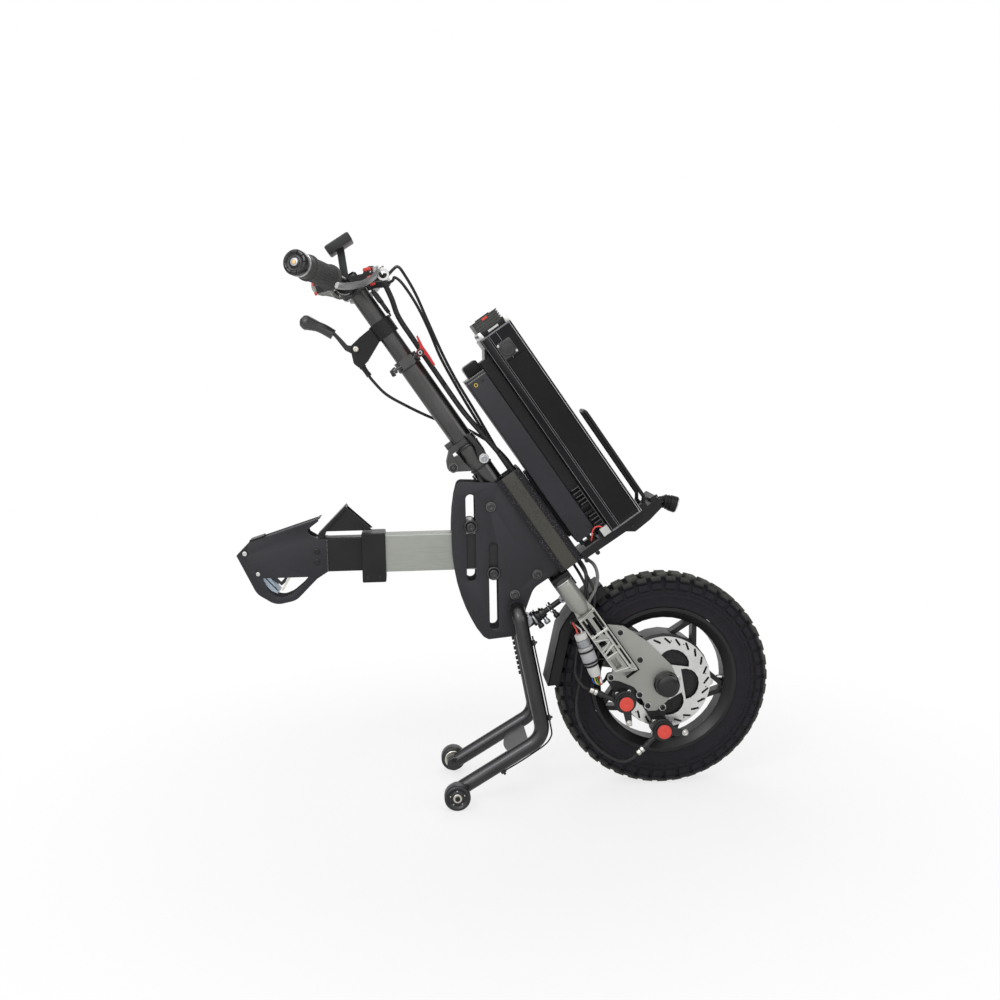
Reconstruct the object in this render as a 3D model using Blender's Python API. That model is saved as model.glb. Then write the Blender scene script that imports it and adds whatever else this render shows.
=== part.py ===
"""Electric front-wheel drive unit that clips to a wheelchair, as separate solids.

Metres, +Z up, +X forward (driven wheel), -Y is the unit's right-hand (near) side.
The unit rests on its tyre and on the two rollers of its stand, at Z = 0.

Pieces that follow the steering axis are laid out in two lengths instead of X and Z:
t runs down the axis from the top of the head tube, n stands square to it, forward.
"""

import math

import bmesh
import bpy
from mathutils import Matrix, Quaternion, Vector

# clearances
GAP = 0.0003            # between pieces that touch
BORE = 0.0003           # between a pin and its hole

# wheel
TYRE_RADIUS = 0.188
TYRE_HALF = 0.031
BEAD_RADIUS = 0.1293
RIM_HALF = 0.0275
KNOBS = 32
KNOB_DEPTH = 0.0045
WHEEL_X = 0.2685
AXLE_Z = 0.188
GROUND_Z = AXLE_Z - TYRE_RADIUS
MUDGUARD_GAP = 0.0163  # between the tread and the mudguard
HUB_RADIUS = 0.084
HUB_HALF = 0.028
HUB_WALL = 0.0035
AXLE_RADIUS = 0.0077
AXLE_CAP_RADIUS = 0.0205
ROTOR_RADIUS = 0.080
ROTOR_THICK = 0.002
ROTOR_Y = -0.0375       # outer face of the brake disc

# steering axis
HEAD_X = -0.0245
HEAD_Z = 0.543
HEAD_ANGLE = math.radians(34.1)
HEAD_LENGTH = 0.192
HEAD_RADIUS = 0.020
HEAD_BORE = 0.017
STEERER_RADIUS = 0.0127

# side plates and the block between them
PLATE_IN = 0.021        # half of the gap between the plates
PLATE_T = 0.006
SLOT_WIDTH = 0.016
BLOCK_FRONT = 0.046
BOLT_RADIUS = 0.004
BOLT_HEAD = 0.0072
BOLT_HEAD_T = 0.0045

# fork
FORK_Y = 0.0545         # middle of each leg
LEG_THICK = 0.015
LEG_HALF = 0.0172
LEG_TOP = 0.250
LEG_END = 0.406
BARREL_RADIUS = 0.0162
CROWN_TOP = HEAD_LENGTH + 0.0065
CROWN_T = 0.026
DROPOUT_T = 0.005

# stem and handlebar
BASE_RADIUS = 0.019
STEM_RADIUS = 0.019
STEM_WALL = 0.0026
STEM_FOOT = -0.075
STEM_TOP = -0.253
MAST_TOP = -0.386
MAST_INSERT = 0.075
FOLD_T = -0.056
FOLD_N = -0.040
BAR_RADIUS = 0.0111
HEAD_AHEAD = 0.024      # the clamp block in front of the bar
BAR_T = -0.398
BAR_N = -0.008
GRIP_SPAN = 0.236       # half of the handlebar's width
GRIP_RADIUS = 0.0165

# battery and its dock
BATTERY_TOP = -0.204
BATTERY_END = 0.186
BATTERY_LOW = 0.1165
BATTERY_HIGH = 0.178
BATTERY_HALF = 0.050
PORT_T, PORT_N = -0.168, 0.147
PORT_RADIUS = 0.0120
CONTROL_TOP = -0.162
CONTROL_END = 0.168
CONTROL_LOW = 0.058
CONTROL_HIGH = 0.0965
CONTROL_HALF = 0.040

# docking arm
ARM_Z = 0.4245
ARM_HIGH = 0.063
ARM_HALF = 0.0202
ARM_WALL = 0.0025
ARM_FRONT = -0.0125
ARM_REAR = -0.243
INNER_REAR = -0.336
INNER_FRONT = -0.120
SLOT_BOLT_R = 0.005

# stand
STAND_X = 0.014
STAND_Z = 0.324
STAND_TUBE = 0.0127
STAND_PIN = 0.009
ROLLER_RADIUS = 0.022
ROLLER_WIDTH = 0.024
ROLLER_X = -0.097
ROLLER_Z = GROUND_Z + ROLLER_RADIUS
ROLLER_Y = 0.096
ROLLER_PIN = 0.005
ROLLER_DISH = 0.002     # how far the roller's face is sunk
STAND_PLAY = 0.0012     # between the plates and the stand's legs
LEG_SPREAD = 0.070      # half of the distance between the lower legs
KNEE_X = 0.053
KNEE_Z = 0.1105


# Frames of reference

def row(a, b, c):
    """X, Z and Y of the unit."""
    return Vector((a, c, b))


def tilt(t, n, y):
    """A point laid out along the steering axis."""
    s, c = math.sin(HEAD_ANGLE), math.cos(HEAD_ANGLE)
    return Vector((HEAD_X + t * s + n * c, y, HEAD_Z - t * c + n * s))


def along(x, z):
    """t and n of a point given as X and Z."""
    s, c = math.sin(HEAD_ANGLE), math.cos(HEAD_ANGLE)
    return ((x - HEAD_X) * s - (z - HEAD_Z) * c, (x - HEAD_X) * c + (z - HEAD_Z) * s)


def mirrored(point, side):
    return Vector((point.x, side * abs(point.y), point.z))


DOWN = tilt(1, 0, 0) - tilt(0, 0, 0)
AHEAD = tilt(0, 1, 0) - tilt(0, 0, 0)
ACROSS = Vector((0, 1, 0))


# Building tools

def clear_scene():
    for obj in list(bpy.data.objects):
        bpy.data.objects.remove(obj, do_unlink=True)


def paint(name, colour, roughness, metallic=0.0):
    mat = bpy.data.materials.get(name)
    if mat is None:
        mat = bpy.data.materials.new(name)
        mat.use_nodes = True
        shader = mat.node_tree.nodes["Principled BSDF"]
        shader.inputs["Base Color"].default_value = (*colour, 1)
        shader.inputs["Roughness"].default_value = roughness
        shader.inputs["Metallic"].default_value = metallic
    return mat


def finish(name, bm, look, origin=None, smooth=True):
    """Turns a bmesh in world space into an object with its origin where asked."""
    bmesh.ops.recalc_face_normals(bm, faces=bm.faces)
    start = Vector(origin) if origin is not None else Vector((0, 0, 0))
    bmesh.ops.translate(bm, verts=bm.verts, vec=-start)
    mesh = bpy.data.meshes.new(name)
    bm.to_mesh(mesh)
    bm.free()
    if smooth:
        mesh.shade_smooth()
        mesh.set_sharp_from_angle(angle=math.radians(38))
    obj = bpy.data.objects.new(name, mesh)
    obj.location = start
    if look is not None:
        mesh.materials.append(look)
    bpy.context.collection.objects.link(obj)
    return obj


def hide(obj):
    obj.hide_render = True
    obj.display_type = "WIRE"


def boolean(obj, other, operation):
    step = obj.modifiers.new(operation.title(), "BOOLEAN")
    step.operation = operation
    step.solver = "EXACT"
    step.object = other
    hide(other)


def cut(obj, *cutters):
    for cutter in cutters:
        boolean(obj, cutter, "DIFFERENCE")
    return obj


def weld(obj, *others):
    for other in others:
        boolean(obj, other, "UNION")
    return obj


def bevel(obj, width, segments=1, angle=40):
    step = obj.modifiers.new("Edges", "BEVEL")
    step.width = width
    step.segments = segments
    step.limit_method = "ANGLE"
    step.angle_limit = math.radians(angle)
    return obj


def prism(name, outline, low, high, look=None, place=row, origin=None, smooth=True):
    """An outline in two lengths, run from low to high along the third."""
    bm = bmesh.new()
    rings = [[bm.verts.new(place(a, b, c)) for a, b in outline] for c in (low, high)]
    bm.faces.new(rings[0])
    bm.faces.new(list(reversed(rings[1])))
    count = len(outline)
    for i in range(count):
        j = (i + 1) % count
        bm.faces.new((rings[0][i], rings[0][j], rings[1][j], rings[1][i]))
    return finish(name, bm, look, origin, smooth)


def block(name, low, high, look=None, place=row, origin=None):
    """A box between two corners of a frame of reference."""
    outline = [(low[0], low[1]), (high[0], low[1]), (high[0], high[1]), (low[0], high[1])]
    return prism(name, outline, low[2], high[2], look, place, origin, smooth=False)


def square_to(axis):
    axis = Vector(axis).normalized()
    side = ACROSS if abs(axis.y) < 0.9 else Vector((1, 0, 0))
    u = (side - axis * side.dot(axis)).normalized()
    return axis, u, axis.cross(u)


def turned(name, profile, base, axis, look=None, steps=32, ring=False, origin=None):
    """A profile of (distance along, radius) turned about an axis through base."""
    axis, u, v = square_to(axis)
    base = Vector(base)
    bm = bmesh.new()
    rows = []
    for along_axis, radius in profile:
        centre = base + axis * along_axis
        if radius == 0:
            rows.append([bm.verts.new(centre)])
            continue
        rows.append([
            bm.verts.new(centre + (u * math.cos(a) + v * math.sin(a)) * radius)
            for a in (2 * math.pi * i / steps for i in range(steps))
        ])
    pairs = list(zip(rows, rows[1:]))
    if ring:
        pairs.append((rows[-1], rows[0]))
    for first, second in pairs:
        if len(first) == 1 and len(second) == 1:
            continue
        for i in range(steps):
            j = (i + 1) % steps
            if len(first) == 1:
                bm.faces.new((first[0], second[j], second[i]))
            elif len(second) == 1:
                bm.faces.new((first[i], first[j], second[0]))
            else:
                bm.faces.new((first[i], first[j], second[j], second[i]))
    return finish(name, bm, look, origin)


def rod(name, start, end, radius, look=None, steps=24, origin=None):
    start, end = Vector(start), Vector(end)
    length = (end - start).length
    profile = [(0, 0), (0, radius), (length, radius), (length, 0)]
    return turned(name, profile, start, end - start, look, steps, origin=origin)


def tube(name, start, end, outer, inner, look=None, steps=32, origin=None):
    start, end = Vector(start), Vector(end)
    length = (end - start).length
    profile = [(0, inner), (0, outer), (length, outer), (length, inner)]
    return turned(name, profile, start, end - start, look, steps, ring=True, origin=origin)


def through(points, steps):
    """Points read from a smooth curve from the second of the given ones to the last but one."""
    result = []
    for a, b, c, d in zip(points, points[1:], points[2:], points[3:]):
        for k in range(steps):
            u = k / steps
            result.append(0.5 * (
                2 * b + (c - a) * u + (2 * a - 5 * b + 4 * c - d) * u ** 2
                + (3 * b - a - 3 * c + d) * u ** 3
            ))
    result.append(points[-2])
    return result


def flowing(points, steps):
    """Points read from a smooth curve through all the given ones."""
    points = [Vector(p) for p in points]
    return through([2 * points[0] - points[1]] + points + [2 * points[-1] - points[-2]], steps)


def bent(corners, steps=4):
    """The centre line of a bent tube: straight runs, with an arc at each inner corner."""
    route = [Vector(corners[0][0])]
    for (before, _), (corner, radius), (after, _) in zip(corners, corners[1:], corners[2:]):
        corner = Vector(corner)
        back = (Vector(before) - corner).normalized()
        ahead = (Vector(after) - corner).normalized()
        half = back.angle(ahead) / 2
        middle = corner + (back + ahead).normalized() * (radius / math.sin(half))
        start = corner + back * (radius / math.tan(half)) - middle
        end = corner + ahead * (radius / math.tan(half)) - middle
        turn = start.rotation_difference(end)
        for k in range(steps + 1):
            route.append(middle + Quaternion().slerp(turn, k / steps) @ start)
    route.append(Vector(corners[-1][0]))
    return route


def pipe(name, points, radius, look=None, sides=12, origin=None, flat=1.0):
    """A bent round bar as a mesh, its section carried along without twist."""
    points = [Vector(p) for p in points]
    ways = []
    for i in range(len(points)):
        before, after = points[max(i - 1, 0)], points[min(i + 1, len(points) - 1)]
        ways.append((after - before).normalized())
    _, u, v = square_to(ways[0])
    bm = bmesh.new()
    rings = []
    for i, (point, way) in enumerate(zip(points, ways)):
        if i:
            turn = ways[i - 1].rotation_difference(way)
            u = turn @ u
            v = turn @ v
        size = radius[i] if isinstance(radius, list) else radius
        rings.append([
            bm.verts.new(point + u * math.cos(a) * size * flat + v * math.sin(a) * size)
            for a in (2 * math.pi * (k + 0.5) / sides for k in range(sides))
        ])
    bm.faces.new(rings[0])
    bm.faces.new(rings[-1])
    for first, second in zip(rings, rings[1:]):
        for k in range(sides):
            j = (k + 1) % sides
            bm.faces.new((first[k], first[j], second[j], second[k]))
    return finish(name, bm, look, origin)


def cable(name, points, diameter, look, steps=3):
    """A held cable: a plain tube along a smooth curve, with both of its ends straight."""
    data = bpy.data.curves.new(name, "CURVE")
    data.dimensions = "3D"
    data.bevel_depth = diameter / 2
    data.bevel_resolution = 2
    data.use_fill_caps = True
    points = [Vector(p) for p in points]
    route = [points[0]] + through(points, steps) + [points[-1]]
    spline = data.splines.new("POLY")
    spline.points.add(len(route) - 1)
    for target, point in zip(spline.points, route):
        target.co = (*point, 1)
    data.materials.append(look)
    obj = bpy.data.objects.new(name, data)
    bpy.context.collection.objects.link(obj)
    return obj


def rounded(corners, steps=4):
    """An outline from (a, b, radius) corners, each rounded by an arc of that radius."""
    result = []
    count = len(corners)
    for i, (a, b, radius) in enumerate(corners):
        here = Vector((a, b))
        before = Vector(corners[i - 1][:2]) - here
        after = Vector(corners[(i + 1) % count][:2]) - here
        if radius <= 0:
            result.append((a, b))
            continue
        half = before.angle(after) / 2
        reach = radius / math.tan(half)
        middle = here + (before.normalized() + after.normalized()).normalized() * (
            radius / math.sin(half))
        start = here + before.normalized() * reach - middle
        end = here + after.normalized() * reach - middle
        turn = start.angle_signed(end)
        for k in range(steps + 1):
            angle = -turn * k / steps
            spin = Matrix.Rotation(angle, 2)
            point = middle + spin @ start
            result.append((point.x, point.y))
    return result


def capsule(x, low, high, width, steps=5):
    """A vertical slot outline with round ends, low and high being its extreme ends."""
    r = width / 2
    top = [(x + r * math.cos(math.pi * k / steps), high - r + r * math.sin(math.pi * k / steps))
           for k in range(steps + 1)]
    foot = [(x - r * math.cos(math.pi * k / steps), low + r - r * math.sin(math.pi * k / steps))
            for k in range(steps + 1)]
    return top + foot


def disc(x, z, radius, steps=16):
    return [(x + radius * math.cos(2 * math.pi * k / steps),
             z + radius * math.sin(2 * math.pi * k / steps)) for k in range(steps)]


def hole(x, z, radius, low, high, steps=20):
    """A round cutter along Y."""
    return prism("cut_hole", disc(x, z, radius, steps), low, high)


# Looks

BLACK = paint("satin_black", (0.035, 0.035, 0.042), 0.45, 0.3)
PLATE = paint("plate_black", (0.042, 0.042, 0.055), 0.55, 0.4)
STEM = paint("stem_grey", (0.055, 0.055, 0.056), 0.38, 0.5)
RUBBER = paint("rubber", (0.022, 0.021, 0.021), 0.8)
LEATHER = paint("wrap_olive", (0.070, 0.068, 0.058), 0.7)
SILVER = paint("arm_silver", (0.36, 0.38, 0.35), 0.38, 0.9)
GREY = paint("fork_grey", (0.42, 0.42, 0.39), 0.42, 0.8)
STEEL = paint("steel", (0.62, 0.62, 0.62), 0.3, 1.0)
RED = paint("red", (0.75, 0.05, 0.04), 0.4)
CASE = paint("battery_black", (0.018, 0.018, 0.022), 0.35)
CABLE = paint("cable_black", (0.02, 0.02, 0.02), 0.5)
GRIP = paint("grip_grey", (0.10, 0.10, 0.11), 0.6)


# The frame

PLATE_OUT = PLATE_IN + PLATE_T
SLOTS = ((-0.0620, 0.373, 0.522), (-0.0245, 0.288, 0.440))
SLOT_BOLTS = ((SLOTS[0][0], 0.467), (SLOTS[1][0], 0.386))
PLATE_BOLTS = (("plate_bolt_upper", -0.0276, 0.500), ("plate_bolt_front", 0.050, 0.382),
               ("plate_bolt_lower", 0.011, 0.348))
DAMPER_FOOT = (0.0255, 0.296)


def plate_outline():
    top = tilt(0.008, 0.038, 0)
    foot = tilt(HEAD_LENGTH, 0.038, 0)
    heel = tilt(HEAD_LENGTH, 0.006, 0)
    return rounded([
        (-0.0825, 0.5435, 0.010), (-0.012, 0.5405, 0.002), (top.x, top.z, 0.004),
        (foot.x, foot.z, 0.004), (heel.x, heel.z, 0.004), (0.043, 0.358, 0.030),
        (0.0125, 0.276, 0.006), (-0.041, 0.271, 0.022), (-0.086, 0.372, 0.060),
        (-0.0965, 0.455, 0.120),
    ], 2)


def side_plate(name, side):
    inner, outer = side * PLATE_IN, side * PLATE_OUT
    low, high = min(inner, outer), max(inner, outer)
    obj = prism(name, plate_outline(), low, high, PLATE)
    for x, bottom, top in SLOTS:
        cut(obj, prism("cut_slot", capsule(x, bottom, top, SLOT_WIDTH), low - 0.01, high + 0.01))
    for _, x, z in PLATE_BOLTS:
        cut(obj, hole(x, z, BOLT_RADIUS + BORE, low - 0.01, high + 0.01, 12))
    cut(obj, hole(STAND_X, STAND_Z, STAND_PIN + BORE, low - 0.01, high + 0.01))
    return obj


def plate_bolt(name, x, z):
    """A through bolt with its spacer sleeve and both heads."""
    head = PLATE_OUT + GAP
    sleeve = PLATE_IN - GAP
    half = [(0, 0.0062), (sleeve, 0.0062), (sleeve, BOLT_RADIUS), (head, BOLT_RADIUS),
            (head, BOLT_HEAD), (head + BOLT_HEAD_T * 0.7, BOLT_HEAD),
            (head + BOLT_HEAD_T, BOLT_HEAD * 0.7), (head + BOLT_HEAD_T, 0)]
    profile = [(-a, r) for a, r in reversed(half[1:])] + half[1:]
    return turned(name, profile, (x, 0, z), ACROSS, BLACK, 10)


def head_tube():
    obj = tube("head_tube", tilt(0.004, 0, 0), tilt(0.004 + HEAD_LENGTH, 0, 0), HEAD_RADIUS,
               HEAD_BORE, BLACK, 24)
    wide = block("weld_wide", (0.014, 0.0178, -PLATE_IN + GAP), (0.188, 0.032, PLATE_IN - GAP),
                 place=tilt)
    lean = block("weld_lean", (0.014, 0.030, -0.009), (0.188, BLOCK_FRONT, 0.009), place=tilt)
    return weld(obj, wide, lean)


WRAP_THICK = 0.0059
WRAP_SWELL = 0.0016     # how much thinner the cover is at its ends
WRAP_FRONT = BLOCK_FRONT + GAP + WRAP_THICK


def headset(name, t):
    return tube(name, tilt(t, 0, 0), tilt(t + 0.009, 0, 0), HEAD_BORE - BORE,
                STEERER_RADIUS + BORE, STEEL, 18)


def head_wrap():
    """The padded cover round the front of the head tube and plates."""
    inner = PLATE_OUT + GAP
    low_n, high_n = 0.0055, BLOCK_FRONT + GAP
    start, end = 0.0055, CROWN_TOP - 0.0015
    steps = 6
    bm = bmesh.new()
    rings = []
    for i in range(steps + 1):
        u = i / steps
        t = start + (end - start) * u
        crown = WRAP_SWELL * (math.sin(math.pi * u) ** 0.5 - 1)
        out = inner + WRAP_THICK + crown
        front = WRAP_FRONT + crown
        r = 0.007
        section = [(low_n, -inner), (low_n + 0.001, -out)]
        for k in range(4):
            a = math.pi / 2 * k / 3
            section.append((front - r + r * math.sin(a), -out + r - r * math.cos(a)))
        section += [(n, -y) for n, y in reversed(section)]
        section += [(high_n, inner), (high_n, -inner)]
        rings.append([bm.verts.new(tilt(t, n, y)) for n, y in section])
    count = len(rings[0])
    for first, second in zip(rings, rings[1:]):
        for k in range(count):
            j = (k + 1) % count
            bm.faces.new((first[k], first[j], second[j], second[k]))
    bm.faces.new(rings[0])
    bm.faces.new(rings[-1])
    return finish("head_wrap", bm, LEATHER)


def damper():
    """The steering damper: a yoke between the plates, a body and a rod toward the fork."""
    _, foot_n = along(*DAMPER_FOOT)
    line = 0.242
    yoke = bevel(block("damper", (0.0085, 0.286, -PLATE_IN + GAP), (0.034, 0.3065, PLATE_IN - GAP),
                       BLACK), 0.0015)
    base = foot_n + 0.002
    body = turned("weld_body", [
        (0, 0), (0, 0.0085), (0.011, 0.0085), (0.012, 0.0125), (0.021, 0.0135), (0.023, 0.010),
        (0.028, 0.010), (0.029, 0.0085), (-0.056 - base, 0.0085), (-0.055 - base, 0.005),
        (-0.0235 - base, 0.005), (-0.0235 - base, 0),
    ], tilt(line, base, 0), AHEAD, steps=12)
    return weld(yoke, body)


# Battery, dock and tray

TRAY_HALF = 0.034
LAMP_T, LAMP_N = 0.196, 0.217
LAMP_EAR_Y = 0.0125


def dock_rail():
    low, high = CONTROL_HIGH + GAP, BATTERY_LOW - GAP
    obj = block("dock_rail", (BATTERY_TOP + 0.030, low, -0.036), (BATTERY_END, high, 0.036),
                BLACK, tilt)
    for k in range(7):
        t = 0.090 + 0.0125 * k
        for side in (-1, 1):
            cut(obj, block("cut_fin", (t, low - 0.001, side * 0.036 - 0.008),
                           (t + 0.0065, high - 0.004, side * 0.036 + 0.008), place=tilt))
    return obj


def controller():
    obj = block("controller", (CONTROL_TOP, CONTROL_LOW, -CONTROL_HALF),
                (CONTROL_END, CONTROL_HIGH, CONTROL_HALF), PLATE, tilt)
    weld(obj, block("weld_cap", (CONTROL_TOP - 0.022, CONTROL_LOW + 0.010, -0.030),
                    (CONTROL_TOP + 0.002, CONTROL_HIGH - 0.002, 0.030), place=tilt))
    foot = block("weld_foot", (0.020, WRAP_FRONT + GAP, -0.0085),
                 (CONTROL_END - 0.010, CONTROL_LOW + 0.002, 0.0085), place=tilt)
    weld(obj, foot)
    return bevel(obj, 0.0028)


def battery_case():
    obj = block("battery_case", (BATTERY_TOP, BATTERY_LOW, -BATTERY_HALF),
                (BATTERY_END, BATTERY_HIGH, BATTERY_HALF), CASE, tilt)
    bevel(obj, 0.0035, 2)
    flange = block("weld_flange", (PORT_T - 0.0145, PORT_N - 0.0135, -BATTERY_HALF - 0.0014),
                   (PORT_T + 0.0145, PORT_N + 0.0135, -BATTERY_HALF + 0.002), place=tilt)
    port = rod("weld_port", tilt(PORT_T, PORT_N, -BATTERY_HALF + 0.002),
               tilt(PORT_T, PORT_N, -BATTERY_HALF - 0.0045), PORT_RADIUS, steps=20)
    for side in (-1, 1):
        groove = block("cut_groove",
                       (BATTERY_TOP - 0.01, BATTERY_LOW + 0.0140, side * BATTERY_HALF - 0.001),
                       (BATTERY_END + 0.01, BATTERY_LOW + 0.0165, side * BATTERY_HALF + 0.001),
                       place=tilt)
        cut(obj, groove)
    return weld(obj, flange, port)


def battery_cap():
    """The ribbed end cap with its carrying lip."""
    top = BATTERY_TOP - GAP
    ribs = ((0.0100, 0.0005), (0.0048, 0.0040), (0.0040, 0), (0.0048, 0.0040), (0.0066, 0.0010))
    t = top
    side = []
    for length, inset in ribs:
        side.append((t, inset))
        t -= length
        side.append((t, inset))
    outline = [(a, BATTERY_LOW + 0.001 + inset) for a, inset in side]
    outline += [(a, BATTERY_HIGH - 0.001 - inset) for a, inset in reversed(side)]
    obj = prism("battery_cap", outline, -BATTERY_HALF + 0.001, BATTERY_HALF - 0.001, CASE, tilt,
                smooth=False)
    return obj


def tray():
    """The ribbed bracket under the battery, with the guard hoop welded to its front."""
    top, base = BATTERY_END + 0.0008, 0.2005
    outline = [(top, 0.052), (top, 0.200), (0.179, 0.2025), (0.179, 0.212), (0.2035, 0.212),
               (0.2095, 0.182), (0.2115, 0.150), (base + 0.0015, 0.137), (base, 0.052)]
    obj = prism("tray", outline, -TRAY_HALF, TRAY_HALF, BLACK, tilt, smooth=False)
    for k in range(3):
        low = 0.066 + 0.038 * k
        cut(obj, block("cut_tray", (top - 0.01, low, -0.022), (0.22, low + 0.026, 0.022),
                       place=tilt))
    reach = 0.196
    hoop = flowing([tilt(0.183, 0.186, -0.029), tilt(0.172, 0.1945, -0.029),
                    tilt(0.160, reach, -0.029), tilt(0.080, reach, -0.029),
                    tilt(0.005, reach, -0.029), tilt(-0.004, reach, -0.0255),
                    tilt(-0.006, reach, -0.016), tilt(-0.006, reach, 0.016),
                    tilt(-0.004, reach, 0.0255), tilt(0.005, reach, 0.029),
                    tilt(0.080, reach, 0.029), tilt(0.160, reach, 0.029),
                    tilt(0.172, 0.1945, 0.029), tilt(0.183, 0.186, 0.029)], 2)
    for side in (-1, 1):
        foot = sorted((side * 0.024, side * TRAY_HALF))
        ear = sorted((side * LAMP_EAR_Y, side * (LAMP_EAR_Y + 0.0025)))
        weld(obj, block("weld_foot", (0.178, 0.181, foot[0]), (0.190, 0.192, foot[1]), place=tilt),
             block("weld_ear", (LAMP_T - 0.006, 0.206, ear[0]), (LAMP_T + 0.006, LAMP_N + 0.004, ear[1]),
                   place=tilt))
    return weld(obj, pipe("weld_hoop", hoop, 0.0033, sides=6))


def headlamp():
    """The lamp's shell with its lens, on a boss that tilts between the tray's ears."""
    pivot = tilt(LAMP_T, LAMP_N, 0)
    ahead = (tilt(LAMP_T + 0.8, LAMP_N + 0.6, 0) - pivot).normalized()
    obj = turned("headlamp", [(0, 0), (0, 0.0045), (0.010, 0.0110), (0.025, 0.0145),
                              (0.031, 0.0145), (0.0325, 0.0125), (0.0325, 0)],
                 pivot, ahead, BLACK, 22, origin=pivot)
    boss = LAMP_EAR_Y - 0.0005
    return weld(obj, rod("weld_boss", pivot - ACROSS * boss, pivot + ACROSS * boss, 0.0042, steps=14))


# Docking arm

def hollow(name, x0, x1, half_y, half_z, wall, look):
    outer = block(name, (x0, ARM_Z - half_z, -half_y), (x1, ARM_Z + half_z, half_y), look)
    bevel(outer, 0.002, 2)
    bore = block("cut_bore", (x0 - 0.01, ARM_Z - half_z + wall, -half_y + wall),
                 (x1 + 0.01, ARM_Z + half_z - wall, half_y - wall))
    return cut(outer, bore)


def arm_tube():
    half = ARM_HIGH / 2
    obj = hollow("arm_tube", ARM_REAR, ARM_FRONT, ARM_HALF, half, ARM_WALL, SILVER)
    for (x, z), edge in zip(SLOT_BOLTS, (ARM_Z + half, ARM_Z - half)):
        way = 1 if z > edge else -1
        r = 0.011
        arc = [(x + r * math.cos(math.pi * k / 8), z + way * r * math.sin(math.pi * k / 8))
               for k in range(9)]
        lug = prism("weld_lug", arc + [(x - r, edge - way * 0.0015), (x + r, edge - way * 0.0015)],
                    -ARM_HALF, ARM_HALF)
        weld(obj, lug)
    for x, z in SLOT_BOLTS:
        cut(obj, hole(x, z, SLOT_BOLT_R + BORE, -0.05, 0.05, 16))
    return obj


def slot_bolt(name, x, z):
    """A clamp bolt with a slider in each slot, washers and both heads."""
    slide = SLOT_WIDTH / 2 - BORE
    inner, face = PLATE_IN - GAP * 1.3, PLATE_OUT + GAP
    half = [(inner, SLOT_BOLT_R), (inner, slide), (face, slide), (face, 0.0115),
            (face + 0.0016, 0.0115), (face + 0.0016, 0.0075), (face + 0.0065, 0.0075),
            (face + 0.0072, 0.006), (face + 0.0072, 0)]
    profile = [(-a, r) for a, r in reversed(half)] + half
    return turned(name, profile, (x, 0, z), ACROSS, BLACK, 10)


def arm_collar():
    half_z, half_y = ARM_HIGH / 2, ARM_HALF
    obj = block("arm_collar", (-0.2465, ARM_Z - half_z - 0.0165, -0.0265),
                (-0.2065, ARM_Z + half_z + 0.0045, 0.0265), BLACK)
    bevel(obj, 0.002, 2)
    cut(obj, block("cut_inner", (-0.30, ARM_Z - half_z - GAP, -half_y - GAP),
                   (-0.15, ARM_Z + half_z + GAP, half_y + GAP)))
    return cut(obj, block("cut_slit", (-0.30, ARM_Z - half_z - 0.05, -0.0012),
                          (-0.15, ARM_Z - half_z + 0.002, 0.0012)))


INNER_HALF_Y = ARM_HALF - ARM_WALL - 0.0004
INNER_HALF_Z = ARM_HIGH / 2 - ARM_WALL - 0.0004
HOOK_IN = INNER_HALF_Y + GAP
HOOK_T = 0.003
HOOK_BOLTS = ((-0.3215, 0.432), (-0.3215, 0.414))
LATCH_PIN = (-0.441, 0.4315)


def inner_tube():
    return hollow("inner_tube", INNER_REAR, INNER_FRONT, INNER_HALF_Y, INNER_HALF_Z, ARM_WALL, BLACK)


def hook_outline():
    return rounded([
        (-0.4555, 0.4285, 0.002), (-0.4345, 0.4495, 0.002), (-0.3180, 0.4865, 0),
        (-0.3172, 0.4828, 0), (-0.3365, 0.4685, 0.003), (-0.3345, 0.4620, 0),
        (-0.3205, ARM_Z + INNER_HALF_Z, 0), (-0.3050, ARM_Z + INNER_HALF_Z, 0),
        (-0.3050, ARM_Z - INNER_HALF_Z, 0),
        (-0.3225, 0.3850, 0.010), (-0.3585, 0.3490, 0.030), (-0.3930, 0.3420, 0.030),
        (-0.4240, 0.3620, 0.030),
    ], 1)


def hook_shell():
    """Two cheeks joined by a folded top, open below, with a window in each cheek."""
    window = [(-0.4145, 0.3885), (-0.3345, 0.3885), (-0.3480, 0.3740), (-0.3650, 0.3600),
              (-0.3800, 0.3540), (-0.3920, 0.3555), (-0.4030, 0.3640)]
    outer = HOOK_IN + HOOK_T
    near = prism("hook_shell", hook_outline(), -outer, -HOOK_IN, PLATE)
    far = prism("weld_far", hook_outline(), HOOK_IN, outer)
    top = prism("weld_top", [(-0.4320, 0.4490), (-0.3200, 0.4848), (-0.3209, 0.4816),
                             (-0.4330, 0.4455)], -outer + 0.001, outer - 0.001)
    weld(near, far, top)
    cut(near, prism("cut_window", window, -0.05, 0.05))
    for x, z in HOOK_BOLTS:
        cut(near, hole(x, z, 0.0042, -0.05, 0.05, 12))
    cut(near, hole(*LATCH_PIN, 0.004 + BORE, -0.05, 0.05, 16))
    return near


def guide_wedge():
    """The sloped plate that leads the chair's bar into the hook, with two gussets."""
    low = ARM_Z + INNER_HALF_Z + GAP
    obj = prism("guide_wedge", [(-0.3175, low), (-0.3095, low), (-0.3050, 0.4655),
                                (-0.2690, 0.5035), (-0.2720, 0.5075), (-0.3200, 0.4590)],
                -0.0205, 0.0205, BLACK)
    for side in (-1, 1):
        edges = sorted((side * 0.0135, side * 0.0165))
        weld(obj, prism("weld_gusset", [(-0.3085, 0.4645), (-0.2290, 0.4645), (-0.2290, 0.4660),
                                        (-0.2705, 0.5045)], *edges))
    return bevel(obj, 0.0005)


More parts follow.
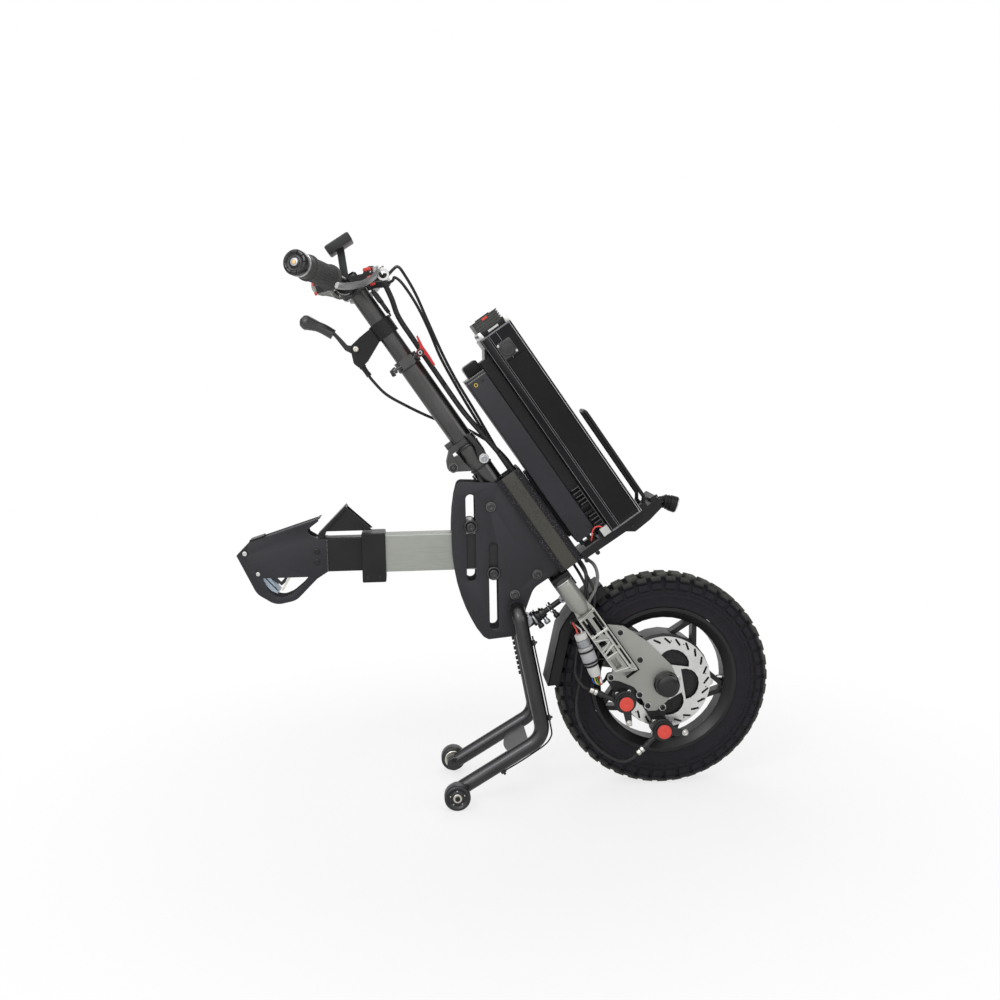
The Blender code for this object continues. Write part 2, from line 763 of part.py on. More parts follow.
def latch():
    """The sprung catch inside the hook: a pin with a bent plate that reaches the window."""
    x, z = LATCH_PIN
    half = HOOK_IN - 0.0006
    outline = [(x - 0.009, z - 0.002), (x - 0.002, z + 0.0085), (x + 0.0062, z + 0.0075),
               (x + 0.010, z - 0.006), (-0.4120, 0.3900), (-0.3870, 0.3640), (-0.3895, 0.3610),
               (-0.4155, 0.3840), (x + 0.001, z - 0.0095)]
    pin_half = HOOK_IN + HOOK_T + 0.0025
    obj = rod("latch", (x, -pin_half, z), (x, pin_half, z), 0.004, STEEL, 16, origin=(x, 0, z))
    return weld(obj, prism("weld_catch", outline, -half, half))


# Stand

def stand_frame():
    """Two bent legs, the pivot bar through the plates, the foot plate and roller stubs."""
    face = PLATE_OUT + STAND_PLAY
    bar = face + 0.006
    obj = rod("stand_frame", (STAND_X, -bar, STAND_Z), (STAND_X, bar, STAND_Z), STAND_PIN, STEM, 16,
              origin=(STAND_X, 0, STAND_Z))
    foot = Vector((ROLLER_X, LEG_SPREAD, ROLLER_Z))
    lower = (Vector((KNEE_X, LEG_SPREAD, KNEE_Z)) - foot).normalized()
    for side in (-1, 1):
        route = bent([(mirrored(point, side), radius) for point, radius in (
            (Vector((STAND_X, face, STAND_Z)), 0),
            (Vector((STAND_X, 0.0535, STAND_Z)), 0.019),
            (Vector((KNEE_X, LEG_SPREAD, KNEE_Z)), 0.034),
            (foot + lower * 0.010, 0),
        )])
        leg = pipe("weld_leg", route, STAND_TUBE, sides=10)
        boss = rod("weld_boss", (ROLLER_X, side * (LEG_SPREAD - 0.012), ROLLER_Z),
                   (ROLLER_X, side * (ROLLER_Y - ROLLER_WIDTH / 2 - 0.001), ROLLER_Z),
                   STAND_TUBE - 0.0007, steps=14)
        head = ROLLER_Y + ROLLER_WIDTH / 2 - ROLLER_DISH + GAP - LEG_SPREAD
        stub = turned("weld_stub", [(0, 0), (0, ROLLER_PIN), (head, ROLLER_PIN), (head, 0.0085),
                                    (head + 0.003, 0.0085), (head + 0.003, 0)],
                      mirrored(foot, side), ACROSS * side, steps=14)
        weld(obj, leg, boss, stub)
    half = LEG_SPREAD - 0.008
    front, waist, bow = 0.033, 0.004, 0.016
    edge = [(waist - bow * (1 - (b / half) ** 2), b) for b in (half * k / 4 for k in range(-4, 5))]

    def sloped(a, b, c):
        x = a * lower.x - c * lower.z
        z = a * lower.z + c * lower.x
        return Vector((x, b, KNEE_Z - KNEE_X * lower.z / lower.x + z))
    weld(obj, prism("weld_cross", [(front, half), (front, -half)] + edge, -0.0015, 0.0015,
                    place=sloped))
    return obj


def roller(name, side):
    half = ROLLER_WIDTH / 2
    bore = ROLLER_PIN + BORE
    dish = half - ROLLER_DISH
    profile = [(-dish, bore), (-dish, 0.014), (-half, 0.018), (0.004 - half, ROLLER_RADIUS),
               (half - 0.004, ROLLER_RADIUS), (half, 0.018), (dish, 0.014), (dish, bore)]
    centre = (ROLLER_X, side * ROLLER_Y, ROLLER_Z)
    return turned(name, profile, centre, ACROSS, RUBBER, 18, ring=True, origin=centre)


# Fork

def fork_crown():
    obj = rod("fork_crown", tilt(-0.034, 0, 0), tilt(CROWN_TOP + 0.004, 0, 0), STEERER_RADIUS,
              BLACK, 20)
    inner = FORK_Y - BARREL_RADIUS - GAP
    bridge = block("weld_bridge", (CROWN_TOP, -0.018, -inner), (CROWN_TOP + CROWN_T, 0.018, inner),
                   place=tilt)
    ring = rod("weld_ring", tilt(CROWN_TOP - 0.0020, 0, 0), tilt(CROWN_TOP + 0.002, 0, 0), 0.0165,
               steps=24)
    return weld(obj, bridge, ring)


def fork_leg(name, side):
    """A round barrel at the crown over a cast leg with a ladder of slots."""
    y = side * FORK_Y
    low, high = sorted((y - LEG_THICK / 2, y + LEG_THICK / 2))
    outline = rounded([(LEG_TOP, -LEG_HALF + 0.004, 0.003), (LEG_TOP, LEG_HALF - 0.004, 0.003),
                       (LEG_TOP + 0.022, LEG_HALF, 0.008), (LEG_END, LEG_HALF + 0.001, 0.003),
                       (LEG_END - 0.020, -LEG_HALF, 0.003), (LEG_TOP + 0.022, -LEG_HALF, 0.008)], 1)
    obj = prism(name, outline, low, high, GREY, tilt)
    top = CROWN_TOP + 0.005
    end = LEG_TOP - top
    barrel = turned("weld_barrel", [(0, 0), (0, 0.011), (0.003, 0.0150), (0.012, BARREL_RADIUS),
                                    (end + 0.0035, BARREL_RADIUS), (end + 0.0195, 0.0115),
                                    (end + 0.0215, 0)],
                    tilt(top, -0.001, y), DOWN, steps=16)
    weld(obj, barrel)
    slots = [(0.288, -0.0075, 0.030, 0.0060), (0.284, 0.0070, 0.036, 0.0055),
             (0.328, 0.0085, 0.028, 0.0050), (0.326, -0.0060, 0.010, 0.0120),
             (0.344, -0.0060, 0.011, 0.0120), (0.362, 0.0085, 0.032, 0.0050),
             (0.363, -0.0065, 0.020, 0.0100)]
    for t, n, length, width in slots:
        cut(obj, block("cut_rung", (t, n - width / 2, low - 0.01), (t + length, n + width / 2, high + 0.01),
                       place=tilt))
    return obj


def dropout(name, side):
    inner = FORK_Y - LEG_THICK / 2 - GAP
    low, high = sorted((side * (inner - DROPOUT_T), side * inner))
    x, z = WHEEL_X, AXLE_Z
    outline = rounded([(x, z, r) for x, z, r in (
        (0.1640, 0.2955, 0.003), (0.1950, 0.2915, 0.012), (0.2340, 0.2640, 0.030),
        (0.2780, 0.2200, 0.020), (0.2930, 0.1850, 0.020), (0.2700, 0.1560, 0.010),
        (0.2520, 0.1400, 0.006), (0.2360, 0.1400, 0.004), (0.2290, 0.1560, 0.010),
        (0.2130, 0.1830, 0.014), (0.1860, 0.1950, 0.014), (0.1660, 0.1980, 0.004),
        (0.1660, 0.2080, 0.003), (0.1760, 0.2100, 0.002),
    )], 2)
    obj = prism(name, outline, low, high, GREY)
    cut(obj, hole(x, z, AXLE_RADIUS + BORE, low - 0.01, high + 0.01, 16))
    return obj


def axle():
    """The fixed shaft with the motor's stator on it and a cap at each end."""
    face = FORK_Y - LEG_THICK / 2 - GAP
    cap = face + GAP
    half = [(0, 0.072), (0.019, 0.072), (0.019, 0.030), (0.023, 0.012), (0.0232, AXLE_RADIUS),
            (cap, AXLE_RADIUS), (cap, 0.0135), (cap + 0.010, 0.0135),
            (cap + 0.012, AXLE_CAP_RADIUS - 0.003), (cap + 0.020, AXLE_CAP_RADIUS - 0.0045),
            (cap + 0.022, 0.010), (cap + 0.022, 0)]
    profile = [(-a, r) for a, r in reversed(half[1:])] + half[1:]
    return turned("axle", profile, (WHEEL_X, 0, AXLE_Z), ACROSS, BLACK, 16, origin=(WHEEL_X, 0, AXLE_Z))


CALIPERS = {"upper": (0.1930, 0.1640), "lower": (0.2580, 0.1130)}
CALIPER_EARS = {"upper": ((0.172, 0.202), (0.222, 0.170)), "lower": ((0.236, 0.150), (0.262, 0.146))}
CALIPER_TIPS = {"upper": (0.1990, 0.1240), "lower": (0.3000, 0.1080)}
CABLE_STOPS = {"upper": ((0.1810, 0.1640), (0.1320, 0.1880)), "lower": ((0.2520, 0.1050), (0.2140, 0.0700))}
STOP_Y = 0.0625
CALIPER_FACE = -0.0715


def caliper(name, centre, ears, stop):
    """A cable-pulled brake caliper that straddles the disc, with its ear and cable stop."""
    x, z = centre
    obj = turned(name, [(0, 0), (0, 0.0165), (0.002, 0.0175), (0.030, 0.0175), (0.041, 0.0160),
                        (0.041, 0.0125), (0.049, 0.0125), (0.0500, 0.0110), (0.0500, 0)],
                 (x, -0.0302, z), -ACROSS, BLACK, 16)
    ear_low = -(FORK_Y - LEG_THICK / 2 - GAP - DROPOUT_T - GAP)
    hull = [(x, z)] + list(ears)
    ring = []
    for k in range(18):
        way = Vector((math.cos(2 * math.pi * k / 18), math.sin(2 * math.pi * k / 18)))
        best = max(hull, key=lambda p: Vector(p).dot(way))
        point = Vector(best) + way * 0.008
        if not ring or (point - ring[-1]).length > 0.0005:
            ring.append(point)
    weld(obj, prism("weld_ear", [tuple(p) for p in ring], ear_low, ear_low + 0.0012))
    (sx, sz), (ex, ez) = stop
    weld(obj, rod("weld_stop", (sx, -STOP_Y, sz), (ex, -STOP_Y, ez), 0.0042, steps=12))
    return cut(obj, hole(WHEEL_X, AXLE_Z, ROTOR_RADIUS + 0.0015, ROTOR_Y - 0.0011,
                         ROTOR_Y + ROTOR_THICK + 0.0011, 48))


def caliper_arm(name, centre, tip):
    """The lever that the brake cable pulls, turning about the caliper's axis."""
    x, z = centre
    y0, y1 = CALIPER_FACE - 0.0005, CALIPER_FACE - 0.0045
    obj = tube(name, (x, y0, z), (x, y1, z), 0.0165, 0.0125 + BORE, BLACK, 18, origin=(x, 0, z))
    way = (Vector(tip) - Vector(centre)).normalized()
    across = Vector((-way.y, way.x))
    start = Vector(centre) + way * 0.0148
    end = Vector(tip)
    arm = [tuple(start + across * 0.007), tuple(start - across * 0.007), tuple(end - across * 0.0045),
           tuple(end + across * 0.0045)]
    return weld(obj, prism("weld_arm", arm, y1 + 0.0003, y0 - 0.0003))


def mudguard():
    """A short arched guard with side skirts, hung under the crown."""
    skin, skirt = 0.0022, 0.0195
    outer = TYRE_RADIUS + MUDGUARD_GAP + skin
    half, inner_half = 0.0370, 0.0347
    start, end, steps = math.radians(122), math.radians(180.5), 10
    section = [(outer, -half), (outer, half), (outer - skirt, half), (outer - skirt, inner_half),
               (outer - skin, inner_half), (outer - skin, -inner_half), (outer - skirt, -inner_half),
               (outer - skirt, -half)]
    bm = bmesh.new()
    rings = []
    for i in range(steps + 1):
        a = start + (end - start) * i / steps
        rings.append([bm.verts.new((WHEEL_X + r * math.cos(a), y, AXLE_Z + r * math.sin(a)))
                      for r, y in section])
    count = len(section)
    for first, second in zip(rings, rings[1:]):
        for k in range(count):
            j = (k + 1) % count
            bm.faces.new((first[k], first[j], second[j], second[k]))
    bm.faces.new(rings[0])
    bm.faces.new(rings[-1])
    obj = finish("mudguard", bm, BLACK)
    axle_t, axle_n = along(WHEEL_X, AXLE_Z)
    lug_end = axle_t - math.sqrt((outer - skin / 2) ** 2 - axle_n ** 2) + 0.003
    lug = block("weld_lug", (CROWN_TOP + CROWN_T + GAP, -0.012, -0.013), (lug_end, 0.012, 0.013),
                place=tilt)
    return weld(obj, lug)


# Wheel

WHEEL = Vector((WHEEL_X, 0, AXLE_Z))


def tyre():
    """A knobbly tyre: carcass rings with alternate blocks raised in three rows."""
    base = TYRE_RADIUS - KNOB_DEPTH
    h = TYRE_HALF - 0.002
    wall = BEAD_RADIUS + (base - BEAD_RADIUS) * 0.38
    outside = [(-0.0262, BEAD_RADIUS), (-h, wall), (-h + 0.003, base - 0.0095),
               (-h * 0.38, base - 0.0006), (h * 0.38, base - 0.0006), (h - 0.003, base - 0.0095),
               (h, wall), (0.0262, BEAD_RADIUS)]
    inside = [(0.0225, BEAD_RADIUS), (0, base - 0.0115), (-0.0225, BEAD_RADIUS)]
    section = outside + inside
    steps = KNOBS * 2
    bm = bmesh.new()
    rings = []
    for i in range(steps):
        a = 2 * math.pi * i / steps
        rings.append([bm.verts.new((WHEEL.x + r * math.cos(a), y, WHEEL.z + r * math.sin(a)))
                      for y, r in section])
    count = len(section)
    quads = {}
    for i in range(steps):
        first, second = rings[i], rings[(i + 1) % steps]
        for k in range(count):
            j = (k + 1) % count
            quads[i, k] = bm.faces.new((first[k], first[j], second[j], second[k]))
    bmesh.ops.recalc_face_normals(bm, faces=bm.faces)
    raised = [quads[i, k] for i in range(steps) for k in (2, 3, 4)
              if (i + (k == 3)) % 2 == 0]
    for face in raised:
        out = face.normal.copy()
        grown = bmesh.ops.extrude_discrete_faces(bm, faces=[face])["faces"][0]
        middle = grown.calc_center_median()
        for vert in grown.verts:
            vert.co = middle + (vert.co - middle) * 0.86 + out * KNOB_DEPTH
    return finish("tyre", bm, RUBBER, origin=WHEEL, smooth=False)


def rim():
    """The cast wheel: rim, five forked spokes and the motor shell in one piece."""
    r = BEAD_RADIUS - GAP
    w = RIM_HALF
    profile = [(-w, r), (w, r), (w, r - 0.006), (0.016, r - 0.0195), (-0.016, r - 0.0195),
               (-w, r - 0.006)]
    obj = turned("rim", profile, WHEEL, ACROSS, BLACK, 40, ring=True, origin=WHEEL)
    wall = HUB_WALL
    h = HUB_HALF
    shell = turned("weld_shell", [(-h, 0.014), (-h, HUB_RADIUS - 0.006), (-h + 0.004, HUB_RADIUS - 0.001),
                                  (h - 0.004, HUB_RADIUS - 0.001), (h, HUB_RADIUS - 0.006), (h, 0.014),
                                  (h - wall, 0.014), (h - wall, 0.0750), (-h + wall, 0.0750),
                                  (-h + wall, 0.014)], WHEEL, ACROSS, steps=24, ring=True)
    weld(obj, shell)
    for k in range(5):
        tip = math.radians(60.8 + 72 * k)
        for side in (-1, 1):
            foot = tip + side * math.radians(17)
            outer = Vector((math.cos(tip + side * 0.035), math.sin(tip + side * 0.035))) * (r - 0.017)
            inner = Vector((math.cos(foot), math.sin(foot))) * (HUB_RADIUS - 0.004)
            way = (outer - inner).normalized()
            across = Vector((-way.y, way.x)) * 0.0042
            ends = [inner + across, inner - across, outer - across, outer + across]
            weld(obj, prism("weld_spoke", [(WHEEL.x + p.x, WHEEL.z + p.y) for p in ends],
                            -0.011, 0.011))
    return obj


def rotor():
    """The brake disc: slotted band, slanted arms and the boss that meets the hub."""
    y, boss = ROTOR_Y, 0.032
    seat = -(HUB_HALF + GAP) - y
    obj = turned("rotor", [(0, 0.0165), (0, ROTOR_RADIUS), (ROTOR_THICK, ROTOR_RADIUS),
                           (ROTOR_THICK, boss), (seat, boss), (seat, 0.0165)],
                 (WHEEL_X, y, AXLE_Z), ACROSS, STEEL, 36, ring=True, origin=(WHEEL_X, 0, AXLE_Z))

    def sector(first, last, r0, r1, lean, steps=2):
        ends = [(r0, first + (last - first) * k / steps) for k in range(steps + 1)]
        ends += [(r1, last + lean - (last - first) * k / steps) for k in range(steps + 1)]
        return [(WHEEL_X + r * math.cos(math.radians(a)), AXLE_Z + r * math.sin(math.radians(a)))
                for r, a in ends]
    for k in range(6):
        cut(obj, prism("cut_window", sector(60 * k + 3, 60 * k + 43, boss + 0.006, 0.060, 18),
                       y - 0.01, y + 0.006))
    for k in range(12):
        cut(obj, prism("cut_slot", sector(30 * k + 1.9, 30 * k + 5.3, 0.0655, 0.0755, 5, 1),
                       y - 0.01, y + 0.006))
    return obj


def wheel_bearing(name, side):
    y0 = side * (HUB_HALF - HUB_WALL - 0.0005)
    y1 = side * (HUB_HALF - 0.0002)
    return tube(name, (WHEEL_X, y0, AXLE_Z), (WHEEL_X, y1, AXLE_Z), 0.014 - BORE,
                AXLE_RADIUS + BORE, STEEL, 16, origin=WHEEL)


# Stem and handlebar

FOLD = tilt(FOLD_T, FOLD_N, 0)
FOLD_PIN = 0.0042
STUD_T, STUD_N = -0.040, 0.0115
STUD_RADIUS = 0.0036


def stem_base():
    """The casting on top of the steerer, with the fold hinge's rear knuckle and its pin."""
    collar_end = 0.0032
    obj = turned("stem_base", [(0, 0), (0, 0.0200), (0.004, 0.0215), (0.024, 0.0215), (0.036, BASE_RADIUS),
                               (collar_end - STEM_FOOT, BASE_RADIUS), (collar_end - STEM_FOOT, 0)],
                 tilt(STEM_FOOT, 0, 0), DOWN, STEM, 20, origin=tilt(0, 0, 0))
    arm = [(STEM_FOOT + 0.0095, -0.012), (STEM_FOOT + 0.0045, FOLD_N + 0.004),
           (FOLD_T - 0.009, FOLD_N - 0.003), (FOLD_T, FOLD_N - 0.0095), (FOLD_T + 0.007, FOLD_N - 0.0065),
           (FOLD_T + 0.0095, FOLD_N), (-0.030, -0.014)]
    weld(obj, prism("weld_knuckle", arm, -0.0080, 0.0080, place=tilt))
    pin = 0.0195
    weld(obj, rod("weld_pin", tilt(FOLD_T, FOLD_N, -pin), tilt(FOLD_T, FOLD_N, pin), FOLD_PIN, steps=16))
    stud = rod("weld_stud", tilt(STUD_T, STUD_N, -0.012), tilt(STUD_T, STUD_N, -0.0290), STUD_RADIUS,
               steps=14)
    weld(obj, stud)
    bore = rod("cut_bore", tilt(-0.034 - GAP, 0, 0), tilt(0.02, 0, 0), STEERER_RADIUS + BORE, steps=20)
    return cut(obj, bore)


def fold_latch():
    """The catch that keeps the stem upright, on a stud at the casting's near side."""
    t, n = STUD_T, STUD_N
    r = 0.0080
    arc = [(t + r * math.cos(a), n + r * math.sin(a))
           for a in (math.radians(-70 + 140 * k / 6) for k in range(7))]
    outline = arc + [(STEM_FOOT - 0.012, n + 0.0055), (STEM_FOOT - 0.016, n + 0.001),
                     (STEM_FOOT - 0.012, n - 0.0045)]
    obj = prism("fold_latch", outline, -0.0275, -0.0222, STEEL, tilt, origin=tilt(t, n, -0.025))
    cut(obj, rod("cut_eye", tilt(t, n, -0.04), tilt(t, n, -0.01), STUD_RADIUS + BORE, steps=16))
    return obj


CLAMP_T = -0.2445
SKEWER_Y = -0.0235
LEVER_N = 0.0262
LEVER_PIN = 0.0020
LEVER_ROUND = 0.0068    # the round head of the height lever


def stem_tube():
    """The lower, folding tube of the stem, with its hinge knuckles and clamp ears."""
    foot = STEM_FOOT - GAP
    inner = STEM_RADIUS - STEM_WALL
    length = foot - STEM_TOP
    obj = turned("stem_tube", [
        (length - 0.012, 0), (length - 0.012, inner), (0, inner), (0, 0.0212), (0.018, 0.0212),
        (0.019, STEM_RADIUS), (length - 0.012, STEM_RADIUS), (length - 0.011, 0.0212),
        (length, 0.0212), (length, 0),
    ], tilt(STEM_TOP, 0, 0), DOWN, STEM, 20, origin=FOLD)
    for side in (-1, 1):
        edges = sorted((side * 0.0083, side * 0.0165))
        arm = [(foot, -0.006), (foot - 0.011, -0.012), (foot - 0.011, -0.026),
               (FOLD_T - 0.014, FOLD_N - 0.004), (FOLD_T - 0.004, FOLD_N - 0.009),
               (FOLD_T + 0.0075, FOLD_N - 0.0055), (FOLD_T + 0.0092, FOLD_N + 0.002),
               (FOLD_T + 0.004, FOLD_N + 0.0085), (foot, FOLD_N + 0.0125), (foot, -0.0225)]
        weld(obj, prism("weld_knuckle", arm, *edges, place=tilt))
    lug = block("weld_tab", (foot - 0.019, -0.031, -0.005), (foot - 0.009, -0.016, 0.005), place=tilt)
    ears = block("weld_ears", (STEM_TOP + 0.001, -0.0125, SKEWER_Y - 0.0055),
                 (STEM_TOP + 0.0165, 0.0125, -0.0178), place=tilt)
    head_n = -0.027
    reach = LEVER_N - head_n - 0.003
    skewer = turned("weld_skewer", [(0, 0), (0, 0.0055), (0.005, 0.0055), (0.005, 0.0026),
                                    (reach, 0.0026), (reach, 0)],
                    tilt(CLAMP_T, head_n, SKEWER_Y), AHEAD, steps=14)
    eye = tilt(CLAMP_T, LEVER_N, SKEWER_Y)
    weld(obj, lug, ears, skewer)
    for half, radius in ((0.0026, 0.0046), (0.0078, LEVER_PIN)):
        weld(obj, rod("weld_eye", eye - ACROSS * half, eye + ACROSS * half, radius, steps=14))
    return cut(obj, rod("cut_eye", FOLD - ACROSS * 0.05, FOLD + ACROSS * 0.05, FOLD_PIN + BORE, steps=18))


def qr_lever():
    """The red quick-release lever of the height clamp."""
    t, n = CLAMP_T, LEVER_N
    pivot = tilt(t, n, SKEWER_Y)
    obj = rod("qr_lever", pivot - ACROSS * 0.0075, pivot + ACROSS * 0.0075, LEVER_ROUND, RED, 18,
              origin=pivot)
    blade = [(t - 0.0255, 0.0365), (t - 0.0255, 0.0395), (t - 0.006, 0.0365), (t + 0.012, 0.0365),
             (t + 0.030, 0.0352), (t + 0.0315, 0.0318), (t + 0.010, 0.0318), (t, n + 0.001),
             (t - 0.0055, n + 0.002), (t - 0.010, 0.0325)]
    weld(obj, prism("weld_blade", blade, SKEWER_Y - 0.0060, SKEWER_Y + 0.0060, place=tilt))
    for name, half, radius in (("cut_fork", 0.0030, LEVER_ROUND + 0.0006),
                               ("cut_bore", 0.02, LEVER_PIN + BORE)):
        cut(obj, rod(name, pivot - ACROSS * half, pivot + ACROSS * half, radius, steps=18))
    return obj


def mast():
    """The sliding upper tube with the handlebar clamp on top."""
    outer = STEM_RADIUS - STEM_WALL - 0.0004
    obj = tube("mast", tilt(MAST_TOP, 0, 0), tilt(STEM_TOP + MAST_INSERT, 0, 0), outer, outer - 0.0025,
               STEM, 18)
    head = block("weld_head", (BAR_T - 0.018, BAR_N - 0.019, -0.0215),
                 (MAST_TOP + 0.004, BAR_N + HEAD_AHEAD, 0.0215), place=tilt)
    bevel(head, 0.004)
    weld(obj, head)
    bar = tilt(BAR_T, BAR_N, 0)
    return cut(obj, rod("cut_bar", bar - ACROSS * 0.05, bar + ACROSS * 0.05, BAR_RADIUS + BORE, steps=24))


BAR = tilt(BAR_T, BAR_N, 0)
SWEEP = Vector((BAR.x, 0.069, BAR.z))
GRIP_OUT = Vector((BAR.x - 0.0655, GRIP_SPAN, BAR.z + 0.0225))
GRIP_IN = SWEEP.lerp(GRIP_OUT, 0.305)


def handlebar():
    """The swept bar with a lever perch on each side."""
    tip = GRIP_OUT - (GRIP_OUT - GRIP_IN).normalized() * 0.006
    route = bent([(mirrored(tip, -1), 0), (mirrored(SWEEP, -1), 0.06), (SWEEP, 0.06), (tip, 0)], 3)
    obj = pipe("handlebar", route, BAR_RADIUS, BLACK, 12)
    for side in (-1, 1):
        x, z = BAR.x - 0.003, BAR.z
        clamp = rod("weld_clamp", (x, side * 0.066, z), (x, side * 0.082, z + 0.0008), 0.0155, steps=16)
        low, high = sorted((side * 0.067, side * 0.081))
        perch = prism("weld_perch", [(x + 0.004, z - 0.008), (PERCH_X - 0.006, z + 0.0045),
                                     (PERCH_X + PERCH_AHEAD, z + 0.006),
                                     (PERCH_X + PERCH_AHEAD, PERCH_TOP),
                                     (PERCH_X - 0.010, PERCH_TOP), (x + 0.004, z + 0.012)], low, high)
        weld(obj, clamp, perch)
    return obj


PERCH_X = BAR.x + 0.047
PERCH_AHEAD = 0.008
PERCH_TOP = BAR.z + 0.0195


def brake_lever(name, side):
    """A cast lever blade on an upright pivot in front of the grip."""
    x, z = PERCH_X, PERCH_TOP + GAP
    y = side * 0.074
    obj = turned(name, [(0, 0), (0, 0.0078), (0.007, 0.0078), (0.008, 0.006), (0.008, 0)], (x, y, z),
                 (0, 0, 1), STEEL, 14, origin=(x, y, z))
    reach = GRIP_SPAN - 0.107

    def out(share):
        return y + side * reach * share
    route = flowing([(x, y, z + 0.0045), (x + 0.004, out(0.124), z + 0.0035),
                     (x - 0.002, out(0.295), z - 0.010), (x - 0.020, out(0.574), z - 0.024),
                     (x - 0.046, out(0.868), z - 0.0295), (x - 0.0545, out(1), z - 0.0290)], 2)
    count = len(route)
    size = [0.0046 + 0.0016 * math.sin(math.pi * k / (count - 1)) for k in range(count)]
    size[-1] = 0.0052
    return weld(obj, pipe("weld_blade", route, size, sides=6, flat=0.62))


def grip_axis(side):
    start, end = mirrored(GRIP_IN, side), mirrored(GRIP_OUT, side)
    return start, (end - start).normalized(), (end - start).length


def grip(name, side, twist):
    """A grip pushed over the bar's end, closed by a cap; the near one is the throttle."""
    start, way, length = grip_axis(side)
    bore = BAR_RADIUS + BORE + 0.0003
    first = 0.006
    r = GRIP_RADIUS
    stop = length - 0.0035
    if twist:
        outer = [(first, 0.0205), (first + 0.006, 0.0205), (first + 0.007, r + 0.001),
                 (length - 0.046, r + 0.001), (length - 0.045, 0.0200), (length - 0.042, 0.0200),
                 (length - 0.041, r + 0.0005), (length - 0.016, r + 0.0015), (length - 0.015, 0.0190),
                 (length - 0.002, 0.0190), (length, 0.0170), (length, 0)]
    else:
        outer = [(first, 0.0185), (first + 0.005, 0.0185), (first + 0.006, r), (length - 0.020, r),
                 (length - 0.018, 0.0185), (length - 0.002, 0.0185), (length, 0.0165), (length, 0)]
    profile = [(stop, 0), (stop, bore), (first, bore)] + outer
    return turned(name, profile, start, way, GRIP, 16, origin=start)


def display():
    """The small tilted display on its arm, clamped beside the stem."""
    obj = tube("display", (BAR.x, -0.0365, BAR.z), (BAR.x, -0.0235, BAR.z), 0.0150,
               BAR_RADIUS + BORE + 0.0002, BLACK, 16)
    post = prism("weld_post", [(BAR.x - 0.0125, BAR.z + 0.012), (BAR.x + 0.0035, BAR.z + 0.0135),
                               (BAR.x - 0.0010, BAR.z + 0.066), (BAR.x - 0.0205, BAR.z + 0.060)],
                 -0.0355, -0.0245)
    tip = math.radians(32)

    def leaning(a, b, c):
        return Vector((BAR.x - 0.0125 + a * math.cos(tip) - b * math.sin(tip), c,
                       BAR.z + 0.0680 + a * math.sin(tip) + b * math.cos(tip)))
    case = block("weld_case", (-0.0225, -0.0075, -0.0600), (0.0225, 0.0065, 0.0020), place=leaning)
    bevel(case, 0.003)
    return weld(obj, post, case)


HAND_X, HAND_Z = -0.2460, 0.7680
HAND_BARREL_T, HAND_BARREL_N = -0.2880, -0.0655
HAND_BARREL = 0.024
HAND_PIN = 0.0034


def hand_mount():
    """The clamp and cheeks that carry the parking lever behind the upper tube."""
    outer = STEM_RADIUS - STEM_WALL - 0.0004
    obj = tube("hand_mount", tilt(-0.326, 0, 0), tilt(-0.298, 0, 0), 0.0202, outer + BORE, BLACK, 20)
    pt, pn = along(HAND_X, HAND_Z)
    for side in (-1, 1):
        edges = sorted((side * 0.0043, side * 0.0080))
        cheek = rounded([(-0.3245, -0.0175, 0.002), (-0.2985, -0.0175, 0.002), (-0.2830, -0.0530, 0.004),
                         (-0.2800, -0.0705, 0.004), (-0.2930, -0.0745, 0.004),
                         (pt - 0.009, pn - 0.006, 0.006), (-0.3230, -0.0400, 0.006)], 1)
        weld(obj, prism("weld_cheek", cheek, *edges, place=tilt))
    weld(obj, block("weld_web", (-0.3240, -0.0240, -0.0075), (-0.3000, -0.0180, 0.0075), place=tilt))
    weld(obj, rod("weld_pin", (HAND_X, -0.0105, HAND_Z), (HAND_X, 0.0105, HAND_Z), HAND_PIN, steps=14))
    barrel = turned("weld_barrel", [(0, 0), (0, 0.0058), (0.009, 0.0058), (0.010, 0.0046),
                                    (HAND_BARREL, 0.0040), (HAND_BARREL, 0)],
                    tilt(HAND_BARREL_T, HAND_BARREL_N, 0), DOWN, steps=12)
    return weld(obj, barrel)


def hand_lever():
    """The parking lever with its round knob."""
    route = flowing([(HAND_X, 0, HAND_Z), (-0.2585, 0, 0.7690), (-0.2730, 0, 0.7800),
                     (-0.2870, 0, 0.7945), (-0.3000, 0, 0.8025), (-0.3180, 0, 0.8100)], 2)
    obj = tube("hand_lever", (HAND_X, -0.0038, HAND_Z), (HAND_X, 0.0038, HAND_Z), 0.0085, HAND_PIN + BORE,
               BLACK, 20, origin=(HAND_X, 0, HAND_Z))
    arm = pipe("weld_arm", route[1:], 0.0040, sides=8)
    cut(arm, rod("cut_ring", (HAND_X, -0.01, HAND_Z), (HAND_X, 0.01, HAND_Z), 0.0060, steps=16))
    ball = 0.0125
    profile = [(-ball, 0)] + [(-ball * math.cos(math.pi * k / 8), ball * math.sin(math.pi * k / 8))
                              for k in range(1, 8)] + [(ball, 0)]
    knob = turned("weld_knob", profile, (-0.3258, 0, 0.8130), (-0.0385, 0, 0.0155), steps=12)
    return weld(obj, arm, knob)


# Held cables

WRAP_LANES = {"harness": (0.0392, -0.0150), "near": (0.0352, 0.0122), "far": (0.0352, 0.0178),
              "hand": (0.0432, 0.0150)}     # n and y of each cable inside the wrap


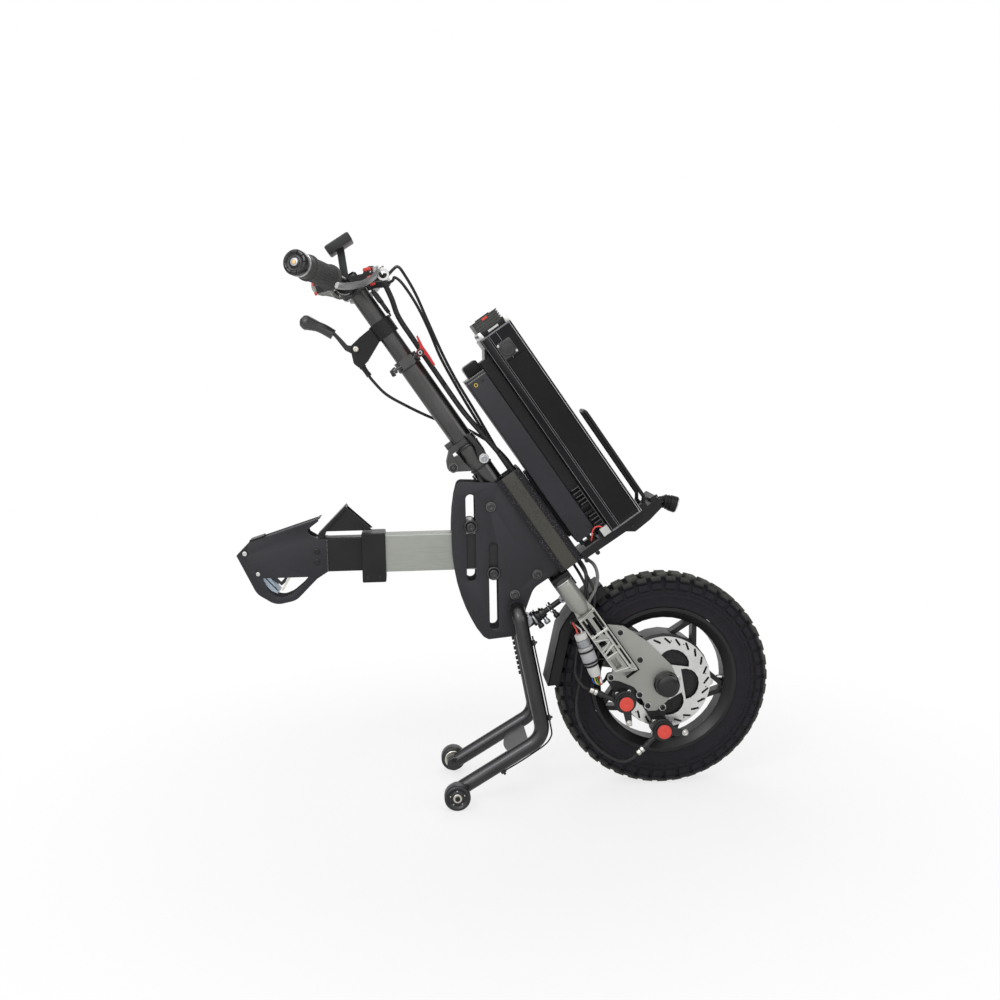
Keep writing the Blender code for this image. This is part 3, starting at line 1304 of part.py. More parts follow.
def harness():
    """The sleeved wires from the bar down the stem's front into the wrap."""
    n, y = WRAP_LANES["harness"]
    face = BAR_N + HEAD_AHEAD + GAP
    return cable("harness", [
        tilt(-0.3985, face, -0.0120), tilt(-0.3990, face + 0.0080, -0.0120),
        tilt(-0.4040, face + 0.0180, -0.0118), tilt(-0.4000, 0.0430, -0.0100),
        tilt(-0.3820, 0.0455, -0.0080), tilt(-0.3460, 0.0400, -0.0050), tilt(-0.3140, 0.0315, -0.0020),
        tilt(-0.2680, 0.0300, 0.0000), tilt(-0.2010, 0.0290, 0.0000), tilt(-0.1280, 0.0285, -0.0040),
        tilt(-0.0760, 0.0330, -0.0100), tilt(-0.0380, 0.0370, -0.0145), tilt(0.0020, n, y),
        tilt(0.0500, n, y), tilt(0.1000, n, y),
    ], 0.0090, CABLE, 2)


def cable_stop(points, start, end):
    """A cable's last two points, square to the adjuster that runs from start to end."""
    way = (Vector(end) - Vector(start)).normalized()
    seat, lead = Vector(end) + way * GAP, Vector(end) + way * 0.011
    return points + [(lead.x, -STOP_Y, lead.y), (seat.x, -STOP_Y, seat.y)]


def brake_cable_near():
    """From the near lever over the stem's front and through the wrap to the upper caliper."""
    n, y = WRAP_LANES["near"]
    x, z = PERCH_X + PERCH_AHEAD + GAP, PERCH_TOP
    return cable("brake_cable_near", cable_stop([
        (x, -0.0700, z - 0.006), (x + 0.008, -0.0700, z - 0.006), (x + 0.019, -0.0560, z + 0.006),
        (x + 0.026, -0.0350, z + 0.012), tilt(-0.3680, 0.0800, -0.0060), tilt(-0.3300, 0.0775, 0.0100),
        tilt(-0.2800, 0.0680, 0.0220), tilt(-0.2200, 0.0565, 0.0250), tilt(-0.1700, 0.0500, 0.0240),
        tilt(-0.1100, 0.0455, 0.0200), tilt(-0.0500, 0.0400, 0.0150), tilt(0.0000, 0.0362, y),
        tilt(0.0600, n, y), tilt(0.1400, n, y), tilt(0.1900, n, y), tilt(0.2050, 0.0325, 0.0030),
        tilt(0.2190, 0.0310, -0.0170), tilt(0.2350, 0.0280, -0.0330), tilt(0.2500, 0.0225, -0.0390),
        tilt(0.2640, 0.0120, -0.0416), tilt(0.2780, -0.0020, -0.0420), tilt(0.2940, -0.0200, -0.0420),
        (0.1170, -0.0425, 0.2600), (0.1120, -0.0450, 0.2300), (0.1108, -0.0530, 0.2100),
    ], *CABLE_STOPS["upper"]), 0.0050, CABLE, 2)


def brake_cable_far():
    """From the far lever through the wrap to the lower caliper, behind the near leg."""
    n, y = WRAP_LANES["far"]
    x, z = PERCH_X + PERCH_AHEAD + GAP, PERCH_TOP
    return cable("brake_cable_far", cable_stop([
        (x, 0.0700, z - 0.006), (x + 0.008, 0.0700, z - 0.006), (x + 0.016, 0.0600, z - 0.003),
        (x + 0.020, 0.0450, z + 0.001), tilt(-0.3560, 0.0700, 0.0340), tilt(-0.3150, 0.0690, 0.0320),
        tilt(-0.2700, 0.0620, 0.0310), tilt(-0.2200, 0.0510, 0.0310), tilt(-0.1700, 0.0450, 0.0300),
        tilt(-0.1100, 0.0400, 0.0265), tilt(-0.0500, 0.0365, 0.0205), tilt(0.0000, 0.0355, y),
        tilt(0.0600, n, y), tilt(0.1400, n, y), tilt(0.1760, n, y),
        tilt(0.1920, 0.0395, 0.0162), tilt(0.2060, 0.0415, 0.0060),
        tilt(0.2220, 0.0400, -0.0180), tilt(0.2420, 0.0370, -0.0375), tilt(0.2600, 0.0300, -0.0418),
        tilt(0.2800, 0.0130, -0.0420), tilt(0.2940, -0.0010, -0.0420), tilt(0.3100, -0.0190, -0.0420),
        (0.1260, -0.0430, 0.2400), (0.1200, -0.0440, 0.2000), (0.1130, -0.0480, 0.1700),
        (0.1120, -0.0560, 0.1420), (0.1230, -0.0630, 0.1130), (0.1440, -0.0660, 0.0860),
        (0.1700, -0.0650, 0.0660), (0.1900, -0.0630, 0.0580),
    ], *CABLE_STOPS["lower"]), 0.0050, CABLE, 2)


def hand_cable():
    """The parking lever's cable, past the stem's far side and into the wrap."""
    n, y = WRAP_LANES["hand"]
    t, behind = HAND_BARREL_T + HAND_BARREL + GAP, HAND_BARREL_N
    return cable("hand_cable", [
        tilt(t, behind, 0), tilt(t + 0.0110, behind, 0), tilt(-0.2210, -0.0605, 0.0030),
        tilt(-0.1870, -0.0450, 0.0120), tilt(-0.1500, -0.0250, 0.0240), tilt(-0.1200, -0.0050, 0.0310),
        tilt(-0.0950, 0.0150, 0.0330), tilt(-0.0600, 0.0320, 0.0305), tilt(-0.0350, 0.0400, 0.0275),
        tilt(-0.0120, 0.0435, 0.0205), tilt(0.0080, 0.0434, 0.0155), tilt(0.0600, n, y),
        tilt(0.1200, n, y),
    ], 0.0050, CABLE, 2)


# The whole unit

def build():
    clear_scene()
    for name, side in (("near", -1), ("far", 1)):
        side_plate(f"side_plate_{name}", side)
        fork_leg(f"fork_leg_{name}", side)
        dropout(f"dropout_{name}", side)
        roller(f"roller_{name}", side)
        wheel_bearing(f"wheel_bearing_{name}", side)
        brake_lever(f"brake_lever_{name}", side)
    for name, x, z in PLATE_BOLTS:
        plate_bolt(name, x, z)
    head_tube()
    headset("headset_upper", 0.0045)
    headset("headset_lower", HEAD_LENGTH - 0.0055)
    head_wrap()
    damper()
    dock_rail()
    controller()
    tray()
    headlamp()
    battery_case()
    battery_cap()
    arm_tube()
    slot_bolt("slot_bolt_upper", *SLOT_BOLTS[0])
    slot_bolt("slot_bolt_lower", *SLOT_BOLTS[1])
    arm_collar()
    inner_tube()
    hook_shell()
    guide_wedge()
    latch()
    stand_frame()
    fork_crown()
    axle()
    mudguard()
    for which in ("upper", "lower"):
        caliper(f"caliper_{which}", CALIPERS[which], CALIPER_EARS[which], CABLE_STOPS[which])
        caliper_arm(f"caliper_arm_{which}", CALIPERS[which], CALIPER_TIPS[which])
    tyre()
    rim()
    rotor()
    stem_base()
    fold_latch()
    stem_tube()
    qr_lever()
    mast()
    handlebar()
    grip("throttle", -1, True)
    grip("grip_far", 1, False)
    display()
    hand_mount()
    hand_lever()
    harness()
    brake_cable_near()
    brake_cable_far()
    hand_cable()


build()
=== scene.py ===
"""Looks of an electric front-wheel drive unit for a wheelchair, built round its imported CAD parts.

Metres, +Z up, +X towards the driven wheel, -Y the near side. Pieces that follow the steering axis
are laid out in t, down that axis from the top of the head tube, and n, square to it and forward.
"""

import math

import bmesh
import bpy
from mathutils import Matrix, Quaternion, Vector


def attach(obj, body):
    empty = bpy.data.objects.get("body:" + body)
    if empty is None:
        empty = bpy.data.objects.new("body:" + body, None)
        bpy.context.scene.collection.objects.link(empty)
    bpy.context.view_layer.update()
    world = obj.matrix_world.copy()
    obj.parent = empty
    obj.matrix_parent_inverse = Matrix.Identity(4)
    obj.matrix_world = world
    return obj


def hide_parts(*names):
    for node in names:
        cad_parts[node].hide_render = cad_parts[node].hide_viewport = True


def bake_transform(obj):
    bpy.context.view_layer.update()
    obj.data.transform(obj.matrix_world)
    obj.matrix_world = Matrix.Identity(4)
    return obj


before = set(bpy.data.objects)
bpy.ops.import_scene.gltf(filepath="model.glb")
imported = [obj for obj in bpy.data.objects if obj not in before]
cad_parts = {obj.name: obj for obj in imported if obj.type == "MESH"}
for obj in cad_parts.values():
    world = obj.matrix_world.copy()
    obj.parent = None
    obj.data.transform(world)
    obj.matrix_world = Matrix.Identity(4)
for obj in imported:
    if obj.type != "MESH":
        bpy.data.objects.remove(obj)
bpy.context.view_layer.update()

bl_info = {
    "name": "Drive Unit Looks",
    "version": (1, 0, 0),
    "blender": (4, 5, 0),
    "location": "View3D > Sidebar > Drive Unit",
    "description": "Dresses the packed parts of a wheelchair drive unit",
    "category": "Object",
}

WHEEL = Vector((0.2685, 0, 0.188))
HEAD = Vector((-0.0245, 0, 0.543))
HEAD_ANGLE = math.radians(34.1)
ARM_Z = 0.4245
ACROSS = Vector((0, 1, 0))
UP = Vector((0, 0, 1))
SIDES = ((-1, "near"), (1, "far"))


# Places

def row(a, b, c):
    """X, Z and Y of the unit."""
    return Vector((a, c, b))


def tilt(t, n, y):
    """A point laid out along the steering axis."""
    s, c = math.sin(HEAD_ANGLE), math.cos(HEAD_ANGLE)
    return Vector((HEAD.x + t * s + n * c, y, HEAD.z - t * c + n * s))


def endwise(n, y, t):
    """As tilt, for outlines that are extruded along the steering axis."""
    return tilt(t, n, y)


# the lever perches and the bar they sit on
BAR = tilt(-0.398, -0.008, 0)
PERCH = (BAR.x + 0.0553, BAR.z + 0.0195)
PORT = (-0.168, 0.147)
DOWN = tilt(1, 0, 0) - tilt(0, 0, 0)
AHEAD = tilt(0, 1, 0) - tilt(0, 0, 0)


def flowing(points, steps):
    """Points read from a smooth curve through all the given ones."""
    points = [Vector(p) for p in points]
    points = [2 * points[0] - points[1]] + points + [2 * points[-1] - points[-2]]
    result = []
    for a, b, c, d in zip(points, points[1:], points[2:], points[3:]):
        for k in range(steps):
            u = k / steps
            result.append(0.5 * (2 * b + (c - a) * u + (2 * a - 5 * b + 4 * c - d) * u ** 2
                                 + (3 * b - a - 3 * c + d) * u ** 3))
    return result + [points[-2]]


def distances(route):
    """How far along a route each of its points lies."""
    runs = [0.0]
    for a, b in zip(route, route[1:]):
        runs.append(runs[-1] + (b - a).length)
    return runs


def round_about(way, count):
    """Directions square to way, spread evenly round it."""
    side = way.cross(UP).normalized()
    return [Matrix.Rotation(2 * math.pi * k / count, 3, way) @ side for k in range(count)]


def bent(corners, steps=8):
    """The centre line of a bent tube: straight runs, with an arc at each inner corner."""
    route = [Vector(corners[0][0])]
    for (before, _), (corner, radius), (after, _) in zip(corners, corners[1:], corners[2:]):
        corner = Vector(corner)
        back = (Vector(before) - corner).normalized()
        ahead = (Vector(after) - corner).normalized()
        half = back.angle(ahead) / 2
        middle = corner + (back + ahead).normalized() * (radius / math.sin(half))
        start = corner + back * (radius / math.tan(half)) - middle
        end = corner + ahead * (radius / math.tan(half)) - middle
        turn = start.rotation_difference(end)
        route += [middle + Quaternion().slerp(turn, k / steps) @ start for k in range(steps + 1)]
    return route + [Vector(corners[-1][0])]


def rounded(corners, steps=5):
    """An outline from (a, b, radius) corners, each rounded by an arc of that radius."""
    result = []
    for i, (a, b, radius) in enumerate(corners):
        here = Vector((a, b))
        if radius <= 0:
            result.append((a, b))
            continue
        before = Vector(corners[i - 1][:2]) - here
        after = Vector(corners[(i + 1) % len(corners)][:2]) - here
        half = before.angle(after) / 2
        middle = here + (before.normalized() + after.normalized()).normalized() * (radius / math.sin(half))
        start = here + before.normalized() * (radius / math.tan(half)) - middle
        end = here + after.normalized() * (radius / math.tan(half)) - middle
        turn = start.angle_signed(end)
        for k in range(steps + 1):
            point = middle + Matrix.Rotation(-turn * k / steps, 2) @ start
            result.append((point.x, point.y))
    return result


def oblong(a0, b0, a1, b1, radius, steps=5):
    """A rectangle between two opposite corners, with rounded corners."""
    return rounded([(a0, b0, radius), (a1, b0, radius), (a1, b1, radius), (a0, b1, radius)], steps)


def circle(a, b, radius, steps=32):
    """The corners of a round outline."""
    return [(a + radius * math.cos(2 * math.pi * k / steps),
             b + radius * math.sin(2 * math.pi * k / steps)) for k in range(steps)]


# Modelling by hand

def alone(*objs):
    """Leaves these objects, and nothing else, selected, the first of them active."""
    if bpy.context.mode != "OBJECT":
        bpy.ops.object.mode_set(mode="OBJECT")
    bpy.ops.object.select_all(action="DESELECT")
    for obj in objs:
        obj.select_set(True)
    bpy.context.view_layer.objects.active = objs[0] if objs else None


def settled(name):
    """The active object, named, with its place in its mesh."""
    obj = bpy.context.object
    obj.name = obj.data.name = name
    alone(obj)
    bpy.ops.object.transform_apply(location=True, rotation=True, scale=True)
    return obj


def drawn(name, points):
    """A line through the points, drawn by extruding one vertex after another; left in edit mode."""
    alone()
    bpy.ops.mesh.primitive_plane_add(size=0.001, location=points[0])
    obj = settled(name)
    bpy.ops.object.mode_set(mode="EDIT")
    bpy.ops.mesh.select_mode(type="VERT")
    bpy.ops.mesh.select_all(action="SELECT")
    bpy.ops.mesh.merge(type="CENTER")
    for a, b in zip(points, points[1:]):
        bpy.ops.mesh.extrude_vertices_move(TRANSFORM_OT_translate={"value": b - a})
    return obj


def closed(obj):
    """Merges doubles, turns the faces outwards and leaves edit mode."""
    if bpy.context.mode != "EDIT_MESH":
        alone(obj)
        bpy.ops.object.mode_set(mode="EDIT")
    bpy.ops.mesh.select_all(action="SELECT")
    bpy.ops.mesh.remove_doubles(threshold=1e-6)
    bpy.ops.mesh.normals_make_consistent(inside=False)
    bpy.ops.object.mode_set(mode="OBJECT")
    return obj


def slab(name, outline, low, high, place=row):
    """A flat outline, filled and extruded along the third length."""
    obj = drawn(name, [place(a, b, low) for a, b in outline])
    bpy.ops.mesh.select_all(action="SELECT")
    bpy.ops.mesh.edge_face_add()
    bpy.ops.mesh.select_all(action="SELECT")
    bpy.ops.mesh.extrude_region_move(TRANSFORM_OT_translate={"value": place(0, 0, high) - place(0, 0, low)})
    return closed(obj)


def brick(name, low, high, place=row):
    """A box between two corners of a frame of reference."""
    (a0, b0, c0), (a1, b1, c1) = low, high
    return slab(name, [(a0, b0), (a1, b0), (a1, b1), (a0, b1)], c0, c1, place)


def turned(name, profile, base, axis, steps=48, ring=False):
    """A profile of (distance, radius), spun about an axis through base."""
    base, way = Vector(base), Vector(axis).normalized()
    out = way.orthogonal().normalized()
    if ring:
        profile = list(profile) + [profile[0]]
    obj = drawn(name, [base + way * d + out * r for d, r in profile])
    bpy.ops.mesh.select_all(action="SELECT")
    bpy.ops.mesh.spin(steps=steps, dupli=False, angle=2 * math.pi, center=base, axis=way)
    return closed(obj)


def rod(name, start, end, radius, steps=32):
    start, end = Vector(start), Vector(end)
    length = (end - start).length
    return turned(name, [(0, 0), (0, radius), (length, radius), (length, 0)], start, end - start, steps)


def swept(name, points, radius, sides=16):
    """A bent bar or wire: a curve with a round section, made a mesh."""
    alone()
    bpy.ops.curve.primitive_nurbs_path_add()
    curve = bpy.context.object.data
    curve.splines.clear()
    spline = curve.splines.new("POLY")
    spline.points.add(len(points) - 1)
    radii = radius if isinstance(radius, list) else [radius] * len(points)
    for target, point, size in zip(spline.points, points, radii):
        target.co = (*point, 1)
        target.radius = size / radii[0]
    curve.dimensions = "3D"
    curve.bevel_depth = radii[0]
    curve.bevel_resolution = max(sides // 4 - 1, 0)
    curve.use_fill_caps = True
    bpy.ops.object.convert(target="MESH")
    return closed(settled(name))


def modified(obj, kind, **settings):
    """Adds a modifier with these settings and applies it."""
    alone(obj)
    modifier = obj.modifiers.new("work", kind)
    for key, value in settings.items():
        setattr(modifier, key, value)
    bpy.ops.object.modifier_apply(modifier="work")
    return obj


def cut(obj, *cutters):
    for cutter in cutters:
        modified(obj, "BOOLEAN", operation="DIFFERENCE", solver="EXACT", object=cutter)
        bpy.data.objects.remove(cutter)
    return obj


def fused(obj, *others):
    for other in others:
        modified(obj, "BOOLEAN", operation="UNION", solver="EXACT", object=other)
        bpy.data.objects.remove(other)
    return obj


def joined(name, objs):
    """Several shells as one piece."""
    alone(*objs)
    if len(objs) > 1:
        bpy.ops.object.join()
    obj = bpy.context.object
    obj.name = obj.data.name = name
    return obj


def facing(obj, way, limit=0.9):
    """Enters edit mode with only the faces that look one way selected."""
    alone(obj)
    bpy.ops.object.mode_set(mode="EDIT")
    bpy.ops.mesh.select_mode(type="FACE")
    bpy.ops.mesh.select_all(action="DESELECT")
    mesh = bmesh.from_edit_mesh(obj.data)
    mesh.normal_update()
    for face in mesh.faces:
        face.select_set(face.normal.dot(way) > limit)
    bmesh.update_edit_mesh(obj.data)


def tapered(obj, way, share):
    """Draws in the end of a piece that looks one way."""
    facing(obj, way)
    mesh = bmesh.from_edit_mesh(obj.data)
    chosen = [face.calc_center_median() for face in mesh.faces if face.select]
    middle = sum(chosen, Vector()) / len(chosen)
    bpy.ops.transform.resize(value=(share,) * 3, center_override=middle)
    bpy.ops.object.mode_set(mode="OBJECT")
    return obj


def copied(obj, name, shift=None, turn=None, centre=None):
    """A copy of a piece with its own mesh, moved or turned about a centre."""
    alone(obj)
    bpy.ops.object.duplicate()
    twin = bpy.context.object
    twin.name = twin.data.name = name
    matrix = Matrix.Translation(shift) if shift else Matrix.Identity(4)
    if turn:
        there = Matrix.Translation(centre)
        matrix = there @ turn.to_4x4() @ there.inverted()
    twin.data.transform(matrix)
    return twin


def screw(name, base, way, radius, height, socket=0.48, steps=24):
    """A screw head with a drilled socket, standing on base."""
    return turned(name, [
        (-0.0005, 0), (-0.0005, radius), (height * 0.75, radius), (height, radius * 0.82),
        (height, radius * socket), (height * 0.4, radius * socket * 0.94), (height * 0.3, 0)], base, way,
        steps)


def softened(obj, width, segments=2, angle=30, smooth=32):
    """Rounds the edges and smooths the shading between them."""
    if width:
        modified(obj, "BEVEL", width=width, segments=segments, limit_method="ANGLE",
                 angle_limit=math.radians(angle), harden_normals=False)
    alone(obj)
    bpy.ops.object.shade_smooth_by_angle(angle=math.radians(smooth))
    return obj


def repeated(obj, count, angle, centre, axis):
    """Copies all of a piece round an axis, count times in all, as one mesh."""
    alone(obj)
    bpy.ops.object.mode_set(mode="EDIT")
    bpy.ops.mesh.select_all(action="SELECT")
    bpy.ops.mesh.spin(
        steps=count - 1, dupli=True, angle=angle * (count - 1) / count, center=centre, axis=axis)
    bpy.ops.mesh.select_all(action="SELECT")
    bpy.ops.object.mode_set(mode="OBJECT")
    return obj


def worn(obj, look, body, *nodes, slot=None):
    """Gives a piece its finish, lets it ride on its body and hides the nodes it stands for."""
    obj.data.materials.clear()
    obj.data.materials.append(FINISHES[look])
    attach(obj, body)
    if nodes:
        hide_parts(*nodes)
    slot = slot or SLOT_OF[look]
    return obj


def fitted(obj, look, body, *nodes, slot=None, edge=0.0, segments=1, smooth=32):
    """A worn piece whose edges are rounded first, by a width."""
    return worn(softened(obj, edge, segments, smooth=smooth), look, body, *nodes, slot=slot)


# Finishes

class Value:
    """A number that a shader works out: arithmetic on it adds Math nodes."""

    def __init__(self, finish, socket):
        self.finish = finish
        self.socket = socket

    def _math(self, operation, first, second):
        node = self.finish.add("ShaderNodeMath", {"operation": operation}, {0: first, 1: second})
        return Value(self.finish, node.outputs[0])

    def __add__(self, other):
        return self._math("ADD", self, other)

    def __radd__(self, other):
        return self._math("ADD", other, self)

    def __sub__(self, other):
        return self._math("SUBTRACT", self, other)

    def __rsub__(self, other):
        return self._math("SUBTRACT", other, self)

    def __mul__(self, other):
        return self._math("MULTIPLY", self, other)

    def __rmul__(self, other):
        return self._math("MULTIPLY", other, self)

    def __truediv__(self, other):
        return self._math("DIVIDE", self, other)

    def __gt__(self, other):
        return self._math("GREATER_THAN", self, other)

    def call(self, operation, other=0.0):
        return self._math(operation, self, other)


class Finish:
    """A material under construction: one Principled shader and what feeds it."""

    def __init__(self, name, roughness=0.5, metallic=0.0, specular=0.5, coat=0.0, coat_rough=0.1):
        self.material = bpy.data.materials.new(name)
        self.material.use_nodes = True
        self.tree = self.material.node_tree
        self.shader = self.tree.nodes["Principled BSDF"]
        self.feed("Roughness", roughness)
        self.feed("Metallic", metallic)
        self.feed("Specular IOR Level", specular)
        self.feed("Coat Weight", coat)
        self.feed("Coat Roughness", coat_rough)
        self.place = self.add("ShaderNodeTexCoord").outputs["Object"]

    def add(self, kind, settings=None, sockets=None):
        """A node with its settings, then the values or links of its sockets."""
        node = self.tree.nodes.new(kind)
        for key, value in (settings or {}).items():
            setattr(node, key, value)
        for key, value in (sockets or {}).items():
            self.join(node.inputs[key], value)
        return node

    def join(self, socket, value):
        if isinstance(value, Value):
            value = value.socket
        if isinstance(value, bpy.types.NodeSocket):
            self.tree.links.new(value, socket)
        else:
            socket.default_value = value

    def feed(self, name, value):
        self.join(self.shader.inputs[name], value)

    def noise(self, scale, detail=2.0, rough=0.5, place=None):
        node = self.add("ShaderNodeTexNoise", None, {
            "Vector": place or self.place, "Scale": scale, "Detail": detail, "Roughness": rough})
        return Value(self, node.outputs["Fac"])

    def cells(self, scale, place=None, feature="F1"):
        node = self.add(
            "ShaderNodeTexVoronoi", {"feature": feature}, {"Vector": place or self.place, "Scale": scale})
        return Value(self, node.outputs["Distance"])

    def stretched(self, scale, turn=(0, 0, 0), move=(0, 0, 0)):
        """Object coordinates, turned and scaled for a pattern with a direction."""
        return self.add("ShaderNodeMapping", None, {
            "Vector": self.place, "Location": move, "Rotation": turn, "Scale": scale}).outputs[0]

    def ramp(self, value, low, high, start=0.0, end=1.0):
        """Value carried smoothly from low..high to start..end."""
        node = self.add("ShaderNodeMapRange", {"interpolation_type": "SMOOTHSTEP"}, {
            "Value": value, "From Min": low, "From Max": high, "To Min": start, "To Max": end})
        return Value(self, node.outputs[0])

    def mix(self, factor, first, second):
        node = self.add("ShaderNodeMix", {"data_type": "RGBA"})
        self.join(node.inputs[0], factor)
        for socket, colour in ((node.inputs[6], first), (node.inputs[7], second)):
            self.join(socket, (*colour, 1) if isinstance(colour, tuple) else colour)
        return node.outputs[2]

    def bump(self, height, distance, strength=1.0, under=None):
        node = self.add("ShaderNodeBump", None, {
            "Height": height, "Distance": distance, "Strength": strength})
        if under:
            self.join(node.inputs["Normal"], under)
        return node.outputs[0]

    def edges(self, radius, low=0.02, high=0.16):
        """How near a point is to a worn edge, from 0 to 1."""
        soft = self.add("ShaderNodeBevel", {"samples": 4}, {"Radius": radius}).outputs[0]
        flat = self.add("ShaderNodeNewGeometry").outputs["Normal"]
        dot = self.add("ShaderNodeVectorMath", {"operation": "DOT_PRODUCT"}, {0: soft, 1: flat})
        return self.ramp(1.0 - Value(self, dot.outputs["Value"]), low, high)


def coated(name, colour, roughness, metallic=0.0, specular=0.5, drift=0.16, grain=1400.0, relief=0.00006,
           wear=0.0, coat=0.0, spread=0.06):
    """Paint, moulding or anodising: slow drift in colour and gloss, a fine grain, worn edges."""
    look = Finish(name, roughness, metallic, specular, coat)
    slow = look.noise(11.0, 3.0, 0.6)
    fine = look.noise(grain, 2.0, 0.55)
    dark = tuple(c * (1 - drift) for c in colour)
    pale = tuple(min(c * (1 + drift) + 0.002, 1) for c in colour)
    shade = look.mix(look.ramp(slow * 0.7 + fine * 0.3, 0.3, 0.7), dark, pale)
    rough = look.ramp(slow, 0.3, 0.7, roughness - spread, roughness + spread)
    if wear:
        rub = look.edges(0.0012) * look.ramp(look.noise(60.0, 4.0, 0.7), 0.35, 0.6) * wear
        shade = look.mix(rub, shade, tuple(min(0.25 + c, 1) for c in colour))
    look.feed("Base Color", shade)
    look.feed("Roughness", rough)
    look.feed("Normal", look.bump(fine, relief))
    return look.material


def ground(name, colour, roughness, way, metallic=1.0):
    """Drawn or ground metal: fine lines along one of the unit's directions."""
    look = Finish(name, roughness, metallic)
    scale = {"x": (30, 900, 900), "y": (900, 30, 900), "z": (900, 900, 30)}[way]
    lines = look.noise(1.0, 3.0, 0.6, look.stretched(scale))
    slow = look.noise(9.0, 3.0, 0.6)
    look.feed("Base Color", look.mix(
        look.ramp(lines * 0.6 + slow * 0.4, 0.3, 0.7), tuple(c * 0.88 for c in colour),
        tuple(min(c * 1.08, 1) for c in colour)))
    look.feed("Roughness", look.ramp(lines * 0.5 + slow * 0.5, 0.3, 0.7, roughness - 0.06, roughness + 0.08))
    look.feed("Normal", look.bump(lines, 0.00003))
    return look.material


def disc_steel(name):
    """The brake disc: rings of grinding round the axle."""
    look = Finish(name, 0.24, 1.0)
    part = look.add("ShaderNodeSeparateXYZ", None, {0: look.stretched((1, 1, 1), move=tuple(-WHEEL))})
    x, z = Value(look, part.outputs[0]), Value(look, part.outputs[2])
    radius = (x * x + z * z).call("SQRT")
    at = look.add("ShaderNodeCombineXYZ", None, {0: radius * 1500.0, 1: 0.0, 2: 0.0}).outputs[0]
    rings = look.noise(1.0, 2.0, 0.7, at)
    slow = look.noise(25.0, 3.0, 0.6)
    look.feed("Base Color", look.mix(
        look.ramp(rings * 0.5 + slow * 0.5, 0.3, 0.7), (0.56, 0.56, 0.55), (0.74, 0.74, 0.73)))
    look.feed("Roughness", look.ramp(rings, 0.3, 0.7, 0.2, 0.34))
    look.feed("Normal", look.bump(rings, 0.00004))
    return look.material


def tyre_rubber(name):
    """Matte rubber whose tread faces and shoulders are tinted a lighter brownish grey: partly dust, partly a
    painted highlight.
    """
    look = Finish(name, 0.82, 0.0, 0.22)
    part = look.add("ShaderNodeSeparateXYZ", None, {0: look.stretched((1, 1, 1), move=tuple(-WHEEL))})
    x, z = Value(look, part.outputs[0]), Value(look, part.outputs[2])
    radius = (x * x + z * z).call("SQRT")
    dust = look.noise(70.0, 4.0, 0.65)
    fine = look.noise(900.0, 2.0, 0.6)
    side = Value(look, part.outputs[1]).call("ABSOLUTE")
    # Masks by distance from the axle: the tread faces, and less so the shoulders, take a lighter brownish
    # tint that is partly dust and partly a painted highlight.
    tread = look.ramp(radius + (dust - 0.5) * 0.006, 0.18, 0.1862)
    low = look.ramp(radius + side * 0.3, 0.1845, 0.1885)
    base = look.mix(
        look.ramp(fine * 0.4 + dust * 0.6, 0.35, 0.7), (0.0105, 0.0095, 0.0125), (0.024, 0.022, 0.0275))
    dust_and_highlight = look.mix(look.ramp(dust, 0.3, 0.75), (0.052, 0.054, 0.046), (0.12, 0.122, 0.106))
    base = look.mix(low * 0.5, base, dust_and_highlight)
    look.feed("Base Color", look.mix(tread, base, dust_and_highlight))
    look.feed("Roughness", look.ramp(dust, 0.3, 0.7, 0.72, 0.92))
    look.feed("Normal", look.bump(fine, 0.0001))
    return look.material


def grained_leather(name):
    """Olive black artificial leather with a pebbled grain and rubbed high spots."""
    look = Finish(name, 0.6, 0.0, 0.35)
    pebbles = look.cells(620.0)
    creases = look.noise(48.0, 4.0, 0.7)
    slow = look.noise(14.0, 2.0, 0.5)
    tone = look.ramp(pebbles * 0.5 + slow * 0.5, 0.25, 0.65)
    look.feed("Base Color", look.mix(tone, (0.034, 0.033, 0.028), (0.066, 0.064, 0.053)))
    look.feed("Roughness", look.ramp(slow, 0.3, 0.7, 0.52, 0.7))
    fold = look.bump(creases, 0.0006, 0.5)
    look.feed("Normal", look.bump(1.0 - pebbles, 0.0002, 0.8, fold))
    return look.material


def woven_edging(name):
    """Coarse dark textile with grey violet flecks where its yarns cross."""
    look = Finish(name, 0.8, 0.0, 0.25)
    warp = look.noise(1.0, 1.0, 0.5, look.stretched((520, 520, 520), (0, HEAD_ANGLE + 0.7, 0)))
    knots = look.cells(430.0)
    knot = look.ramp(knots, 0.18, 0.42, 1.0, 0.0)
    fleck = look.ramp(warp * knot, 0.36, 0.56)
    look.feed("Base Color", look.mix(fleck, (0.016, 0.015, 0.017), (0.19, 0.17, 0.21)))
    look.feed("Roughness", look.ramp(warp, 0.3, 0.7, 0.7, 0.9))
    look.feed("Normal", look.bump(knot, 0.0005, 0.9))
    return look.material


def braid(name, colour, other, pitch):
    """Woven sleeve: two sets of strands, from the piece's own run and round attributes."""
    look = Finish(name, 0.55, 0.0, 0.4)
    run = Value(look, look.add("ShaderNodeAttribute", {"attribute_name": "run"}).outputs["Fac"])
    turn = Value(look, look.add("ShaderNodeAttribute", {"attribute_name": "round"}).outputs["Fac"])
    one = ((run / pitch + turn * 8.0) * (2 * math.pi)).call("SINE")
    two = ((run / pitch - turn * 8.0) * (2 * math.pi)).call("SINE")
    weave = look.ramp(one * two, -0.5, 0.7)
    look.feed("Base Color", look.mix(weave, other, colour))
    look.feed("Roughness", look.ramp(look.noise(90.0), 0.3, 0.7, 0.48, 0.66))
    look.feed("Normal", look.bump(weave, 0.0003, 0.8))
    return look.material


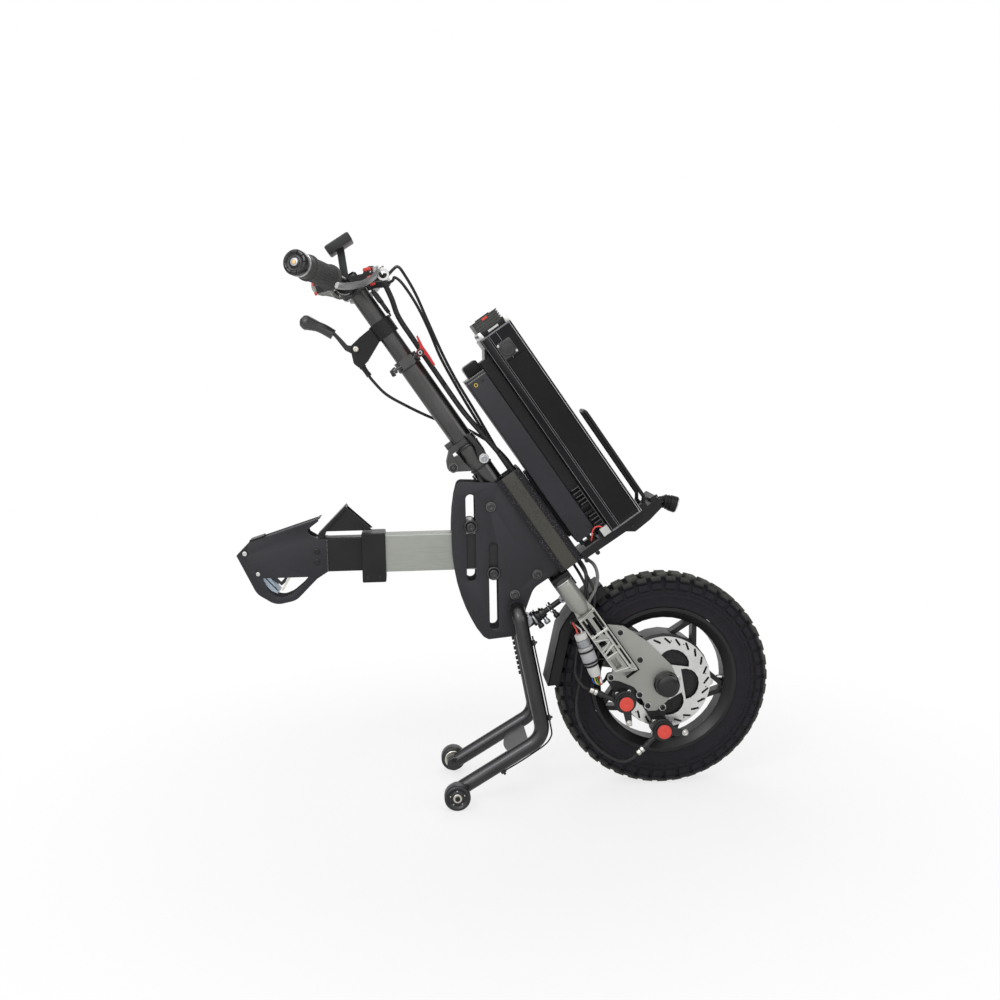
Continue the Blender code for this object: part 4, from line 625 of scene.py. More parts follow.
def knurled(name, colour, roughness, scale=520.0):
    """Grip rubber: a fine pattern of round pips over a slow change of tone."""
    look = Finish(name, roughness, 0.0, 0.35)
    pips = look.cells(scale)
    slow = look.noise(18.0, 3.0, 0.6)
    high = look.ramp(pips, 0.25, 0.5, 1.0, 0.0)
    look.feed("Base Color", look.mix(
        look.ramp(slow * 0.6 + high * 0.4, 0.3, 0.8), tuple(c * 0.72 for c in colour),
        tuple(c * 1.2 for c in colour)))
    look.feed("Roughness", look.ramp(slow, 0.3, 0.7, roughness - 0.08, roughness + 0.08))
    look.feed("Normal", look.bump(high, 0.0002, 0.7))
    return look.material


FINISHES = {}

# each coat's colour, or the panel's name for it, roughness, metal and specular share, and its grain
COATS = {
    "plate": ("plate", 0.5, 0.0, 0.32, dict(grain=1500.0, relief=0.00012, wear=0.1)),
    "satin": ("satin", 0.36, 0.0, 0.26, dict(grain=1100.0, wear=0.08)),
    "stem": ("stem", 0.27, 0.92, 0.5, dict(grain=1600.0, relief=0.00004)),
    "stand": ((0.052, 0.052, 0.054), 0.25, 0.85, 0.5, dict(grain=1600.0, relief=0.00004)),
    "moulded": ((0.009, 0.009, 0.01), 0.44, 0.0, 0.22, dict(grain=700.0, relief=0.00008)),
    "case": ((0.0075, 0.0075, 0.009), 0.24, 0.0, 0.17, dict(grain=500.0, relief=0.00002)),
    "grey": ("grey", 0.42, 0.8, 0.5, dict(drift=0.08, grain=1800.0, relief=0.00005, spread=0.04)),
    "steel": ((0.6, 0.6, 0.59), 0.28, 1.0, 0.5, dict(drift=0.06, grain=900.0, relief=0.00003)),
    "zinc": ((0.62, 0.6, 0.53), 0.3, 1.0, 0.5, dict(drift=0.14, grain=160.0, relief=0.00003)),
    "oxide": ((0.022, 0.022, 0.023), 0.34, 0.55, 0.5, dict(grain=900.0)),
    "cast": ((0.02, 0.02, 0.021), 0.44, 0.35, 0.5, dict(grain=420.0, relief=0.0001, wear=0.15)),
    "alloy_cast": ((0.42, 0.42, 0.42), 0.36, 0.9, 0.5, dict(grain=420.0, relief=0.00006)),
    "rim": ((0.011, 0.011, 0.012), 0.34, 0.0, 0.3, dict(grain=500.0, relief=0.00006, wear=0.08)),
    "red_cap": ("red", 0.42, 0.0, 0.4, dict(drift=0.08, grain=400.0)),
    "red_lever": ((0.58, 0.028, 0.03), 0.32, 0.45, 0.5, dict(drift=0.1, grain=600.0)),
    "cable": ((0.009, 0.009, 0.009), 0.4, 0.0, 0.26, dict(grain=260.0, relief=0.00008)),
    "rubber": ((0.011, 0.011, 0.011), 0.66, 0.0, 0.2, dict(grain=700.0, relief=0.0001)),
    "pale_plastic": ((0.62, 0.62, 0.6), 0.45, 0.0, 0.4, dict(drift=0.06, grain=500.0)),
    "glass": ((0.01, 0.012, 0.014), 0.1, 0.0, 0.5, dict(
        grain=200.0, relief=0.00001, coat=0.6, spread=0.03)),
    "lens": ((0.5, 0.52, 0.54), 0.16, 0.3, 0.5, dict(grain=300.0, relief=0.0002, coat=0.5, spread=0.03)),
    "yellow": ((0.78, 0.55, 0.05), 0.4, 0.0, 0.4, dict(grain=400.0)),
    "blue": ((0.03, 0.12, 0.55), 0.45, 0.0, 0.4, dict(grain=400.0)),
    "green": ((0.04, 0.34, 0.1), 0.45, 0.0, 0.4, dict(grain=400.0)),
    "panel": ((0.005, 0.005, 0.0052), 0.32, 0.0, 0.2, dict(grain=900.0, relief=0.00002, spread=0.03)),
    # Painted highlight: a pale metal for the battery's edge bands and lines, standing for light caught on its
    # edges and groove.
    "case_edge": ((0.2, 0.2, 0.21), 0.3, 0.7, 0.5, dict(grain=700.0, relief=0.00002)),
    "cap_grey": ((0.06, 0.062, 0.058), 0.46, 0.2, 0.4, dict(grain=420.0, relief=0.0001, wear=0.3)),
    "cover_rubber": ((0.034, 0.034, 0.036), 0.52, 0.0, 0.4, dict(grain=600.0)),
    "controller": ((0.022, 0.022, 0.027), 0.42, 0.0, 0.28, dict(grain=1500.0, relief=0.00008)),
    "fin": ((0.075, 0.075, 0.078), 0.34, 0.7, 0.5, dict(grain=900.0)),
    "cap_gloss": ((0.01, 0.01, 0.011), 0.2, 0.0, 0.42, dict(grain=300.0, relief=0.00001, spread=0.03)),
    # Painted reflection: pale lines for the light mirrored in the battery's rounded front edge.
    "bright_line": ((0.62, 0.62, 0.64), 0.3, 0.3, 0.5, dict(drift=0.1, grain=900.0)),
    # Painted highlight: a pale band for the light on the controller's rounded top end.
    "bright_lip": ((0.12, 0.12, 0.115), 0.22, 0.6, 0.5, dict(drift=0.1, grain=900.0)),
    "roller": ((0.03, 0.03, 0.033), 0.36, 0.3, 0.4, dict(grain=700.0)),
    "display": ((0.026, 0.027, 0.028), 0.42, 0.1, 0.4, dict(grain=900.0)),
    "grip_silver": ((0.3, 0.3, 0.27), 0.3, 0.7, 0.5, dict(drift=0.25, grain=700.0)),
    "bolt_black": ((0.06, 0.06, 0.063), 0.24, 0.75, 0.5, dict(grain=900.0)),
    "knob_grey": ((0.045, 0.045, 0.047), 0.26, 0.1, 0.5, dict(grain=500.0)),
    "slider": ((0.02, 0.02, 0.022), 0.42, 0.0, 0.3, dict(grain=800.0)),
    "blue_zinc": ((0.3, 0.36, 0.42), 0.34, 0.8, 0.5, dict(drift=0.25, grain=500.0)),
    "end_black": ((0.01, 0.01, 0.011), 0.24, 0.0, 0.45, dict(grain=700.0)),
    "brass": ((0.6, 0.42, 0.2), 0.3, 0.9, 0.5, dict(grain=800.0)),
    "screen": ((0.006, 0.007, 0.009), 0.1, 0.0, 0.5, dict(grain=200.0, relief=0.000002)),
    "bright_rim": ((0.6, 0.6, 0.57), 0.32, 0.85, 0.5, dict(drift=0.08, grain=900.0)),
    # Painted shade: near-black pads for the shade inside the fork legs' pockets and front gap.
    "pit": ((0.006, 0.006, 0.006), 0.6, 0.0, 0.15, dict(grain=600.0)),
    "plug_grey": ((0.42, 0.42, 0.43), 0.4, 0.1, 0.45, dict(drift=0.06, grain=500.0)),
    "steel_dull": ((0.38, 0.39, 0.41), 0.34, 0.8, 0.5, dict(grain=700.0)),
    "thread": ((0.04, 0.039, 0.036), 0.7, 0.0, 0.3, dict(grain=2500.0)),
}

# the material slot that a finish usually stands for
SLOTS = {
    "tyre_rubber": ("tyre",),
    "plate_black": ("case", "controller", "yellow", "glass", "plate", "bright_lip"),
    "rubber": ("knob_grey", "cover_rubber", "slider", "roller"),
    "battery_black": ("moulded", "cap_grey", "pale_plastic", "screen", "panel", "case_edge"),
    "red": ("red_cap",),
    "wrap_olive": ("thread", "leather", "edging"),
    "steel": ("disc", "steel", "zinc", "bolt_black", "oxide", "blue_zinc", "end_black", "grey_barrel",
        "steel_dull", "lens"),
    "satin_black": ("cap_gloss", "cast", "display", "fin"),
    "rim_black": ("rim",),
    "fork_grey": ("bright_rim", "pit"),
    "cable_black": ("cable",),
    "stem_grey": ("stand",),
    "grip_grey": ("grip", "grip_silver"),
}
SLOT_OF = {look: slot for slot, looks in SLOTS.items() for look in looks}


def mix_finishes(settings):
    """Makes every finish once, with the colours that the panel shows."""
    for name, (colour, roughness, metallic, specular, grain) in COATS.items():
        if isinstance(colour, str):
            colour = tuple(getattr(settings, colour))
        FINISHES[name] = coated(name, colour, roughness, metallic, specular, **grain)
    make = {
        "silver": lambda n: ground(n, tuple(settings.silver), 0.4, "x", 0.85),
        "grey_barrel": lambda n: ground(n, (0.2, 0.215, 0.195), 0.38, "y", 0.75),
        "braided_lead": lambda n: braid(n, (0.075, 0.075, 0.074), (0.01, 0.01, 0.01), 0.0034),
        "edging": woven_edging,
        "cable_braid": lambda n: braid(n, (0.022, 0.022, 0.023), (0.01, 0.01, 0.01), 0.0024),
        "disc": disc_steel,
        "tyre": tyre_rubber,
        "leather": grained_leather,
        "sleeve": lambda n: braid(n, (0.03, 0.03, 0.031), (0.006, 0.006, 0.006), 0.004),
        "braided_steel": lambda n: braid(n, (0.36, 0.36, 0.35), (0.06, 0.06, 0.06), 0.003),
        "grip": lambda n: knurled(n, (0.072, 0.07, 0.068), 0.58),
    }
    for name, maker in make.items():
        FINISHES[name] = maker(name)


NODE_FINISHES = {
    "plate": ("side_plate_near", "side_plate_far", "hook_shell"),
    "satin": ("head_tube", "inner_tube", "guide_wedge", "fork_crown", "handlebar",
              "hand_mount", "arm_collar", "tray"),
    "oxide": ("plate_bolt_upper", "plate_bolt_front", "plate_bolt_lower", "slot_bolt_upper",
              "slot_bolt_lower", "axle", "fold_latch"),
    "cast": ("caliper_upper", "caliper_lower", "caliper_arm_upper", "caliper_arm_lower", "damper"),
    "moulded": ("headlamp", "display", "hand_lever", "dock_rail", "mudguard"),
    "stem": ("stem_base", "stem_tube", "mast"),
    "stand": ("stand_frame",),
    "silver": ("arm_tube",),
    "grey": ("fork_leg_near", "fork_leg_far", "dropout_near", "dropout_far"),
    "steel": ("headset_upper", "headset_lower", "wheel_bearing_near", "wheel_bearing_far"),
    "alloy_cast": ("brake_lever_near", "brake_lever_far"),
    "zinc": ("latch",),
    "red_lever": ("qr_lever",),
    "grip": ("throttle", "grip_far"),
    "rim": ("rim",),
    "rubber": ("roller_near", "roller_far"),
}


class UnitColours(bpy.types.PropertyGroup):
    """Colours of the main finishes."""

    plate: bpy.props.FloatVectorProperty(
        name="Plates", description="Powder coat of the side plates and the dock", subtype="COLOR",
        size=3, min=0, max=1, default=(0.021, 0.021, 0.026))
    satin: bpy.props.FloatVectorProperty(
        name="Satin parts", description="Black of the tubes and brackets", subtype="COLOR",
        size=3, min=0, max=1, default=(0.011, 0.011, 0.012))
    stem: bpy.props.FloatVectorProperty(
        name="Stem and stand", description="Dark anodised grey", subtype="COLOR",
        size=3, min=0, max=1, default=(0.082, 0.08, 0.079))
    silver: bpy.props.FloatVectorProperty(
        name="Dock arm", description="Bare anodised arm tube", subtype="COLOR",
        size=3, min=0, max=1, default=(0.33, 0.34, 0.31))
    grey: bpy.props.FloatVectorProperty(
        name="Fork", description="Blasted grey of the fork legs and dropouts", subtype="COLOR",
        size=3, min=0, max=1, default=(0.35, 0.35, 0.325))
    red: bpy.props.FloatVectorProperty(
        name="Brake caps", description="Red of the caps on the calipers", subtype="COLOR",
        size=3, min=0, max=1, default=(0.78, 0.075, 0.055))


class UnitSizes(bpy.types.PropertyGroup):
    """Sizes that a user would change without touching the frame."""

    edge: bpy.props.FloatProperty(
        name="Edge rounding", description="Width of the rounding on machined edges",
        unit="LENGTH", min=0.0001, max=0.002, default=0.0005)
    knobs: bpy.props.IntProperty(
        name="Tread blocks", description="Blocks in one row of the tread", min=20, max=60, default=44)
    knob_height: bpy.props.FloatProperty(
        name="Tread depth", description="Height of the blocks over the carcass",
        unit="LENGTH", min=0.002, max=0.008, default=0.0068)
    lamp: bpy.props.FloatProperty(
        name="Key light", description="Power of the main lamp", unit="POWER", min=1, max=200, default=26)
    paper: bpy.props.FloatProperty(
        name="White floor", description="How much the paper lightens its shadow", min=0, max=1, default=0.74)
    glow: bpy.props.FloatVectorProperty(
        name="Sky in the metal", description="Where the mirrored sky brightens, and from what to what",
        size=4, default=(0.3, 0.98, 0.28, 2.1))
    lens: bpy.props.FloatProperty(
        name="Lens", description="Focal length of the camera in millimetres", min=20, max=120,
        default=40.39)


def colours():
    return bpy.context.scene.unit_colours


def sizes():
    return bpy.context.scene.unit_sizes


# Operators

class UNIT_OT_stage(bpy.types.Operator):
    """Lays the floor, hangs the backdrop and sets the lamps and the camera"""

    bl_idname = "unit.stage"
    bl_label = "Stage and Camera"

    def execute(self, context):
        self.floor()
        self.sky(context.scene)
        self.lamp("key", (-1.5, -2.4, 2.6), 1.5, sizes().lamp)
        self.lamp("fill", (2.3, -1.9, 1.5), 1.6, sizes().lamp * 0.42)
        self.lamp("back", (0.4, 2.2, 2.4), 1.6, sizes().lamp * 0.55)
        self.camera(context.scene)
        return {"FINISHED"}

    def floor(self):
        alone()
        bpy.ops.mesh.primitive_plane_add(size=9, location=(0, -0.6, 0))
        floor = settled("floor")
        bpy.ops.object.mode_set(mode="EDIT")
        bpy.ops.mesh.select_all(action="DESELECT")
        mesh = bmesh.from_edit_mesh(floor.data)
        for edge in mesh.edges:
            edge.select_set(all(v.co.y > 3 for v in edge.verts))
        bmesh.update_edit_mesh(floor.data)
        bpy.ops.mesh.extrude_region_move(TRANSFORM_OT_translate={"value": (0, 1.2, 1.2)})
        bpy.ops.mesh.extrude_region_move(TRANSFORM_OT_translate={"value": (0, 0.3, 4)})
        bpy.ops.object.mode_set(mode="OBJECT")
        modified(floor, "BEVEL", width=0.8, segments=10, limit_method="ANGLE", angle_limit=math.radians(20))
        alone(floor)
        bpy.ops.object.shade_smooth()
        floor.data.materials.append(self.paper())

    def paper(self):
        """White paper: it takes the shadow near the unit and is plain white further off."""
        look = Finish("paper", 0.9, 0.0, 0.1)
        look.feed("Base Color", (0.94, 0.94, 0.94, 1))
        part = look.add("ShaderNodeSeparateXYZ", None, {0: look.place})
        x, y, z = (Value(look, part.outputs[k]) for k in range(3))
        far = ((x - 0.05) * (x - 0.05) + y * y + z * z).call("SQRT")
        path = look.add("ShaderNodeLightPath")
        direct, through, mirrored = (
            Value(look, path.outputs[f"Is {kind} Ray"]) for kind in ("Camera", "Transmission", "Glossy"))
        seen = direct.call("MAXIMUM", through).call("MAXIMUM", mirrored * 0.4)
        white = look.add("ShaderNodeEmission", None, {"Strength": 1.0})
        share = seen * look.ramp(far, 0.35, 1.05, sizes().paper, 1.0)
        blend = look.add("ShaderNodeMixShader", None, {
            0: share, 1: look.shader.outputs[0], 2: white.outputs[0]})
        look.join(look.tree.nodes["Material Output"].inputs["Surface"], blend.outputs[0])
        return look.material

    def sky(self, scene):
        world = bpy.data.worlds.new("studio")
        scene.world = world
        world.use_nodes = True
        nodes, links = world.node_tree.nodes, world.node_tree.links
        shown = nodes["Background"]
        shown.inputs["Color"].default_value = (1, 1, 1, 1)
        shown.inputs["Strength"].default_value = 1
        place = nodes.new("ShaderNodeTexCoord")
        facing = nodes.new("ShaderNodeVectorMath")
        facing.operation = "DOT_PRODUCT"
        facing.inputs[1].default_value = Vector((-0.3, -0.62, 0.72)).normalized()
        links.new(place.outputs["Generated"], facing.inputs[0])
        glow = nodes.new("ShaderNodeMapRange")
        glow.interpolation_type = "SMOOTHSTEP"
        for socket, value in zip((1, 2, 3, 4), sizes().glow):
            glow.inputs[socket].default_value = value
        links.new(facing.outputs["Value"], glow.inputs[0])
        mirrored_sky = nodes.new("ShaderNodeBackground")
        mirrored_sky.inputs["Color"].default_value = (1, 1, 1, 1)
        links.new(glow.outputs[0], mirrored_sky.inputs["Strength"])
        lit = nodes.new("ShaderNodeBackground")
        lit.inputs["Color"].default_value = (1, 1, 1, 1)
        lit.inputs["Strength"].default_value = 0.62
        path = nodes.new("ShaderNodeLightPath")
        either = nodes.new("ShaderNodeMath")
        either.operation = "MAXIMUM"
        links.new(path.outputs["Is Camera Ray"], either.inputs[0])
        links.new(path.outputs["Is Transmission Ray"], either.inputs[1])
        soft = nodes.new("ShaderNodeMixShader")
        links.new(path.outputs["Is Glossy Ray"], soft.inputs[0])
        links.new(lit.outputs[0], soft.inputs[1])
        links.new(mirrored_sky.outputs[0], soft.inputs[2])
        mix = nodes.new("ShaderNodeMixShader")
        links.new(either.outputs[0], mix.inputs[0])
        links.new(soft.outputs[0], mix.inputs[1])
        links.new(shown.outputs[0], mix.inputs[2])
        links.new(mix.outputs[0], nodes["World Output"].inputs["Surface"])

    def lamp(self, name, place, size, power):
        alone()
        bpy.ops.object.light_add(type="AREA", location=place)
        lamp = bpy.context.object
        lamp.name = name
        lamp.data.shape = "DISK"
        lamp.data.size = size
        lamp.data.energy = power
        aim = Vector((0, 0, 0.45)) - Vector(place)
        lamp.rotation_euler = aim.to_track_quat("-Z", "Y").to_euler()

    def camera(self, scene):
        alone()
        bpy.ops.object.camera_add(location=(-0.1539, -1.9025, 0.7369))
        camera = bpy.context.object
        right = Vector((0.99683, -0.077651, -0.017305))
        up = Vector((0.026376, 0.117359, 0.992739))
        back = right.cross(up).normalized()
        turn = Matrix((right, up, back)).transposed()
        camera.rotation_euler = turn.to_euler()
        camera.data.lens = sizes().lens
        camera.data.sensor_width = 36
        scene.camera = camera
        scene.view_settings.view_transform = "Standard"


class UNIT_OT_finishes(bpy.types.Operator):
    """Makes the finishes and gives each CAD part its own, with rounded edges"""

    bl_idname = "unit.finishes"
    bl_label = "Finishes"

    def execute(self, context):
        mix_finishes(colours())
        for name, nodes in NODE_FINISHES.items():
            for node in nodes:
                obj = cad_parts[node]
                obj.data.materials.clear()
                obj.data.materials.append(FINISHES[name])
                self.edges(obj)
        return {"FINISHED"}

    def edges(self, obj):
        """Welds the loose triangles and rounds the hard edges, leaving the mesh itself alone."""
        alone(obj)
        bpy.ops.mesh.customdata_custom_splitnormals_clear()
        bpy.ops.object.shade_smooth()
        weld = obj.modifiers.new("weld", "WELD")
        weld.merge_threshold = 0.00001
        flat = obj.modifiers.new("flat", "DECIMATE")
        flat.decimate_type = "DISSOLVE"
        flat.angle_limit = math.radians(1)
        edge = obj.modifiers.new("edge", "BEVEL")
        edge.width = sizes().edge
        edge.segments = 2
        edge.limit_method = "ANGLE"
        edge.angle_limit = math.radians(34)
        shade = obj.modifiers.new("shade", "WEIGHTED_NORMAL")
        shade.keep_sharp = True


class UNIT_OT_tyre(bpy.types.Operator):
    """Moulds the tyre: a carcass with ringed side walls and rows of tread blocks"""

    bl_idname = "unit.tyre"
    bl_label = "Tyre"

    radius = 0.188

    def execute(self, context):
        lift = sizes().knob_height
        low = self.radius - lift
        half = [
            (0.0262, 0.1296), (0.0272, 0.1325), (0.0268, 0.134), (0.0281, 0.14), (0.0289, 0.1475),
            (0.0296, 0.1483), (0.0296, 0.15), (0.0289, 0.1509), (0.0288, 0.157), (0.0279, 0.164),
            (0.0262, 0.1695), (0.0228, 0.1745), (0.017, low - 0.0046), (0.01, low - 0.0024),
            (0, low - 0.0018)]
        inside = [(-0.0225, 0.1296), (-0.0215, 0.142), (0, 0.17), (0.0215, 0.142), (0.0225, 0.1296)]
        profile = [(-y, r) for y, r in half] + list(reversed(half[:-1])) + list(reversed(inside))
        tyre = turned("tyre_carcass", profile, WHEEL, ACROSS, 132, ring=True)
        softened(tyre, 0, smooth=40)
        rows = [self.blocks("tread_middle", 0.0, low - 0.0022, 0, 0.0086, 0.0196, lift + 0.002, 0)]
        for side, name in SIDES:
            rows += [
                self.blocks(f"tread_{name}", side * 0.0108, low - 0.0026, -side * 5,
                    0.011, 0.0206, lift + 0.002, 0),
                self.blocks(f"shoulder_{name}", side * 0.02, 0.1735, -side * 38,
                    0.0112, 0.0196, 0.009, 0.5),
                self.blocks(f"side_lug_{name}", side * 0.0262, 0.1664, -side * 70,
                    0.012, 0.02, 0.0044, 0.5),
                self.blocks(f"side_rib_{name}", side * 0.0281, 0.157, -side * 82,
                    0.0064, 0.0206, 0.0018, 0.5),
            ]
        worn(joined("tyre_tread", [tyre] + rows), "tyre", "wheel", "tyre")
        return {"FINISHED"}

    def blocks(self, name, y, r, lean, wide, long, high, phase):
        """One row of blocks, turned by the lean of the tread under it."""
        count = sizes().knobs
        slope = math.radians(lean)
        out = Vector((math.cos(slope), math.sin(-slope), 0))
        side = Vector((math.sin(slope), math.cos(slope), 0))
        foot = WHEEL + Vector((r, y, 0))

        def on_tread(a, b, c):
            return foot + UP * a + side * b + out * c
        block = brick(name, (-long / 2, -wide / 2, -0.0025), (long / 2, wide / 2, high), on_tread)
        tapered(block, out, 0.84)
        softened(block, 0.0006, 1, smooth=20)
        if phase:
            start = Matrix.Rotation(2 * math.pi * phase / count, 4, "Y")
            block.data.transform(Matrix.Translation(WHEEL) @ start @ Matrix.Translation(-WHEEL))
        return repeated(block, count, 2 * math.pi, WHEEL, ACROSS)


class UNIT_OT_battery(bpy.types.Operator):
    """Builds the battery case with its panel, port and grooves, and the ribbed end cap"""

    bl_idname = "unit.battery"
    bl_label = "Battery"

    top, end, low, high, half = -0.204, 0.186, 0.1165, 0.178, 0.05

    def execute(self, context):
        self.case()
        self.port()
        self.cap()
        return {"FINISHED"}

    def case(self):
        low, high, half = self.low, self.high, self.half
        side = [(low, -half + 0.004, 0.003), (low + 0.0025, -half, 0.002), (0.1302, -half, 0),
                (0.1308, -half + 0.0014, 0), (0.133, -half + 0.0014, 0), (0.1336, -half, 0),
                (high - 0.004, -half, 0.001), (high - 0.0036, -half + 0.001, 0),
                (high - 0.0026, -half + 0.001, 0), (high, -half + 0.0046, 0.0035)]
        ring = list(side)
        for y in (-0.026, 0.0, 0.026):
            ring += [(high, y - 0.0012, 0), (high - 0.001, y - 0.0008, 0), (high - 0.001, y + 0.0008, 0),
                     (high, y + 0.0012, 0)]
        ring += [(n, -y, r) for n, y, r in reversed(side)]
        case = slab("battery_body", rounded(ring, 4), self.top, self.end, endwise)
        for way in (-1, 1):
            panel = brick(
                "cut_panel", (-0.15, 0.135, way * half - 0.0006), (0.176, 0.1722, way * half + 0.01), tilt)
            cut(case, panel)
        softened(case, 0.0003, 1, smooth=40)
        worn(case, "case", "battery", "battery_case", slot="battery_black")
        for way, name in SIDES:
            face = brick(f"battery_panel_{name}", (-0.1496, 0.1354, way * (half - 0.001)),
                         (0.1756, 0.1718, way * (half - 0.0003)), tilt)
            fitted(face, "panel", "battery", edge=0.0002)
        # The bands at the case's top and foot are a painted highlight: pale strips for the light on its end
        # edges.
        for t, name in ((self.top + 0.0016, "top"), (self.end - 0.002, "foot")):
            band = slab(f"battery_edge_{name}", rounded([(n, y * 1.008, r) for n, y, r in ring], 4),
                        t - 0.0014, t + 0.0014, endwise)
            fitted(band, "case_edge", "battery", edge=0.0003)

    def port(self):
        face = -self.half
        t, n = PORT
        flange = slab(
            "port_flange", oblong(t - 0.0145, n - 0.0135, t + 0.0145, n + 0.0135, 0.003), face - 0.0014,
            face + 0.001, tilt)
        fitted(flange, "knob_grey", "battery", edge=0.0004, segments=2)
        lid = turned("port_cover", [
            (0, 0), (0, 0.0122), (0.0022, 0.0124), (0.003, 0.0116), (0.0034, 0.0106), (0.003, 0.0098),
            (0.0036, 0.008), (0.004, 0)], tilt(t, n, face - 0.001), -ACROSS, 48)
        fitted(lid, "cover_rubber", "battery", edge=0.0002)
        for k, (dt, dn) in enumerate(((-0.0112, -0.0108), (0.0112, 0.0108))):
            head = screw(f"port_screw_{k}", tilt(t + dt, n + dn, face - 0.0013), -ACROSS, 0.0022, 0.0012)
            fitted(head, "steel", "battery")
        # Pale lines beside the port, in the painted highlight finish.
        for k, (a, b) in enumerate(((-0.2, -0.1836), (-0.1534, -0.15))):
            line = brick(
                f"port_line_{k}", (a, n - 0.0004, face - 0.0003), (b, n + 0.0004, face + 0.001), tilt)
            worn(line, "case_edge", "battery")
        # Pale lines along the near face: the first two are a painted reflection of the rounded front edge,
        # the rest a painted highlight on the groove and the lower edge.
        for k, (n0, y) in enumerate((
                (0.17755, face + 0.0006), (0.1742, face - 0.0002), (0.13345, face - 0.0002),
                (0.13035, face - 0.0002), (0.1186, face + 0.0004))):
            line = brick(
                f"edge_line_{k}", (self.top + 0.001, n0 - 0.00034, y),
                (self.end - 0.001, n0 + 0.00034, y + 0.0012), tilt)
            worn(line, "bright_line" if k < 2 else "case_edge", "battery", slot="battery_black")

    def cap(self):
        top, half = self.top - 0.0003, self.half - 0.001
        base = slab("battery_cap_base", rounded([
            (0.1185, -half, 0.003), (0.1765, -half, 0.004), (0.1765, half, 0.004), (0.1185, half, 0.003)]),
            top, top - 0.0085, endwise)
        fitted(base, "moulded", "battery", "battery_cap", edge=0.0006, segments=2)
        crown = slab(
            "battery_cap_crown", oblong(0.1215, -half + 0.004, 0.17, half - 0.004, 0.006), top - 0.008,
            top - 0.0285, endwise)
        for k in range(4):
            t = top - 0.0118 - 0.0042 * k
            groove = [brick("cut_rib", (t, 0.11, -half - 0.01), (t - 0.0018, 0.19, -half + 0.0062), tilt),
                      brick("cut_rib", (t, 0.11, half - 0.0062), (t - 0.0018, 0.19, half + 0.01), tilt),
                      brick("cut_rib", (t, 0.1675, -half), (t - 0.0018, 0.19, half), tilt)]
            cut(crown, *groove)
        fitted(crown, "cap_grey", "battery", edge=0.0006)
        for name, (n0, n1) in (("low", (0.118, 0.1265)), ("high", (0.169, 0.1775))):
            clip = slab(f"cap_clip_{name}", rounded([
                (top + 0.001, n0, 0.001), (top + 0.001, n1, 0.001), (top - 0.011, n1 - 0.0012, 0.002),
                (top - 0.011, n0 + 0.0012, 0.002)]), -half - 0.0006, half + 0.0006, tilt)
            fitted(clip, "steel", "battery", edge=0.0006, segments=2)
        bar = brick(
            "cap_window", (top - 0.0025, 0.137, -half - 0.0008), (top - 0.0062, 0.157, -half + 0.002), tilt)
        fitted(bar, "pale_plastic", "battery", edge=0.0004)
        lock = slab("cap_latch", oblong(0.133, -0.03, 0.157, 0.03, 0.003),
            top - 0.028, top - 0.0302, endwise)
        fitted(lock, "moulded", "battery", edge=0.0006, segments=2)
        mark = brick(
            "cap_mark", (top - 0.0235, 0.1395, -half + 0.0032), (top - 0.0272, 0.1495, -half + 0.006), tilt)
        fitted(mark, "red_cap", "battery", edge=0.0004)


